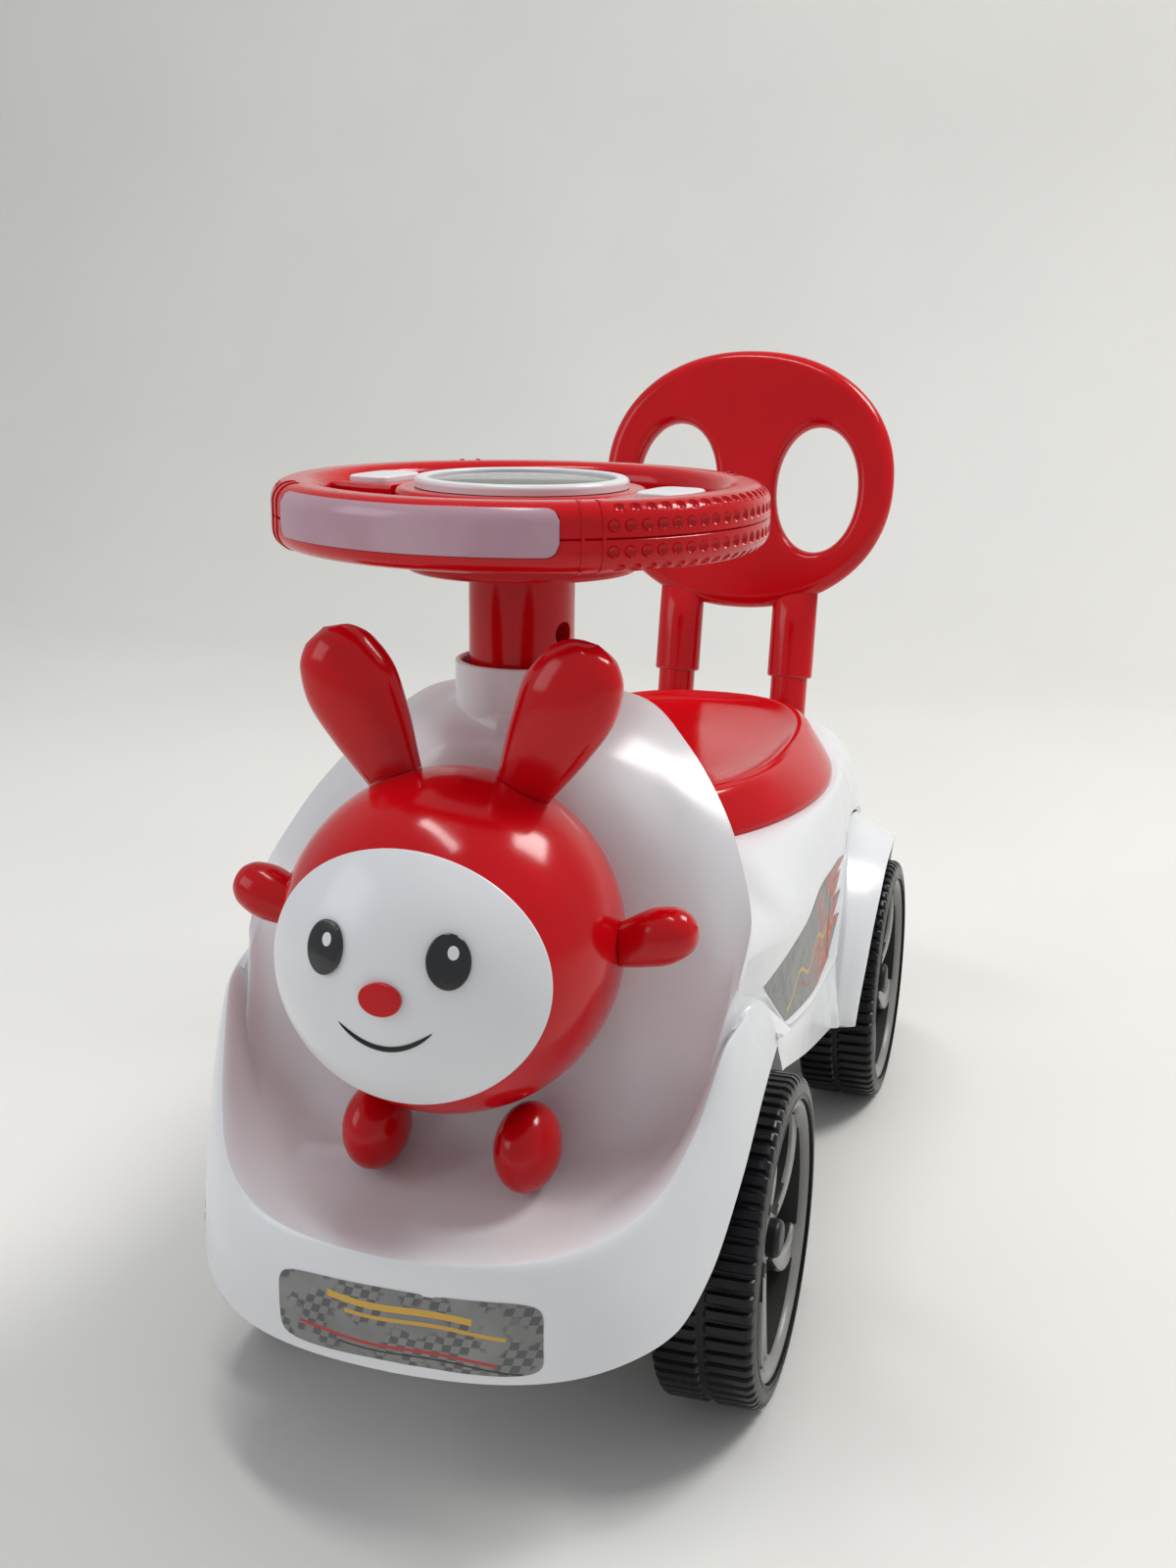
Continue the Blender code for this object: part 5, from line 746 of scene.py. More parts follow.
def carved(mesh, add=(), cut=(), wall=0.0):
    """Mesh with others added and then others cut away, and a wall put on it first if it is an open skin."""
    base = bpy.data.objects.new("carving", mesh)
    bpy.context.scene.collection.objects.link(base)
    others = []
    if wall:
        skin = base.modifiers.new("wall", "SOLIDIFY")
        skin.thickness = wall
        skin.offset = -1
    steps = [("UNION", other) for other in add] + [("DIFFERENCE", other) for other in cut]
    for operation, other in steps:
        tool = bpy.data.objects.new("tool", other)
        bpy.context.scene.collection.objects.link(tool)
        others.append(tool)
        modifier = base.modifiers.new("step", "BOOLEAN")
        modifier.operation = operation
        modifier.object = tool
        modifier.solver = "EXACT"
    bpy.context.view_layer.update()
    graph = bpy.context.evaluated_depsgraph_get()
    made = bpy.data.meshes.new_from_object(base.evaluated_get(graph))
    for obj in (base, *others):
        bpy.data.objects.remove(obj, do_unlink=True)
    return made


def arc(centre, radius, start, end, steps):
    """Points of (radius, reach) round part of a circle, by angles in degrees."""
    angles = [radians(start + (end - start) * i / steps) for i in range(steps + 1)]
    return [(centre[0] + radius * cos(t), centre[1] + radius * sin(t)) for t in angles]


def tree_of(mesh):
    points = [vertex.co.copy() for vertex in mesh.vertices]
    return BVHTree.FromPolygons(points, [tuple(polygon.vertices) for polygon in mesh.polygons])


def lifted(tree, origin, direction, lift):
    """Point just above the surface that a ray meets."""
    hit, normal, *_ = tree.ray_cast(Vector(origin), Vector(direction))
    if normal.dot(Vector(direction)) > 0:
        normal = -normal
    return hit + normal * lift


def flat_mapped(bm, layer, flats):
    """Gives each corner the flat point of its vertex as UV."""
    for face in bm.faces:
        for loop in face.loops:
            loop[layer].uv = flats[loop.vert]


def laid_strip(name, lower, upper, tree, side, lift, columns=56, rows=14):
    """Thin sheet between two lines along the car's side, laid on the surface there."""
    bm = bmesh.new()
    layer = bm.loops.layers.uv.new("UVMap")
    flats = {}
    grid = []
    for i in range(columns + 1):
        low, high = along(lower, i / columns), along(upper, i / columns)
        column = []
        for j in range(rows + 1):
            y, z = (low[k] + (high[k] - low[k]) * j / rows for k in (0, 1))
            column.append(bm.verts.new(lifted(tree, (side * RAY_START, y, z), (-side, 0, 0), lift)))
            flats[column[-1]] = (y, z - SIDE_LABEL_MIDDLE)
        grid.append(column)
    for first, after in zip(grid, grid[1:]):
        for j in range(rows):
            corners = [first[j], after[j], after[j + 1], first[j + 1]]
            ends = (first[j].co - first[j + 1].co).length + (after[j].co - after[j + 1].co).length
            if ends >= LEAST_LENGTH:
                bm.faces.new(corners if side > 0 else corners[::-1])
    flat_mapped(bm, layer, flats)
    bmesh.ops.remove_doubles(bm, verts=bm.verts, dist=1e-6)
    return finished(bm, name, even_normals=False)


def laid(name, rings, tree, origin_of, direction, lift):
    """Thin sheet over rings of flat points, laid on a surface along a direction."""
    bm = bmesh.new()
    layer = bm.loops.layers.uv.new("UVMap")
    rows = [[bm.verts.new(lifted(tree, origin_of(flat), direction, lift)) for flat in ring] for ring in rings]
    flats = {vertex: flat for row, ring in zip(rows, rings) for vertex, flat in zip(row, ring)}
    for low, high in zip(rows, rows[1:]):
        bridged(bm, low, high)
    flat_mapped(bm, layer, flats)
    return finished(bm, name, even_normals=False)


def nodes_of(name):
    made = bpy.data.materials.new(name)
    made.use_nodes = True
    tree = made.node_tree
    return made, tree, tree.nodes["Principled BSDF"]


def noise(tree, scale, detail=3.0, vector=None):
    node = tree.nodes.new("ShaderNodeTexNoise")
    node.inputs["Scale"].default_value = scale
    node.inputs["Detail"].default_value = detail
    if vector is None:
        vector = tree.nodes.new("ShaderNodeTexCoord").outputs["Object"]
    tree.links.new(vector, node.inputs["Vector"])
    return node.outputs["Fac"]


def ranged(tree, value, low, high, from_low=0.3, from_high=0.7):
    node = tree.nodes.new("ShaderNodeMapRange")
    node.inputs["From Min"].default_value = from_low
    node.inputs["From Max"].default_value = from_high
    node.inputs["To Min"].default_value = low
    node.inputs["To Max"].default_value = high
    tree.links.new(value, node.inputs["Value"])
    return node.outputs["Result"]


def mixed(tree, factor, first, second):
    """Colour between two others, each a tuple or a socket."""
    node = tree.nodes.new("ShaderNodeMix")
    node.data_type = "RGBA"
    for socket, value in ((node.inputs[6], first), (node.inputs[7], second)):
        if isinstance(value, tuple):
            socket.default_value = (*value, 1.0)
        else:
            tree.links.new(value, socket)
    tree.links.new(factor, node.inputs[0])
    return node.outputs[2]


def maths(tree, operation, first, second=None):
    """Result of an operation on one or two values, each a number or a socket."""
    node = tree.nodes.new("ShaderNodeMath")
    node.operation = operation
    for socket, value in zip(node.inputs, (first, second)):
        if isinstance(value, (int, float)):
            socket.default_value = value
        elif value is not None:
            tree.links.new(value, socket)
    return node.outputs[0]


def between(tree, value, low, high):
    above, below = maths(tree, "GREATER_THAN", value, low), maths(tree, "LESS_THAN", value, high)
    return maths(tree, "MULTIPLY", above, below)


def waves(tree, operation, value, pitch):
    return maths(tree, operation, maths(tree, "MULTIPLY", value, pitch))


def split_up(tree, vector):
    node = tree.nodes.new("ShaderNodeSeparateXYZ")
    tree.links.new(vector, node.inputs[0])
    return node.outputs[0], node.outputs[1]


def put_together(tree, x, y):
    node = tree.nodes.new("ShaderNodeCombineXYZ")
    for value, socket in zip((x, y), node.inputs):
        tree.links.new(value, socket)
    return node.outputs[0]


def bumped(tree, shader, height, strength, distance):
    node = tree.nodes.new("ShaderNodeBump")
    node.inputs["Strength"].default_value = strength
    node.inputs["Distance"].default_value = distance
    tree.links.new(height, node.inputs["Height"])
    tree.links.new(node.outputs["Normal"], shader.inputs["Normal"])


def plastic(name, colour, shade, roughness, grain=420.0, relief=0.12, coat=0.0, specular=0.5, metallic=0.0):
    """Moulded plastic or metal: faint mottling, uneven gloss and a fine skin."""
    made, tree, shader = nodes_of(name)
    cloud = ranged(tree, noise(tree, 26.0), 0.0, 1.0)
    tree.links.new(mixed(tree, cloud, colour, shade), shader.inputs["Base Color"])
    gloss = ranged(tree, noise(tree, 60.0, 5.0), roughness * 0.86, roughness * 1.16)
    tree.links.new(gloss, shader.inputs["Roughness"])
    shader.inputs["Metallic"].default_value = metallic
    shader.inputs["Specular IOR Level"].default_value = specular
    shader.inputs["Coat Weight"].default_value = coat
    shader.inputs["Coat Roughness"].default_value = 0.06
    bumped(tree, shader, noise(tree, grain, 2.0), relief, 0.0004)
    return made


RED = plastic(
    "red_plastic_skin", (0.56, 0.0008, 0.005), (0.5, 0.0006, 0.004), 0.15, relief=0.05, specular=0.32
), "red_plastic"
WHITE = plastic(
    "white_plastic_skin", (0.74, 0.75, 0.765), (0.715, 0.727, 0.745), 0.22, relief=0.04, specular=0.42
), "white_plastic"
BLACK = (
    plastic("black_plastic_skin", (0.01, 0.01, 0.011), (0.016, 0.016, 0.017), 0.42, specular=0.3),
    "black_plastic",
)
# Near-black finish for the rim's dish between the spokes: painted shade that stands for the deep shadow in
# the wheel's openings.
RIM_PAINTED_SHADE = plastic(
    "rim_painted_shade_skin", (0.02, 0.02, 0.019), (0.03, 0.03, 0.028), 0.5, grain=1200.0, specular=0.25
)
GLOSS_BLACK = (
    plastic("gloss_black_skin", (0.006, 0.006, 0.007), (0.009, 0.009, 0.01), 0.12, coat=0.4),
    "black_plastic",
)
TYRE = plastic(
    "tyre_skin", (0.004, 0.0045, 0.006), (0.007, 0.0075, 0.009), 0.3, grain=900.0, relief=0.15, specular=0.26
), "tyre"
GREY = plastic(
    "grey_plastic_skin", (0.27, 0.265, 0.25), (0.23, 0.225, 0.215), 0.32, grain=1200.0, relief=0.15
), "grey_plastic"
STEEL = plastic(
    "steel_skin", (0.58, 0.58, 0.59), (0.48, 0.48, 0.49), 0.3, grain=1600.0, relief=0.1, metallic=1.0
)
BOARD = plastic("board_skin", (0.02, 0.14, 0.05), (0.015, 0.11, 0.04), 0.45)
LENS = (
    plastic("lens_skin", (0.52, 0.33, 0.39), (0.45, 0.26, 0.32), 0.18, relief=0.04, specular=0.45),
    "lens_plastic",
)
CELL = plastic("cell_skin", (0.1, 0.22, 0.12), (0.09, 0.19, 0.11), 0.3)


def make_glass():
    made, tree, shader = nodes_of("window_skin")
    shader.inputs["Base Color"].default_value = (0.93, 0.96, 0.96, 1.0)
    shader.inputs["Transmission Weight"].default_value = 1.0
    shader.inputs["IOR"].default_value = 1.3
    tree.links.new(ranged(tree, noise(tree, 90.0), 0.01, 0.05), shader.inputs["Roughness"])
    return made


def make_dial_finish():
    """Grey instrument card with a ring of marks and a warm band, drawn round the column's axis."""
    made, tree, shader = nodes_of("dial_skin")
    apart = tree.nodes.new("ShaderNodeVectorMath")
    apart.operation = "SUBTRACT"
    apart.inputs[1].default_value = (0.0, FRONT_AXLE_Y + SHIFT_Y, 0.44)
    tree.links.new(tree.nodes.new("ShaderNodeTexCoord").outputs["Object"], apart.inputs[0])
    x, y = split_up(tree, apart.outputs[0])
    length = tree.nodes.new("ShaderNodeVectorMath")
    length.operation = "LENGTH"
    tree.links.new(put_together(tree, x, y), length.inputs[0])
    radius = length.outputs["Value"]
    turn = maths(tree, "ARCTAN2", y, x)
    ticks = maths(tree, "GREATER_THAN", waves(tree, "COSINE", turn, 36.0), 0.72)
    marks = maths(tree, "MULTIPLY", ticks, between(tree, radius, 0.033, 0.039))
    warm = maths(tree, "GREATER_THAN", waves(tree, "COSINE", turn, 5.0), 0.2)
    warm = maths(tree, "MULTIPLY", between(tree, radius, 0.024, 0.029), warm)
    base = mixed(tree, ranged(tree, noise(tree, 120.0), 0.0, 1.0), (0.2, 0.215, 0.21), (0.15, 0.165, 0.16))
    with_marks = mixed(tree, marks, base, (0.72, 0.73, 0.72))
    tree.links.new(mixed(tree, warm, with_marks, (0.55, 0.16, 0.05)), shader.inputs["Base Color"])
    shader.inputs["Roughness"].default_value = 0.35
    return made


def fine_cowl_column(u, rows):
    """Column of the cowl, whose apron's lower corner is drawn back a little from its rear end."""
    lines = cowl_lines(abs(u))
    share = max(0.0, (abs(u) - TAB_START) / TAB_REACH) ** 1.5
    lines[0] = tuple(p + (g - p) * share for p, g in zip(lines[0], APRON_CORNER))
    keys = list(enumerate(lines))
    side = 1 if u >= 0 else -1
    return [(side * x, y, z) for x, y, z in (along(keys, row) for row in rows)]


def make_fender_tips():
    """Pointed tab with which the cowl's apron ends over each front wheel."""
    tip = Vector(TAB_TIP)
    out = Vector(TAB_OUTWARDS).normalized()
    share_rows = [2 - i / 4 for i in range(9)]
    base = []
    for k in range(TAB_COLUMNS + 1):
        u = TAB_START + TAB_REACH * k / TAB_COLUMNS
        raised = out * along(TAB_LIFTS, u)
        base.append([Vector(point) + raised for point in fine_cowl_column(u, share_rows)])
    last = base[-1]
    for k in range(1, TAB_TIP_STEPS + 1):
        base.append([point.lerp(tip, k / TAB_TIP_STEPS * 0.97) for point in last])
    for side, label in SIDES:
        rings = []
        for count, outer in enumerate(base):
            thinning = 0.7 * (max(0, count - TAB_COLUMNS) / TAB_TIP_STEPS) ** 2
            inner = [point - out * (TAB_THICKNESS * (1 - thinning)) for point in outer]
            rings.append([(side * point.x, point.y, point.z) for point in outer + inner[::-1]])
        dressed(f"fender_tip_{label}", skinned("tab", rings), WHITE, smooth=50)


def make_front_cowl():
    shares = [2 * i / COWL_FINE_COLUMNS - 1 for i in range(COWL_FINE_COLUMNS + 1)]
    rows = [i / COWL_FINE_ROWS for i in range(9 * COWL_FINE_ROWS + 1)]
    mesh = skinned("cowl_skin", [fine_cowl_column(u, rows) for u in shares], closed=False)
    if mesh.polygons[len(mesh.polygons) // 2].normal.y > 0:
        mesh.flip_normals()
    tree = tree_of(mesh)
    inner = COLLAR_RADIUS - COWL_WALL
    shaft_hole = SHAFT_RADIUS + THROUGH_GAP
    floor_under = COLLAR_FLOOR - COLLAR_FLOOR_WALL
    foot = COLLAR_FLOOR - COLLAR_SKIRT
    lip = COLLAR_LIP
    collar_profile = [(0, foot), (COLLAR_RADIUS, foot)]
    collar_profile += arc((COLLAR_RADIUS - lip, COLLAR_TOP - lip), lip, 0, 90, 4)
    collar_profile += [(0, COLLAR_TOP)]
    cavity_profile = [(0, foot - COLLAR_SKIRT), (inner, foot - COLLAR_SKIRT), (inner, floor_under)]
    cavity_profile += [(shaft_hole, floor_under), (shaft_hole, COLLAR_FLOOR), (inner, COLLAR_FLOOR)]
    cavity_profile += [(inner, COLLAR_TOP - 0.001), (inner + 0.001, COLLAR_TOP)]
    cavity_profile += [(inner + 0.001, COLLAR_TOP + COLLAR_SKIRT), (0, COLLAR_TOP + COLLAR_SKIRT)]
    pad_middle = (0.0, 0.0, FIGURE_Z)
    front = FIGURE_BACK_Y + FIT_GAP
    pad = rod("pad", FIGURE_PAD_RADIUS, front, HOOD_BACK_Y - COWL_WALL, "Y", pad_middle, HUB_STEPS)
    collar = turned("collar", collar_profile, "Z", COLUMN_FOOT, HUB_STEPS)
    cavity = turned("cavity", cavity_profile, "Z", COLUMN_FOOT, HUB_STEPS, pi / HUB_STEPS)
    ends = (front - CUTTER_MARGIN, HOOD_BACK_Y + CUTTER_MARGIN)
    screw_hole = rod("hole", FIGURE_SCREW_RADIUS + FIT_GAP, *ends, "Y", pad_middle)
    mesh = carved(mesh, (pad, collar), (cavity, screw_hole), COWL_WALL)
    dressed("front_cowl_shell", mesh, WHITE, "chassis", ("front_cowl",), 34)
    return tree


def body_section(y, inset=0.0, drop=0.0):
    """Half outline of the body's section at y, from the middle of its top to its lower edge."""
    share = max(0.0, (y - REAR_ROUND_START) / (BODY_REAR - REAR_ROUND_START))
    narrowing = (1 - share**REAR_PLAN_ROUNDNESS) ** (1 / REAR_PLAN_ROUNDNESS)
    lowering = (1 - share**REAR_TOP_ROUNDNESS) ** (1 / REAR_TOP_ROUNDNESS)
    lean = along(BODY_LEANS, y)
    low_y = y - lean * (NECK_LEAN_TOP - NECK_LEAN_BOTTOM)
    half = along(BODY_HALF_WIDTHS, y)
    widest = along(BODY_WIDEST_HEIGHTS, y)
    top = along(BODY_TOPS, y)
    top = TAIL_BOTTOM + (top - TAIL_BOTTOM) * lowering
    widest = min(widest, top - SHOULDER_LEAST_DROP)
    reach = (y - SEAT_MIDDLE_Y) / (SEAT_HALF_LENGTH + SEAT_MARGIN)
    flat = max((SEAT_HALF_WIDTH + SEAT_MARGIN) * sqrt(max(0.0, 1 - reach**2)), NECK_FLAT_HALF_WIDTH)
    if y > SEAT_MIDDLE_Y:
        flat = max(flat, along(DECK_FLATS, y))
    flat = min(flat, half - 0.004)
    crease_x, lower_x = along(CREASE_REACHES, low_y), SILL_X
    crease_z, lower_z = along(CREASE_HEIGHTS, low_y), along(SILL_HEIGHTS, low_y)
    front_arch = well_top(low_y, FRONT_AXLE_Y, FRONT_WELL_RADIUS - ARCH_LAP)
    rear_arch = well_top(low_y, REAR_AXLE_Y, REAR_WELL_RADIUS - ARCH_LAP)
    rear_crease = well_top(low_y, REAR_AXLE_Y, FLARE_CREASE_RADIUS)
    if front_arch:
        lower_z = max(lower_z, front_arch)
    if low_y > REAR_AXLE_Y:
        lower_z = TAIL_BOTTOM
        crease_z = TAIL_BOTTOM + TAIL_CREASE_RISE
    if rear_crease:
        crease_z = max(crease_z, rear_crease)
        opened = min(1.0, (crease_z - lower_z) / FLARE_FADE)
        lower_x = SILL_X + (FLARE_X - SILL_X) * opened
    if rear_arch:
        lower_z = max(lower_z, rear_arch)
        lower_x = FLARE_X
    crease_z = min(crease_z, widest - SECTION_LEAST_STEP)
    lower_z = min(lower_z, crease_z - SECTION_LEAST_STEP)
    points = [(0.0, top), (flat * 0.5, top), (flat, top)]
    for degrees in SHOULDER_DEGREES:
        t = radians(degrees)
        across = sin(t) ** (2 / SHOULDER_ROUNDNESS)
        height = cos(t) ** (2 / SHOULDER_ROUNDNESS)
        points.append((flat + (half - flat) * across, widest + (top - widest) * height))
    points.append(((half + crease_x) / 2 - SIDE_BOW * 0.6, (widest + crease_z) / 2))
    points.append((crease_x, crease_z))
    bend_x = crease_x + (lower_x - crease_x) * SKIRT_BEND
    points.append((bend_x, crease_z + (lower_z - crease_z) * SKIRT_BEND))
    points.append((lower_x, lower_z))
    points = [(x * narrowing, z) for x, z in points]
    if inset:
        points = inset_outline(points, inset)
        points[-1] = (points[-1][0], lower_z - drop)
    return [(x, y - lean * (NECK_LEAN_TOP - max(z, NECK_LEAN_BOTTOM)), z) for x, z in points]


def fine_section(y):
    """Half outline of the body's section with its side drawn as one smooth line and a bead on its crease."""
    coarse = body_section(y)
    shoulder_end = 2 + len(SHOULDER_DEGREES)
    widest, bow, crease, bend, lower = coarse[shoulder_end:]
    side = [(0.0, widest), (0.5, bow), (1.0, crease)]
    points = coarse[:shoulder_end + 1] + [along(side, i / 9) for i in range(1, 9)]
    bead = CREASE_BEAD * max(0.0, min(1.0, (y + 0.09) / 0.025))
    points += [(crease[0] + bead * out, crease[1], crease[2] + rise) for rise, out in CREASE_BEAD_PROFILE]
    last = points[-1]
    below = [(0.0, last), (0.5, (bend[0], bend[1], min(bend[2], last[2] - 0.002))), (1.0, lower)]
    return points + [along(below, i / 7) for i in range(1, 8)]


def make_main_body():
    first, last = BODY_FRONT, BODY_REAR - BODY_END_GAP
    steps = BODY_FINE_STATIONS
    stations = [first + (last - BODY_END_LENGTH - first) * i / steps for i in range(steps + 1)]
    stations += [last - BODY_END_LENGTH * cos(pi / 2 * i / 14) for i in range(1, 15)]
    mesh = skinned("body", [mirrored(fine_section(y)) for y in stations], flat_points=SECTION_TOP_POINTS)
    tree = tree_of(mesh)
    inner_last = last - BODY_WALL
    inner_stations = [first - CUTTER_MARGIN] + [y for y in stations[::3] if y < inner_last] + [inner_last]
    inner_rings = [mirrored(body_section(y, BODY_WALL, HOLLOW_DROP)) for y in inner_stations]
    kept_walls = (arch_wells("well_walls", BODY_WALL), store_solid("store_wall", BODY_WALL))
    hollow = carved(skinned("hollow", inner_rings, flat_points=SECTION_TOP_POINTS), cut=kept_walls)
    rise = SPINE_BOTTOM - AXLE_HEIGHT
    arch_half, rear_half = (sqrt(radius**2 - rise**2) for radius in (FRONT_WELL_RADIUS, REAR_WELL_RADIUS))
    below = []
    for start, end in (
        (BELOW_FRONT_Y, FRONT_AXLE_Y + arch_half - FRONT_BELOW_LAP),
        (REAR_AXLE_Y - rear_half + REAR_BELOW_LAP, REAR_AXLE_Y + rear_half - REAR_BELOW_LAP),
    ):
        low, high = (-WELL_REACH_X, start, -CUTTER_MARGIN), (WELL_REACH_X, end, SPINE_BOTTOM)
        below.append(block("below", low, high))
    lug_inner = LID_KNUCKLE_HALF_WIDTH + TURNING_GAP
    lugs = []
    for side, _ in SIDES:
        ends = sorted((side * lug_inner, side * (lug_inner + LID_LUG_WIDTH)))
        low = (ends[0], LID_HINGE_Y - LID_KNUCKLE_RADIUS, SEAT_BASE - BODY_WALL / 2)
        high = (ends[1], LID_HINGE_Y + LID_KNUCKLE_RADIUS, LID_HINGE_Z + LID_KNUCKLE_RADIUS)
        lugs.append(block("lug", low, high))
    pin_reach = lug_inner + LID_LUG_WIDTH + CUTTER_MARGIN
    holes = [rod("pin_hole", LID_PIN_RADIUS + TURNING_GAP, -pin_reach, pin_reach, "X", LID_HINGE)]
    hole_ends = (COLLAR_HOLE_LOW, COLLAR_TOP + CUTTER_MARGIN)
    holes.append(rod("collar_hole", COLLAR_RADIUS + COLLAR_HOLE_GAP, *hole_ends, "Z", COLUMN_FOOT))
    for side, _ in SIDES:
        socket = rod("socket", PEG_RADIUS + FIT_GAP, -SOCKET_REACH, SOCKET_REACH, "Z")
        socket.transform(Matrix.Rotation(-BACK_TILT, 4, "X"))
        socket.transform(Matrix.Translation((side * POST_X, BACK_FOOT_Y, BACK_FOOT_Z)))
        holes.append(socket)
    cut = [merged("below", below), arch_wells("wells", 0.0), store_solid("store", 0.0)]
    mesh = carved(mesh, [merged("lugs", lugs)], [*cut, merged("holes", holes), hollow])
    dressed("body_shell", mesh, WHITE, "chassis", ("main_body",), 34)
    return tree


def make_arch_bands():
    """Rounded lip that slopes outwards from each rear wheel arch's bead to its edge."""
    inner, outer = REAR_WELL_RADIUS - BAND_LAP, REAR_WELL_RADIUS + BAND_REACH
    first, last = BAND_ENDS
    keys = [(degrees, (out, edge)) for degrees, out, edge in BAND_FACES]
    for side, label in SIDES:
        rings = []
        for i in range(BAND_STEPS + 1):
            degrees = last - (last - first) * i / BAND_STEPS
            turn = radians(degrees)
            out_x, edge_x = along(keys, degrees)
            end = min(1.0, min(degrees - first, last - degrees) / BAND_END_DEGREES)
            high = outer - BAND_END_NIP * (1 - sqrt(max(0.0, 1 - (1 - end) ** 2)))
            section = [(inner + 0.0025, edge_x - 0.012), (inner + 0.0004, edge_x - 0.003)]
            section += [(inner, edge_x - 0.0014), (inner + 0.0007, edge_x - 0.0002), (inner + 0.002, edge_x)]
            for share, bulge in ((0.25, 0.0011), (0.5, 0.0014), (0.75, 0.0011), (0.9, 0.0005)):
                radius = inner + 0.002 + (high - 0.0015 - inner - 0.002) * share
                section.append((radius, edge_x + (out_x - edge_x) * share + bulge))
            section += [(high - 0.0004, out_x - 0.0006), (high, out_x - 0.0022)]
            section.append((high - 0.0004, out_x - 0.009))
            y, z = cos(turn), sin(turn)
            rings.append([(side * x, REAR_AXLE_Y + r * y, AXLE_HEIGHT + r * z) for r, x in section])
        dressed(f"arch_band_{label}", skinned("band", rings), WHITE, smooth=48)


def make_seat_lid():
    keys = [(i, ring) for i, ring in enumerate(LID_RINGS)]
    keys.append((len(keys), (0.0, 0.0, 0.0, LID_DISH_HEIGHT, 2.0)))
    bm = bmesh.new()
    rows = []
    for place in [0, 0.5] + [1 + 6 * i / 44 for i in range(44)]:
        width, length, behind, height, roundness = along(keys, place)
        ring = oval_ring(SEAT_HALF_WIDTH * width, SEAT_HALF_LENGTH * length, roundness, LID_STEPS)
        ring_y, ring_z = SEAT_MIDDLE_Y + behind, SEAT_BASE + FIT_GAP + height
        rows.append([bm.verts.new((x, y + ring_y, ring_z)) for x, y in ring])
    rows.append([bm.verts.new((0.0, SEAT_MIDDLE_Y, SEAT_BASE + FIT_GAP + LID_DISH_HEIGHT))])
    for low, high in zip(rows, rows[1:]):
        bridged(bm, low, high)
    mesh = finished(bm, "lid", even_normals=False)
    half_width, half_height = LID_KNUCKLE_HALF_WIDTH, LID_TONGUE_HEIGHT / 2
    knuckle = rod("knuckle", LID_KNUCKLE_RADIUS, -half_width, half_width, "X", LID_HINGE)
    tongue_low = (-half_width, SEAT_MIDDLE_Y + SEAT_HALF_LENGTH - LID_TONGUE_LAP, LID_HINGE_Z - half_height)
    tongue_high = (half_width, LID_HINGE_Y - LID_PIN_RADIUS, LID_HINGE_Z + half_height)
    pin_end = LID_KNUCKLE_HALF_WIDTH + TURNING_GAP + LID_LUG_WIDTH
    bore = rod("bore", LID_PIN_RADIUS + TURNING_GAP, -pin_end, pin_end, "X", LID_HINGE)
    tongue = block("tongue", tongue_low, tongue_high)
    mesh = carved(mesh, (knuckle, tongue), (bore,), SEAT_WALL)
    dressed("seat_lid_shell", mesh, RED, "seat_lid_body", ("seat_lid",), 34, 0.0005, 2)


def rounded_plate(half_width, half_height, roundness, steps, turned_out, depth, middle):
    """Rings across the backrest's thickness, drawn in or out towards both faces as a half circle does."""
    rings = []
    for i in range(25):
        turn = radians(-90 + 7.5 * i)
        grow = turned_out * (1 - cos(turn))
        ring = oval_ring(half_width + grow, half_height + grow, roundness, steps)
        rings.append([(middle[0] + x, depth * sin(turn), middle[1] + z) for x, z in ring])
    return rings


def make_backrest():
    half = BACK_THICKNESS / 2
    middle = (0.0, BACK_CENTRE_UP)
    plate = skinned(
        "plate", rounded_plate(BACK_HALF_WIDTH, BACK_HALF_HEIGHT, BACK_ROUNDNESS, 160, -half, half, middle)
    )
    posts, holes = [], []
    for side, _ in SIDES:
        profile = [(PEG_RADIUS, -PEG_END_DOWN), (PEG_RADIUS, PEG_STEP_UP)]
        profile += [(POST_RADIUS - POST_EDGE, PEG_STEP_UP), (POST_RADIUS, PEG_STEP_UP + POST_EDGE)]
        profile += [(POST_RADIUS, up) for up in POST_RISES]
        rings = []
        for radius, up in profile:
            depth = radius * (POST_DEPTH_SHARE if radius > PEG_RADIUS + 0.0005 else 1)
            depth = min(depth, along(POST_DEPTHS, up))
            rings.append([(side * POST_X + x, y, up) for x, y in oval_ring(radius, depth, 2.0, 48)])
        posts.append(skinned("post", rings))
        # Each hole flares towards both faces, so that the plate's edge is round there as well.
        sizes = (HAND_HOLE_HALF_WIDTH - HOLE_NIP, HAND_HOLE_HALF_HEIGHT - HOLE_NIP, HOLE_ROUNDNESS, 96)
        middle = (side * HAND_HOLE_X, BACK_CENTRE_UP - HOLE_DROP)
        rings = rounded_plate(*sizes, half * 0.72, half * 1.001, middle)
        first, last = ([(x, depth, z) for x, _, z in rings[i]] for i, depth in ((0, -0.02), (-1, 0.02)))
        holes.append(skinned("hole", [first, *rings, last]))
    mesh = carved(plate, posts, holes)
    mesh.transform(Matrix.Rotation(-BACK_TILT, 4, "X"))
    mesh.transform(Matrix.Translation((0.0, BACK_FOOT_Y, BACK_FOOT_Z)))
    dressed("backrest_frame", mesh, RED, "chassis", ("backrest",), 30)


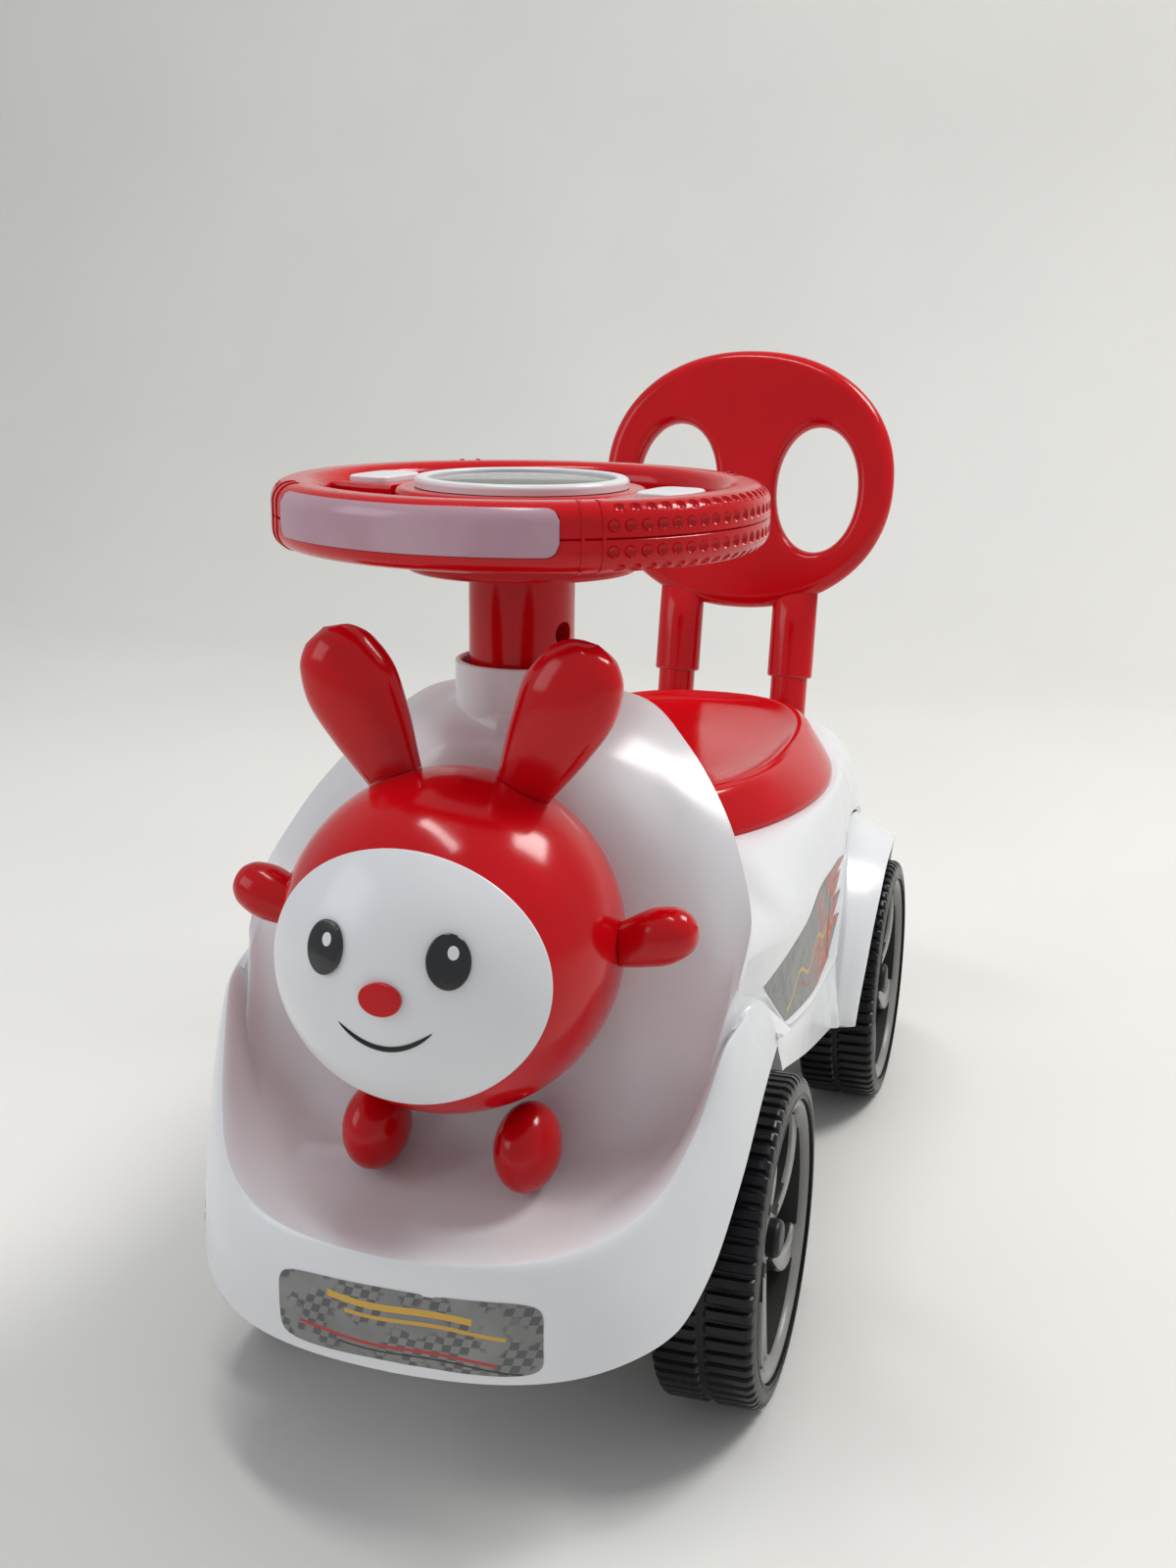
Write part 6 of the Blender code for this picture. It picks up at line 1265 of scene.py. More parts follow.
def rim_section(low, high):
    """Half of the steering wheel's rim, with round corners where it isn't cut by the seam."""
    inner, outer, corner, seam = HANDWHEEL_INNER, HANDWHEEL_RADIUS, RIM_CORNER, 0.0005
    if low == HANDWHEEL_BOTTOM:
        points = arc((outer - corner, low + corner), corner, -90, 0, 9)
        points += [(outer, high - seam), (outer - seam, high), (inner + seam, high), (inner, high - seam)]
        return points + arc((inner + corner, low + corner), corner, 180, 270, 9)
    points = [(inner, low + seam), (inner + seam, low), (outer - seam, low), (outer, low + seam)]
    points += arc((outer - corner, high - corner), corner, 0, 90, 9)
    return points + arc((inner + corner, high - corner), corner, 90, 180, 9)


def lens_body(name, grow, reach):
    """Light bar with rounded ends round the rim's front, or the pocket that it sits in."""
    outer, corner = HANDWHEEL_RADIUS + LENS_PROUD, RIM_CORNER
    side = HANDWHEEL_TOP - corner - LENS_BOTTOM
    bend = corner * LENS_BEND
    depth = LENS_THICKNESS + grow
    half_span = LENS_HALF_SPAN + grow / HANDWHEEL_RADIUS
    rings = []
    for i in range(97):
        turn = -half_span + half_span * 2 * i / 96
        inside = (half_span - abs(turn)) * HANDWHEEL_RADIUS
        gone = 1 - min(1.0, inside / LENS_CORNER)
        nip = LENS_CORNER * (1 - sqrt(max(0.0, 1 - gone**2))) * 0.96
        start, stop = nip - grow, side + bend - nip + grow
        outside, under = [], []
        for k in range(15):
            s = start + (stop - start) * k / 14
            t = max(0.0, (s - side) / corner)
            height = LENS_BOTTOM + min(s, side) + corner * sin(t)
            across = outer - corner + corner * cos(t)
            outside.append((across + reach * cos(t), height + reach * sin(t)))
            under.append((across - depth * cos(t), height - depth * sin(t)))
        angle = -pi / 2 + turn
        profile = outside + under[::-1]
        rings.append([(r * cos(angle), FRONT_AXLE_Y + r * sin(angle), z) for r, z in profile])
    return skinned(name, rings)


def dimples(name):
    """Small round hollows in the grips of the upper or lower half of the rim."""
    slant = radians(DIMPLE_SLANT)
    bent = HANDWHEEL_RADIUS - RIM_CORNER + RIM_CORNER * cos(slant)
    if name == "upper":
        high = HANDWHEEL_TOP - RIM_CORNER + RIM_CORNER * sin(slant)
        rows = ((HANDWHEEL_RADIUS, 0.4318, 0.0), (bent, high, slant))
    else:
        low = HANDWHEEL_BOTTOM + RIM_CORNER - RIM_CORNER * sin(slant)
        rows = ((HANDWHEEL_RADIUS, 0.4212, 0.0), (bent, low, -slant))
    balls = []
    for side in (0, pi):
        for radius, height, lean in rows:
            for i in range(DIMPLES_IN_ROW):
                turn = side + radians(-42.0 + 84.0 * (i + (0.5 if lean else 0.0)) / DIMPLES_IN_ROW)
                out = radius + DIMPLE_RISE * cos(lean)
                place = (out * cos(turn), FRONT_AXLE_Y + out * sin(turn), height + DIMPLE_RISE * sin(lean))
                bm = bmesh.new()
                at = Matrix.Translation(place)
                bmesh.ops.create_icosphere(bm, subdivisions=3, radius=DIMPLE_RADIUS, matrix=at)
                balls.append(finished(bm, "ball", even_normals=False))
    return balls


def make_handwheel():
    seam_low, seam_high = HANDWHEEL_SEAM - FIT_GAP / 2, HANDWHEEL_SEAM + FIT_GAP / 2
    hub_inner = HUB_SHELL_RADIUS - HUB_SHELL_WALL
    dial_radius = BEZEL_INNER + FIT_GAP
    shoulder = HUB_SHELL_RADIUS - HUB_SHOULDER
    upper_hub = [(0, HUB_ROOF), (dial_radius, HUB_ROOF), (dial_radius, HUB_TOP)]
    upper_hub += arc((shoulder, HUB_TOP - HUB_SHOULDER), HUB_SHOULDER, 90, 0, 6)
    upper_hub += [(HUB_SHELL_RADIUS, seam_high), (hub_inner, seam_high)]
    upper_hub += [(hub_inner, HUB_ROOF - HUB_ROOF_WALL), (0, HUB_ROOF - HUB_ROOF_WALL)]
    shaft_hole = SHAFT_RADIUS + FIT_GAP
    lower_hub = [(shaft_hole, HUB_FLOOR - HUB_FLOOR_WALL)]
    lower_hub += arc((shoulder, HUB_FLOOR - HUB_FLOOR_WALL + HUB_SHOULDER), HUB_SHOULDER, -90, 0, 6)
    lower_hub += [(HUB_SHELL_RADIUS, seam_low), (hub_inner, seam_low), (hub_inner, HUB_FLOOR)]
    lower_hub.append((shaft_hole, HUB_FLOOR))
    arm_start, arm_end = hub_inner + ARM_HUB_LAP, HANDWHEEL_INNER + ARM_RIM_LAP
    floor = BUTTON_TOP - BUTTON_HEIGHT - BUTTON_TRAVEL - FIT_GAP
    wells = []
    for side, _ in SIDES:
        half_sizes = (BUTTON_HALF_WIDTH + FIT_GAP, BUTTON_HALF_LENGTH + FIT_GAP)
        ring = oval_ring(*half_sizes, BUTTON_ROUNDNESS, 64)
        outline = [(side * BUTTON_CENTRE_RADIUS + x, FRONT_AXLE_Y + y) for x, y in ring]
        wells.append(extruded("well", outline, floor, BUTTON_TOP + CUTTER_MARGIN))
    for name, low, high, hub, arm_low, arm_high in (
        ("upper", seam_high, HANDWHEEL_TOP, upper_hub, seam_high, ARM_TOP),
        ("lower", HANDWHEEL_BOTTOM, seam_low, lower_hub, ARM_BOTTOM, seam_low),
    ):
        sides = [(-ARM_HALF_WIDTH, arm_low)]
        for across, down in ((0.0, ARM_EDGE), (ARM_EDGE * 0.3, ARM_EDGE * 0.3), (ARM_EDGE, 0.0)):
            sides.append((-ARM_HALF_WIDTH + across, arm_high - down))
        if name == "lower":
            sides = [(y, arm_low + arm_high - z) for y, z in sides]
        sides += [(-y, z) for y, z in reversed(sides)]
        arms = []
        for side, _ in SIDES:
            ends = sorted((side * arm_start, side * arm_end))
            arms.append(skinned("arm", [[(x, FRONT_AXLE_Y + y, z) for y, z in sides] for x in ends]))
        added = (turned("hub", hub, "Z", COLUMN_FOOT, HUB_STEPS), merged("arms", arms))
        cut = [lens_body("pocket", FIT_GAP, CUTTER_MARGIN), merged("pits", dimples(name))]
        if name == "upper":
            cut.append(merged("wells", wells))
        mesh = carved(turned("rim", rim_section(low, high), "Z", COLUMN_FOOT, 192), added, cut)
        label = f"steering_wheel_{name}"
        dressed(f"{label}_shell", mesh, RED, "steering", (label,), 32)
    lens = lens_body("lens", 0.0, 0.0)
    dressed("light_bar_lens", lens, LENS, "steering", ("light_bar",), 50)


def make_grip_rings():
    """Raised ring at each end of the two grips."""
    middle, radius = HANDWHEEL_RADIUS - RIM_CORNER, RIM_CORNER + 0.0005
    profile = arc((middle, HANDWHEEL_TOP - RIM_CORNER), radius, 100, 0, 12)
    profile += arc((middle, HANDWHEEL_BOTTOM + RIM_CORNER), radius, 0, -100, 12)
    profile += [(r - 0.0015, HANDWHEEL_SEAM + (z - HANDWHEEL_SEAM) * 0.9) for r, z in reversed(profile)]
    rings = [sector("grip", profile, radians(turn), radians(0.35), COLUMN_FOOT, 3) for turn in GRIP_TURNS]
    dressed("grip_rings", merged("grips", rings), RED, "steering", (), 40)


def make_buttons():
    for side, label in SIDES:
        rings = []
        for inset, rise in BUTTON_INSETS:
            half_sizes = (BUTTON_HALF_WIDTH - inset, BUTTON_HALF_LENGTH - inset)
            height = BUTTON_TOP - BUTTON_HEIGHT + rise
            ring = oval_ring(*half_sizes, BUTTON_ROUNDNESS, 64)
            rings.append([(side * BUTTON_CENTRE_RADIUS + x, FRONT_AXLE_Y + y, height) for x, y in ring])
        mesh, name = skinned("button", rings), f"button_{label}"
        dressed(f"push_{name}", mesh, WHITE, f"{name}_body", (name,), 40)


def make_hub_parts():
    base = HUB_TOP + FIT_GAP
    bezel = [(BEZEL_INNER, base), (BEZEL_RADIUS, base)]
    outer_edge, inner_edge = BEZEL_EDGES
    bezel += arc((BEZEL_RADIUS - outer_edge, BEZEL_TOP - outer_edge), outer_edge, 0, 90, 6)
    bezel += arc((BEZEL_INNER + inner_edge, BEZEL_TOP - inner_edge), inner_edge, 90, 180, 4)
    reach = BEZEL_INNER - FIT_GAP
    glass = [(0, base), (reach, base)]
    for degrees in range(0, 90, 6):
        turn = radians(degrees)
        glass.append((reach * cos(turn), BEZEL_TOP - 0.0022 + 0.0016 * sin(turn)))
    glass += [(0, BEZEL_TOP - 0.0006)]
    low = HUB_ROOF + FIT_GAP
    dial = [(0, low), (reach, low), (reach, low + DIAL_THICKNESS), (0, low + DIAL_THICKNESS)]
    cover_top = HUB_FLOOR - HUB_FLOOR_WALL - FIT_GAP
    cover = [(COLUMN_RADIUS + FIT_GAP, COVER_BOTTOM)]
    cover += arc((COVER_RADIUS - COVER_EDGE, COVER_BOTTOM + COVER_EDGE), COVER_EDGE, -90, 0, 6)
    cover += [(COVER_RADIUS, cover_top), (COLUMN_RADIUS + FIT_GAP, cover_top)]
    for name, profile, finish, node in (
        ("bezel", bezel, WHITE, "bezel_ring"),
        ("dial_glass", glass, (make_glass(), "clear_plastic"), "dial_window"),
        ("dial_card", dial, (make_dial_finish(), "dial_card"), "dial_face"),
        ("hub_under_cover", cover, RED, "hub_cover"),
    ):
        dressed(name, turned(name, profile, "Z", COLUMN_FOOT, 128), finish, "steering", (node,))


def make_column():
    low = COLLAR_FLOOR + FIT_GAP + BUSH_HEIGHT + TURNING_GAP
    bore = SHAFT_RADIUS + FIT_GAP
    loop = [(bore, low), (COLUMN_RADIUS, low), (COLUMN_RADIUS, COLUMN_TOP), (bore, COLUMN_TOP)]
    sleeve = turned("sleeve", loop, "Z", COLUMN_FOOT, 128)
    at_bolt = Matrix.Translation((0.0, FRONT_AXLE_Y, BOLT_HEIGHT)) @ Matrix.Rotation(BOLT_TURN, 4, "Z")
    reach = COLUMN_RADIUS + CUTTER_MARGIN
    cross_hole = rod("cross_hole", BOLT_RADIUS + FIT_GAP, -reach, reach, "X")
    ends = ((BOLT_SEAT_RADIUS, reach), (-reach, -BOLT_SEAT_RADIUS))
    counterbores = merged("counterbores", [rod("bore", BOLT_HOLE_RADIUS, *end, "X") for end in ends])
    for hole in (cross_hole, counterbores):
        hole.transform(at_bolt)
    mesh = carved(sleeve, cut=(cross_hole, counterbores))
    dressed("column_cover", mesh, RED, "steering", ("column_sleeve",), 30, 0.0006)


def tyre_mesh():
    """Tyre with two staggered rows of cross bars, a plain middle band and ringed side walls."""
    steps = TREAD_BLOCKS * len(TREAD_GROOVE)
    seat = RIM_RADIUS + FIT_GAP
    wall = [(x, WHEEL_RADIUS - drop) for x, drop in TYRE_WALL]
    bm = bmesh.new()
    rows = []
    for i in range(steps):
        turn = 2 * pi * i / steps
        ring = []
        for x, drop, depth, half in TREAD_ACROSS:
            groove = TREAD_GROOVE[(i + 4 * half) % len(TREAD_GROOVE)]
            ring.append((x, WHEEL_RADIUS - drop - TREAD_DEPTH * depth * groove))
        ring += [*wall, (WHEEL_WIDTH, seat), (0.0, seat)]
        ring += [(WHEEL_WIDTH - x, r) for x, r in reversed(wall)]
        rows.append([bm.verts.new((x, r * cos(turn), r * sin(turn))) for x, r in ring])
    for row, after in zip(rows, rows[1:] + rows[:1]):
        for k in range(len(row)):
            j = (k + 1) % len(row)
            bm.faces.new((row[k], row[j], after[j], after[k]))
    return finished(bm, "tyre")


def swept_bar(start_turn, offset, width_root, width_tip, low, high, reach):
    """One curved spoke from the hub to the barrel, with a rounded top."""
    rings = []
    for k in range(25):
        share = k / 24
        radius = SPOKE_ROOT + (reach - SPOKE_ROOT) * share
        turn = start_turn + SPOKE_SWEEP * share**SPOKE_BEND + offset * (0.25 + 0.75 * share)
        y, z = radius * cos(turn), radius * sin(turn)
        lean = SPOKE_SWEEP * SPOKE_BEND * share ** (SPOKE_BEND - 1) * share
        across = (-sin(turn + lean * 0.5), cos(turn + lean * 0.5))
        half = (width_root + (width_tip - width_root) * share) / 2
        crown = high - 0.004 * (1 - share) ** 2 - 0.0015 * share**4
        section = [(low, -1.0), (crown - 0.0022, -1.0), (crown - 0.0007, -0.78), (crown, -0.4)]
        section += [(x, -s) for x, s in reversed(section)]
        rings.append([(x, y + across[0] * half * s, z + across[1] * half * s) for x, s in section])
    return skinned("spoke", rings)


def rim_mesh():
    outer_face = WHEEL_WIDTH - RIM_INSET
    dish_high = WHEEL_WIDTH - RIM_DISH_DEPTH
    dish_low = dish_high - RIM_DISH_WALL
    hub_end = WHEEL_WIDTH - HUB_OUTER_INSET
    inner = RIM_RADIUS - RIM_BARREL_WALL
    bore = AXLE_RADIUS + TURNING_GAP
    profile = [
        (bore, 0.0), (HUB_RADIUS, 0.0), (HUB_RADIUS, dish_low), (inner, dish_low), (inner, RIM_INSET),
        (RIM_RADIUS, RIM_INSET), (RIM_RADIUS, outer_face - 0.0008), (RIM_RADIUS - 0.0008, outer_face),
        (inner + 0.0012, outer_face), (inner, outer_face - 0.0014), (inner - 0.0016, outer_face - 0.004),
        (inner - 0.002, dish_high + 0.004), (inner - 0.005, dish_high),
        (HUB_RADIUS + 0.004, dish_high + 0.001), (HUB_RADIUS + 0.001, dish_high + 0.005),
        (HUB_RADIUS, hub_end - 0.001), (HUB_RADIUS - 0.001, hub_end),
        (bore + 0.0012, hub_end), (bore, hub_end - 0.0012),
    ]
    barrel = turned("rim", profile, "X", steps=160, start=pi / 160)
    high = outer_face - SPOKE_INSET
    starts = [pi / 2 + 2 * pi * i / SPOKE_COUNT for i in range(SPOKE_COUNT)]
    low = high - SPOKE_DEPTH
    spokes = [(start, offset) for start in starts for offset in (-0.085, 0.085)]
    bars = [swept_bar(*spoke, 0.007, 0.0082, low, high, inner + 0.001) for spoke in spokes]
    bars += [swept_bar(start, 0.0, 0.007, 0.013, low, high - 0.0036, inner + 0.0008) for start in starts]
    made = carved(barrel, bars)
    made.materials.clear()
    for finish in (GREY[0], RIM_PAINTED_SHADE):
        made.materials.append(finish)
    # Dish faces between the spokes take the near-black second material: painted shade for the shadow deep
    # inside the rim.
    for polygon in made.polygons:
        x, y, z = polygon.center
        in_painted_shade_dish = HUB_RADIUS + 0.0015 < sqrt(y * y + z * z) < inner - 0.0002
        polygon.material_index = int(in_painted_shade_dish and WHEEL_WIDTH / 2 < x < high - 0.003)
    return made


def make_wheels():
    rim, tyre = rim_mesh(), tyre_mesh()
    cap_start = WHEEL_WIDTH - HUB_OUTER_INSET + FIT_GAP
    end = WHEEL_WIDTH - AXLE_END_INSET + FIT_GAP
    cap_bore = AXLE_RADIUS + FIT_GAP
    cap_end = cap_start + CAP_LENGTH
    cap_profile = [(0, end), (cap_bore, end), (cap_bore, cap_start), (CAP_RADIUS, cap_start)]
    cap_profile += arc((CAP_RADIUS - CAP_EDGE, cap_end - CAP_EDGE), CAP_EDGE, 0, 90, 6)
    cap_profile += [(0, cap_end + 0.0002)]
    kinds = (
        ("tyre", tyre, TYRE, None),
        # The rim's second material is painted shade on its dish between the spokes.
        ("rim", rim, GREY, RIM_PAINTED_SHADE),
        ("hub_cap", turned("cap", cap_profile, "X"), BLACK, None),
    )
    for place, axle_y in (("front", FRONT_AXLE_Y), ("rear", REAR_AXLE_Y)):
        for side, label in SIDES:
            for kind, mesh, finish, second in kinds:
                own = mesh.copy()
                own.transform(Matrix.Translation((WHEEL_OUTER_X - WHEEL_WIDTH, 0.0, 0.0)))
                if side < 0:
                    own.transform(Matrix.Rotation(pi, 4, "Z"))
                own.transform(Matrix.Translation((0.0, axle_y, AXLE_HEIGHT)))
                name, body = f"{kind}_{place}_{label}", f"wheel_{place}_{label}"
                dressed(f"{name}_shell", own, finish, body, (name,), 35, second=second)


def smooth_limb(name, length, half_width, half_depth, base, lean, side):
    """Rounded limb that swells towards its end, drawn with many rings."""
    rings = [[(0.0, 0.0, 0.0)]]
    for i in range(1, 48):
        share = 0.5 - 0.5 * cos(pi * i / 48)
        size = along(LIMB_SIZES, share)
        ring = oval_ring(half_width * size, half_depth * size, 2.0, 40)
        rings.append([(x, y, length * share) for x, y in ring])
    mesh = skinned(name, [*rings, [(0.0, 0.0, length)]])
    mesh.transform(Matrix.Rotation(lean * side, 4, "Y"))
    mesh.transform(Matrix.Translation((side * base[0], base[1], base[2])))
    return mesh


def make_smile(face_high):
    """Curved tube on the face plate that thins to both ends."""
    rings = []
    for i in range(41):
        turn = radians(-SMILE_DEGREES + 2 * SMILE_DEGREES * i / 40)
        out = turn / radians(SMILE_DEGREES)
        lift = SMILE_LIFT + SMILE_CURVE * out**2
        away = Vector((sin(turn) * cos(lift), -cos(turn) * cos(lift), sin(lift)))
        place = Vector(FIGURE_MIDDLE) + away * (face_high + 0.0001)
        up = Vector((0, 0, 1)) - away * away.z
        up.normalize()
        size = SMILE_THICKNESS * (1 - out**6) + SMILE_TIP
        around = [radians(degrees) for degrees in range(0, 360, 30)]
        rings.append([place + up * (size * cos(t)) + away * (size * 0.6 * sin(t)) for t in around])
    dressed("figure_smile", skinned("smile", rings), BLACK)


def make_figure():
    """Plain toy rabbit of no known kind: ball body, pale face plate, round eyes and a small smile."""
    outer = FIGURE_RADIUS
    back = FIGURE_BACK_Y - FIGURE_Y
    last = asin(back / outer)
    turns = [-pi / 2 + (last + pi / 2) * i / 48 for i in range(49)]
    ball = [(outer * cos(t) if i else 0, outer * sin(t)) for i, t in enumerate(turns)]
    profile = ball + [(outer * cos(last) - 0.004, back), (0, back)]
    mesh = turned("ball", profile, "Y", FIGURE_MIDDLE, 128)
    dressed("figure_ball", mesh, RED, "chassis", ("figure_body",))

    face_high = outer + FACE_GAP + FACE_THICKNESS
    face = ball_patch("face", outer - 0.001, face_high, 0.0, FACE_LIFT, FACE_HALF_ANGLES, 128, 24)
    dressed("figure_face_plate", face, WHITE, "chassis", ("figure_face",), 50, 0.0012, 4)
    eye_low = face_high - 0.0004
    eye_high = face_high + FACE_GAP + EYE_THICKNESS
    sizes = (EYE_SIZE, EYE_SIZE * EYE_TALLNESS)
    for side, label in SIDES:
        eye = ball_patch("eye", eye_low, eye_high, side * EYE_TURN, EYE_LIFT, sizes, 64, 10)
        name = f"figure_eye_{label}"
        dressed(f"{name}_disc", eye, GLOSS_BLACK, "chassis", (name,), 50, 0.0008, 4)
        # White dot on each eye: a painted highlight.
        aim = (side * EYE_TURN + radians(1.4), EYE_LIFT + radians(2.6), (radians(1.6), radians(2.0)))
        glint = ball_patch("glint", eye_high - 0.0004, eye_high + 0.0003, *aim, 32, 4)
        dressed(f"figure_glint_{label}", glint, WHITE)
    nose_sizes = (NOSE_SIZE * NOSE_BREADTH, NOSE_SIZE)
    nose = ball_patch("nose", eye_low, face_high + FACE_GAP + 0.0016, 0.0, NOSE_LIFT, nose_sizes, 64, 10)
    dressed("figure_nose_pad", nose, RED, "chassis", ("figure_nose",), 60, 0.0012, 4)
    make_smile(face_high)

    clear = 1 + FIT_GAP / outer
    space_profile = [(radius * clear, reach * clear) for radius, reach in ball]
    space_profile += [(outer * cos(last) * clear, -FIGURE_Y), (0, -FIGURE_Y)]
    foot_turns = [-pi / 2 + pi * k / 32 for k in range(1, 32)]
    foot_rings = [[(x, y, sin(t)) for x, y in oval_ring(cos(t), cos(t), 2.0, 48)] for t in foot_turns]
    for side, label in SIDES:
        ear_sizes = (EAR_LENGTH, EAR_HALF_WIDTH, EAR_HALF_DEPTH)
        paw_sizes = (PAW_LENGTH, PAW_HALF_WIDTH, PAW_HALF_WIDTH)
        foot = skinned("foot", [[(0.0, 0.0, -1.0)], *foot_rings, [(0.0, 0.0, 1.0)]])
        foot.transform(Matrix.Diagonal((*FOOT_HALF_SIZES, 1.0)))
        foot.transform(Matrix.Translation((side * FOOT_MIDDLE[0], FOOT_MIDDLE[1], FOOT_MIDDLE[2])))
        for kind, limb in (
            ("ear", smooth_limb("ear", *ear_sizes, EAR_BASE, EAR_LEAN, side)),
            ("paw", smooth_limb("paw", *paw_sizes, PAW_BASE, PAW_LEAN, side)),
            ("foot", foot),
        ):
            mesh = carved(limb, cut=[turned("space", space_profile, "Y", FIGURE_MIDDLE, 96)])
            name = f"figure_{kind}_{label}"
            dressed(f"{name}_soft", mesh, RED, "chassis", (name,), 50)


def wavy_level(tree, x, y, pitch, height, slope):
    """Height on a sheet above a sloping wave."""
    wave = maths(tree, "MULTIPLY", waves(tree, "SINE", x, pitch), height)
    return maths(tree, "SUBTRACT", maths(tree, "SUBTRACT", y, wave), maths(tree, "MULTIPLY", x, slope))


def streaked(tree, colour, x, level, streaks):
    """Colour under streaks, each between two levels and two places along the sheet."""
    for low, high, start, end, tint in streaks:
        streak = maths(tree, "MULTIPLY", between(tree, level, low, high), between(tree, x, start, end))
        colour = mixed(tree, streak, colour, tint)
    return colour


def make_label_finish(name, front):
    """Printed sheet without words: grey ground, faint chequer and coloured streaks, with flames on a side."""
    made, tree, shader = nodes_of(name)
    coords = tree.nodes.new("ShaderNodeTexCoord").outputs["UV"]
    x, y = split_up(tree, coords)

    def patchy(scale, detail, low, high):
        return ranged(tree, noise(tree, scale, detail, coords), 0.0, 1.0, low, high)

    checks = tree.nodes.new("ShaderNodeTexChecker")
    checks.inputs["Scale"].default_value = 260.0 if front else 160.0
    slanted = put_together(tree, maths(tree, "SUBTRACT", x, maths(tree, "MULTIPLY", y, 0.35)), y)
    tree.links.new(slanted, checks.inputs["Vector"])
    ground = mixed(tree, patchy(45.0, 4.0, 0.3, 0.7), (0.17, 0.17, 0.165), (0.24, 0.24, 0.235))
    dark = mixed(tree, checks.outputs["Fac"], ground, (0.065, 0.065, 0.068))
    patch = maths(tree, "MULTIPLY", patchy(60.0, 2.0, 0.47, 0.53), 0.8 if front else 0.3)
    colour = mixed(tree, patch, ground, dark)
    if front:
        level = wavy_level(tree, x, y, 95.0, 0.0011, -0.05)
    else:
        fade = ranged(tree, x, 0.0, 0.95, -0.01, 0.05)
        glow = maths(tree, "MULTIPLY", patchy(48.0, 4.0, 0.46, 0.52), fade)
        colour = mixed(tree, glow, colour, (0.46, 0.06, 0.025))
        ember = maths(tree, "MULTIPLY", patchy(90.0, 3.0, 0.56, 0.6), glow)
        colour = mixed(tree, ember, colour, (0.55, 0.22, 0.04))
        level = wavy_level(tree, x, y, 120.0, 0.005, 0.05)
    colour = streaked(tree, colour, x, level, FRONT_STREAKS if front else SIDE_STREAKS)
    tree.links.new(colour, shader.inputs["Base Color"])
    shader.inputs["Roughness"].default_value = 0.38
    bumped(tree, shader, noise(tree, 500.0, 2.0), 0.05, 0.0002)
    return made


def make_labels(cowl_tree, body_tree):
    rings = [[(0.0, 0.0)]]
    for k in range(1, 25):
        share = k / 24
        sizes = (FRONT_LABEL_HALF_WIDTH * share, FRONT_LABEL_HALF_HEIGHT * share)
        rings.append(oval_ring(*sizes, 2.0 + 5.0 * share, 160))
    finish = make_label_finish("front_label_print", True), "white_plastic"

    def before(flat):
        return (flat[0] + FRONT_LABEL_X, FRONT_RAY_Y, FRONT_LABEL_Z + flat[1])

    mesh = laid("front_label", rings, cowl_tree, before, (0, 1, 0), LABEL_LIFT)
    dressed("front_label", mesh, finish)
    finish = make_label_finish("side_label_print", False), "white_plastic"
    for side, label in SIDES:
        sheets = []
        for count, (lower, upper) in enumerate(SIDE_LABEL_EDGES):
            lift = LABEL_LIFT + LABEL_STEP * count
            sheets.append(laid_strip("sheet", lower, upper, body_tree, side, lift))
        mesh = merged("side_label", sheets, even_normals=False)
        dressed(f"side_label_{label}", mesh, finish)


CARRIED = (
    (("battery_",), CELL),
    (("circuit_board",), BOARD),
    (("column_bolt", "column_nut", "figure_screw", "kingpin_", "rear_axle", "seat_hinge_pin"), STEEL),
    (("steering_shaft", "tie_rod"), STEEL),
    (("chassis_plate", "column_bush", "front_bracket", "knuckle_", "speaker", "steering_crank"), BLACK[0]),
)


def finish_carried_nodes():
    for name, obj in frame["nodes"].items():
        for starts, finish in CARRIED:
            if name.startswith(starts):
                for slot in obj.material_slots:
                    slot.material = finish


def make_ground():
    """Pale paper sweep: floor, bend and backdrop in one sheet."""
    profile = [(-3.0, 0.0), (BEND_START, 0.0)]
    for degrees in range(5, 91, 5):
        turn = radians(degrees)
        profile.append((BEND_START + BEND_RADIUS * sin(turn), BEND_RADIUS - BEND_RADIUS * cos(turn)))
    profile.append((BEND_START + BEND_RADIUS, 3.6))
    rings = [[(x, y, z) for x in (-4.0, -2.0, 0.0, 2.0, 4.0)] for y, z in profile]
    mesh = skinned("sweep", rings, closed=False)
    if mesh.polygons[0].normal.z < 0:
        mesh.flip_normals()
    made, tree, shader = nodes_of("paper_skin")
    paper = mixed(tree, ranged(tree, noise(tree, 1.6), 0.0, 1.0), (0.8, 0.79, 0.755), (0.755, 0.745, 0.715))
    tree.links.new(paper, shader.inputs["Base Color"])
    shader.inputs["Roughness"].default_value = 0.75
    bumped(tree, shader, noise(tree, 220.0, 4.0), 0.08, 0.001)
    obj = bpy.data.objects.new("floor_sweep", mesh)
    bpy.context.scene.collection.objects.link(obj)
    mesh.materials.append(made)
    mesh.shade_smooth()


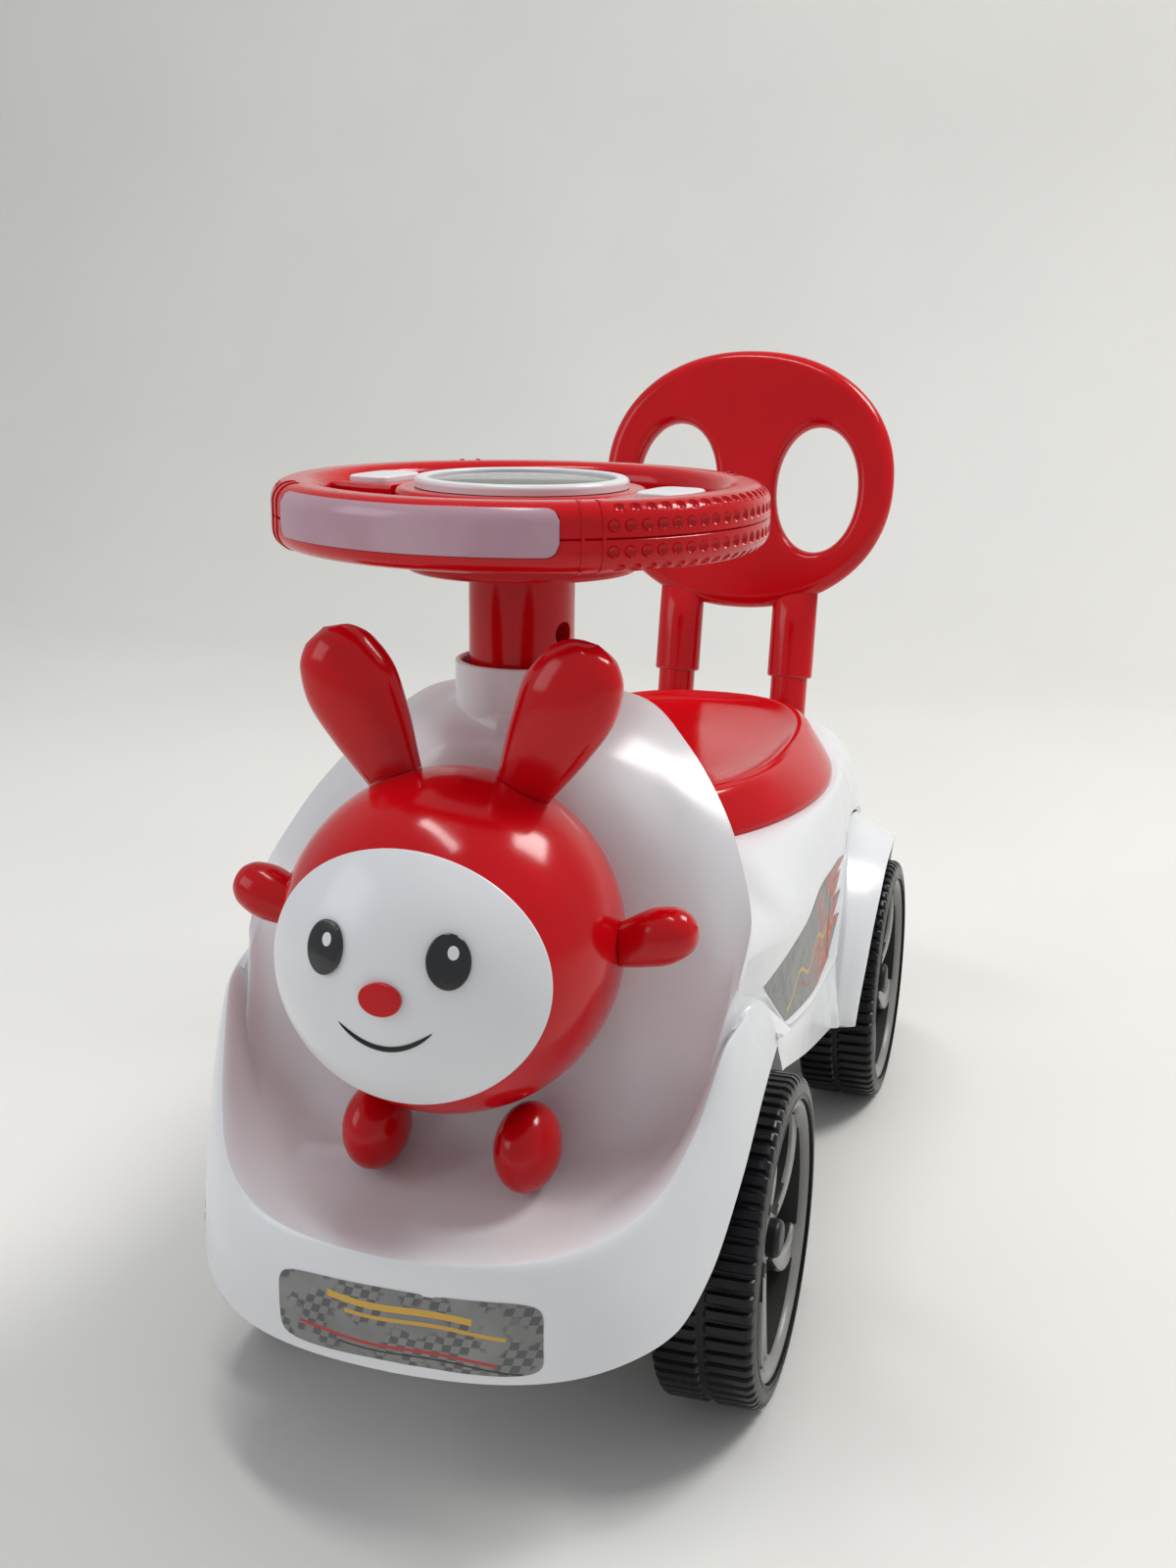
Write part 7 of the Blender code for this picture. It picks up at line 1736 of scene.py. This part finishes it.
def lamp(name, place, aim, size, power, colour=(1.0, 1.0, 1.0), size_y=None):
    data = bpy.data.lights.new(name, "AREA")
    data.energy = power
    data.color = colour
    data.size = size
    if size_y:
        data.shape = "RECTANGLE"
        data.size_y = size_y
    obj = bpy.data.objects.new(name, data)
    obj.location = place
    obj.rotation_euler = (Vector(aim) - Vector(place)).to_track_quat("-Z", "Y").to_euler()
    bpy.context.scene.collection.objects.link(obj)


def make_light():
    world = bpy.data.worlds.new("room")
    bpy.context.scene.world = world
    world.use_nodes = True
    world.node_tree.nodes["Background"].inputs["Color"].default_value = (0.93, 0.96, 1.0, 1.0)
    world.node_tree.nodes["Background"].inputs["Strength"].default_value = 0.47
    lamp("key_light", (1.5, 0.9, 2.4), (0.0, 0.0, 0.15), 0.9, 45.0, (1.0, 0.985, 0.96))
    lamp("top_strip", (-0.25, -0.35, 2.6), (0.0, 0.0, 0.2), 1.3, 15.0, size_y=0.2)
    lamp("fill_light", (-2.2, -1.6, 1.5), (0.0, 0.0, 0.2), 1.5, 15.0, (0.95, 0.97, 1.0))


def make_camera():
    yaw, pitch, roll = CAMERA_TURNS
    ahead = Vector((-sin(yaw) * cos(pitch), cos(yaw) * cos(pitch), -sin(pitch)))
    right = Vector((cos(yaw), sin(yaw), 0.0))
    up = right.cross(ahead)
    level, upright = right * cos(roll) + up * sin(roll), up * cos(roll) - right * sin(roll)
    data = bpy.data.cameras.new("view")
    data.lens = FOCAL_LENGTH
    data.sensor_width = 36.0
    camera = bpy.data.objects.new("view", data)
    turned_to = Matrix((level, upright, -ahead)).transposed().to_4x4()
    camera.matrix_world = TO_ROW @ Matrix.Translation(CAMERA_PLACE) @ turned_to
    bpy.context.scene.collection.objects.link(camera)
    bpy.context.scene.camera = camera


def main():
    cowl_tree = make_front_cowl()
    body_tree = make_main_body()
    make_fender_tips()
    make_arch_bands()
    make_seat_lid()
    make_backrest()
    make_handwheel()
    make_grip_rings()
    make_buttons()
    make_hub_parts()
    make_column()
    make_wheels()
    make_figure()
    make_labels(cowl_tree, body_tree)
    finish_carried_nodes()
    make_ground()
    make_light()
    make_camera()
    bpy.context.scene.view_settings.view_transform = "Standard"


main()
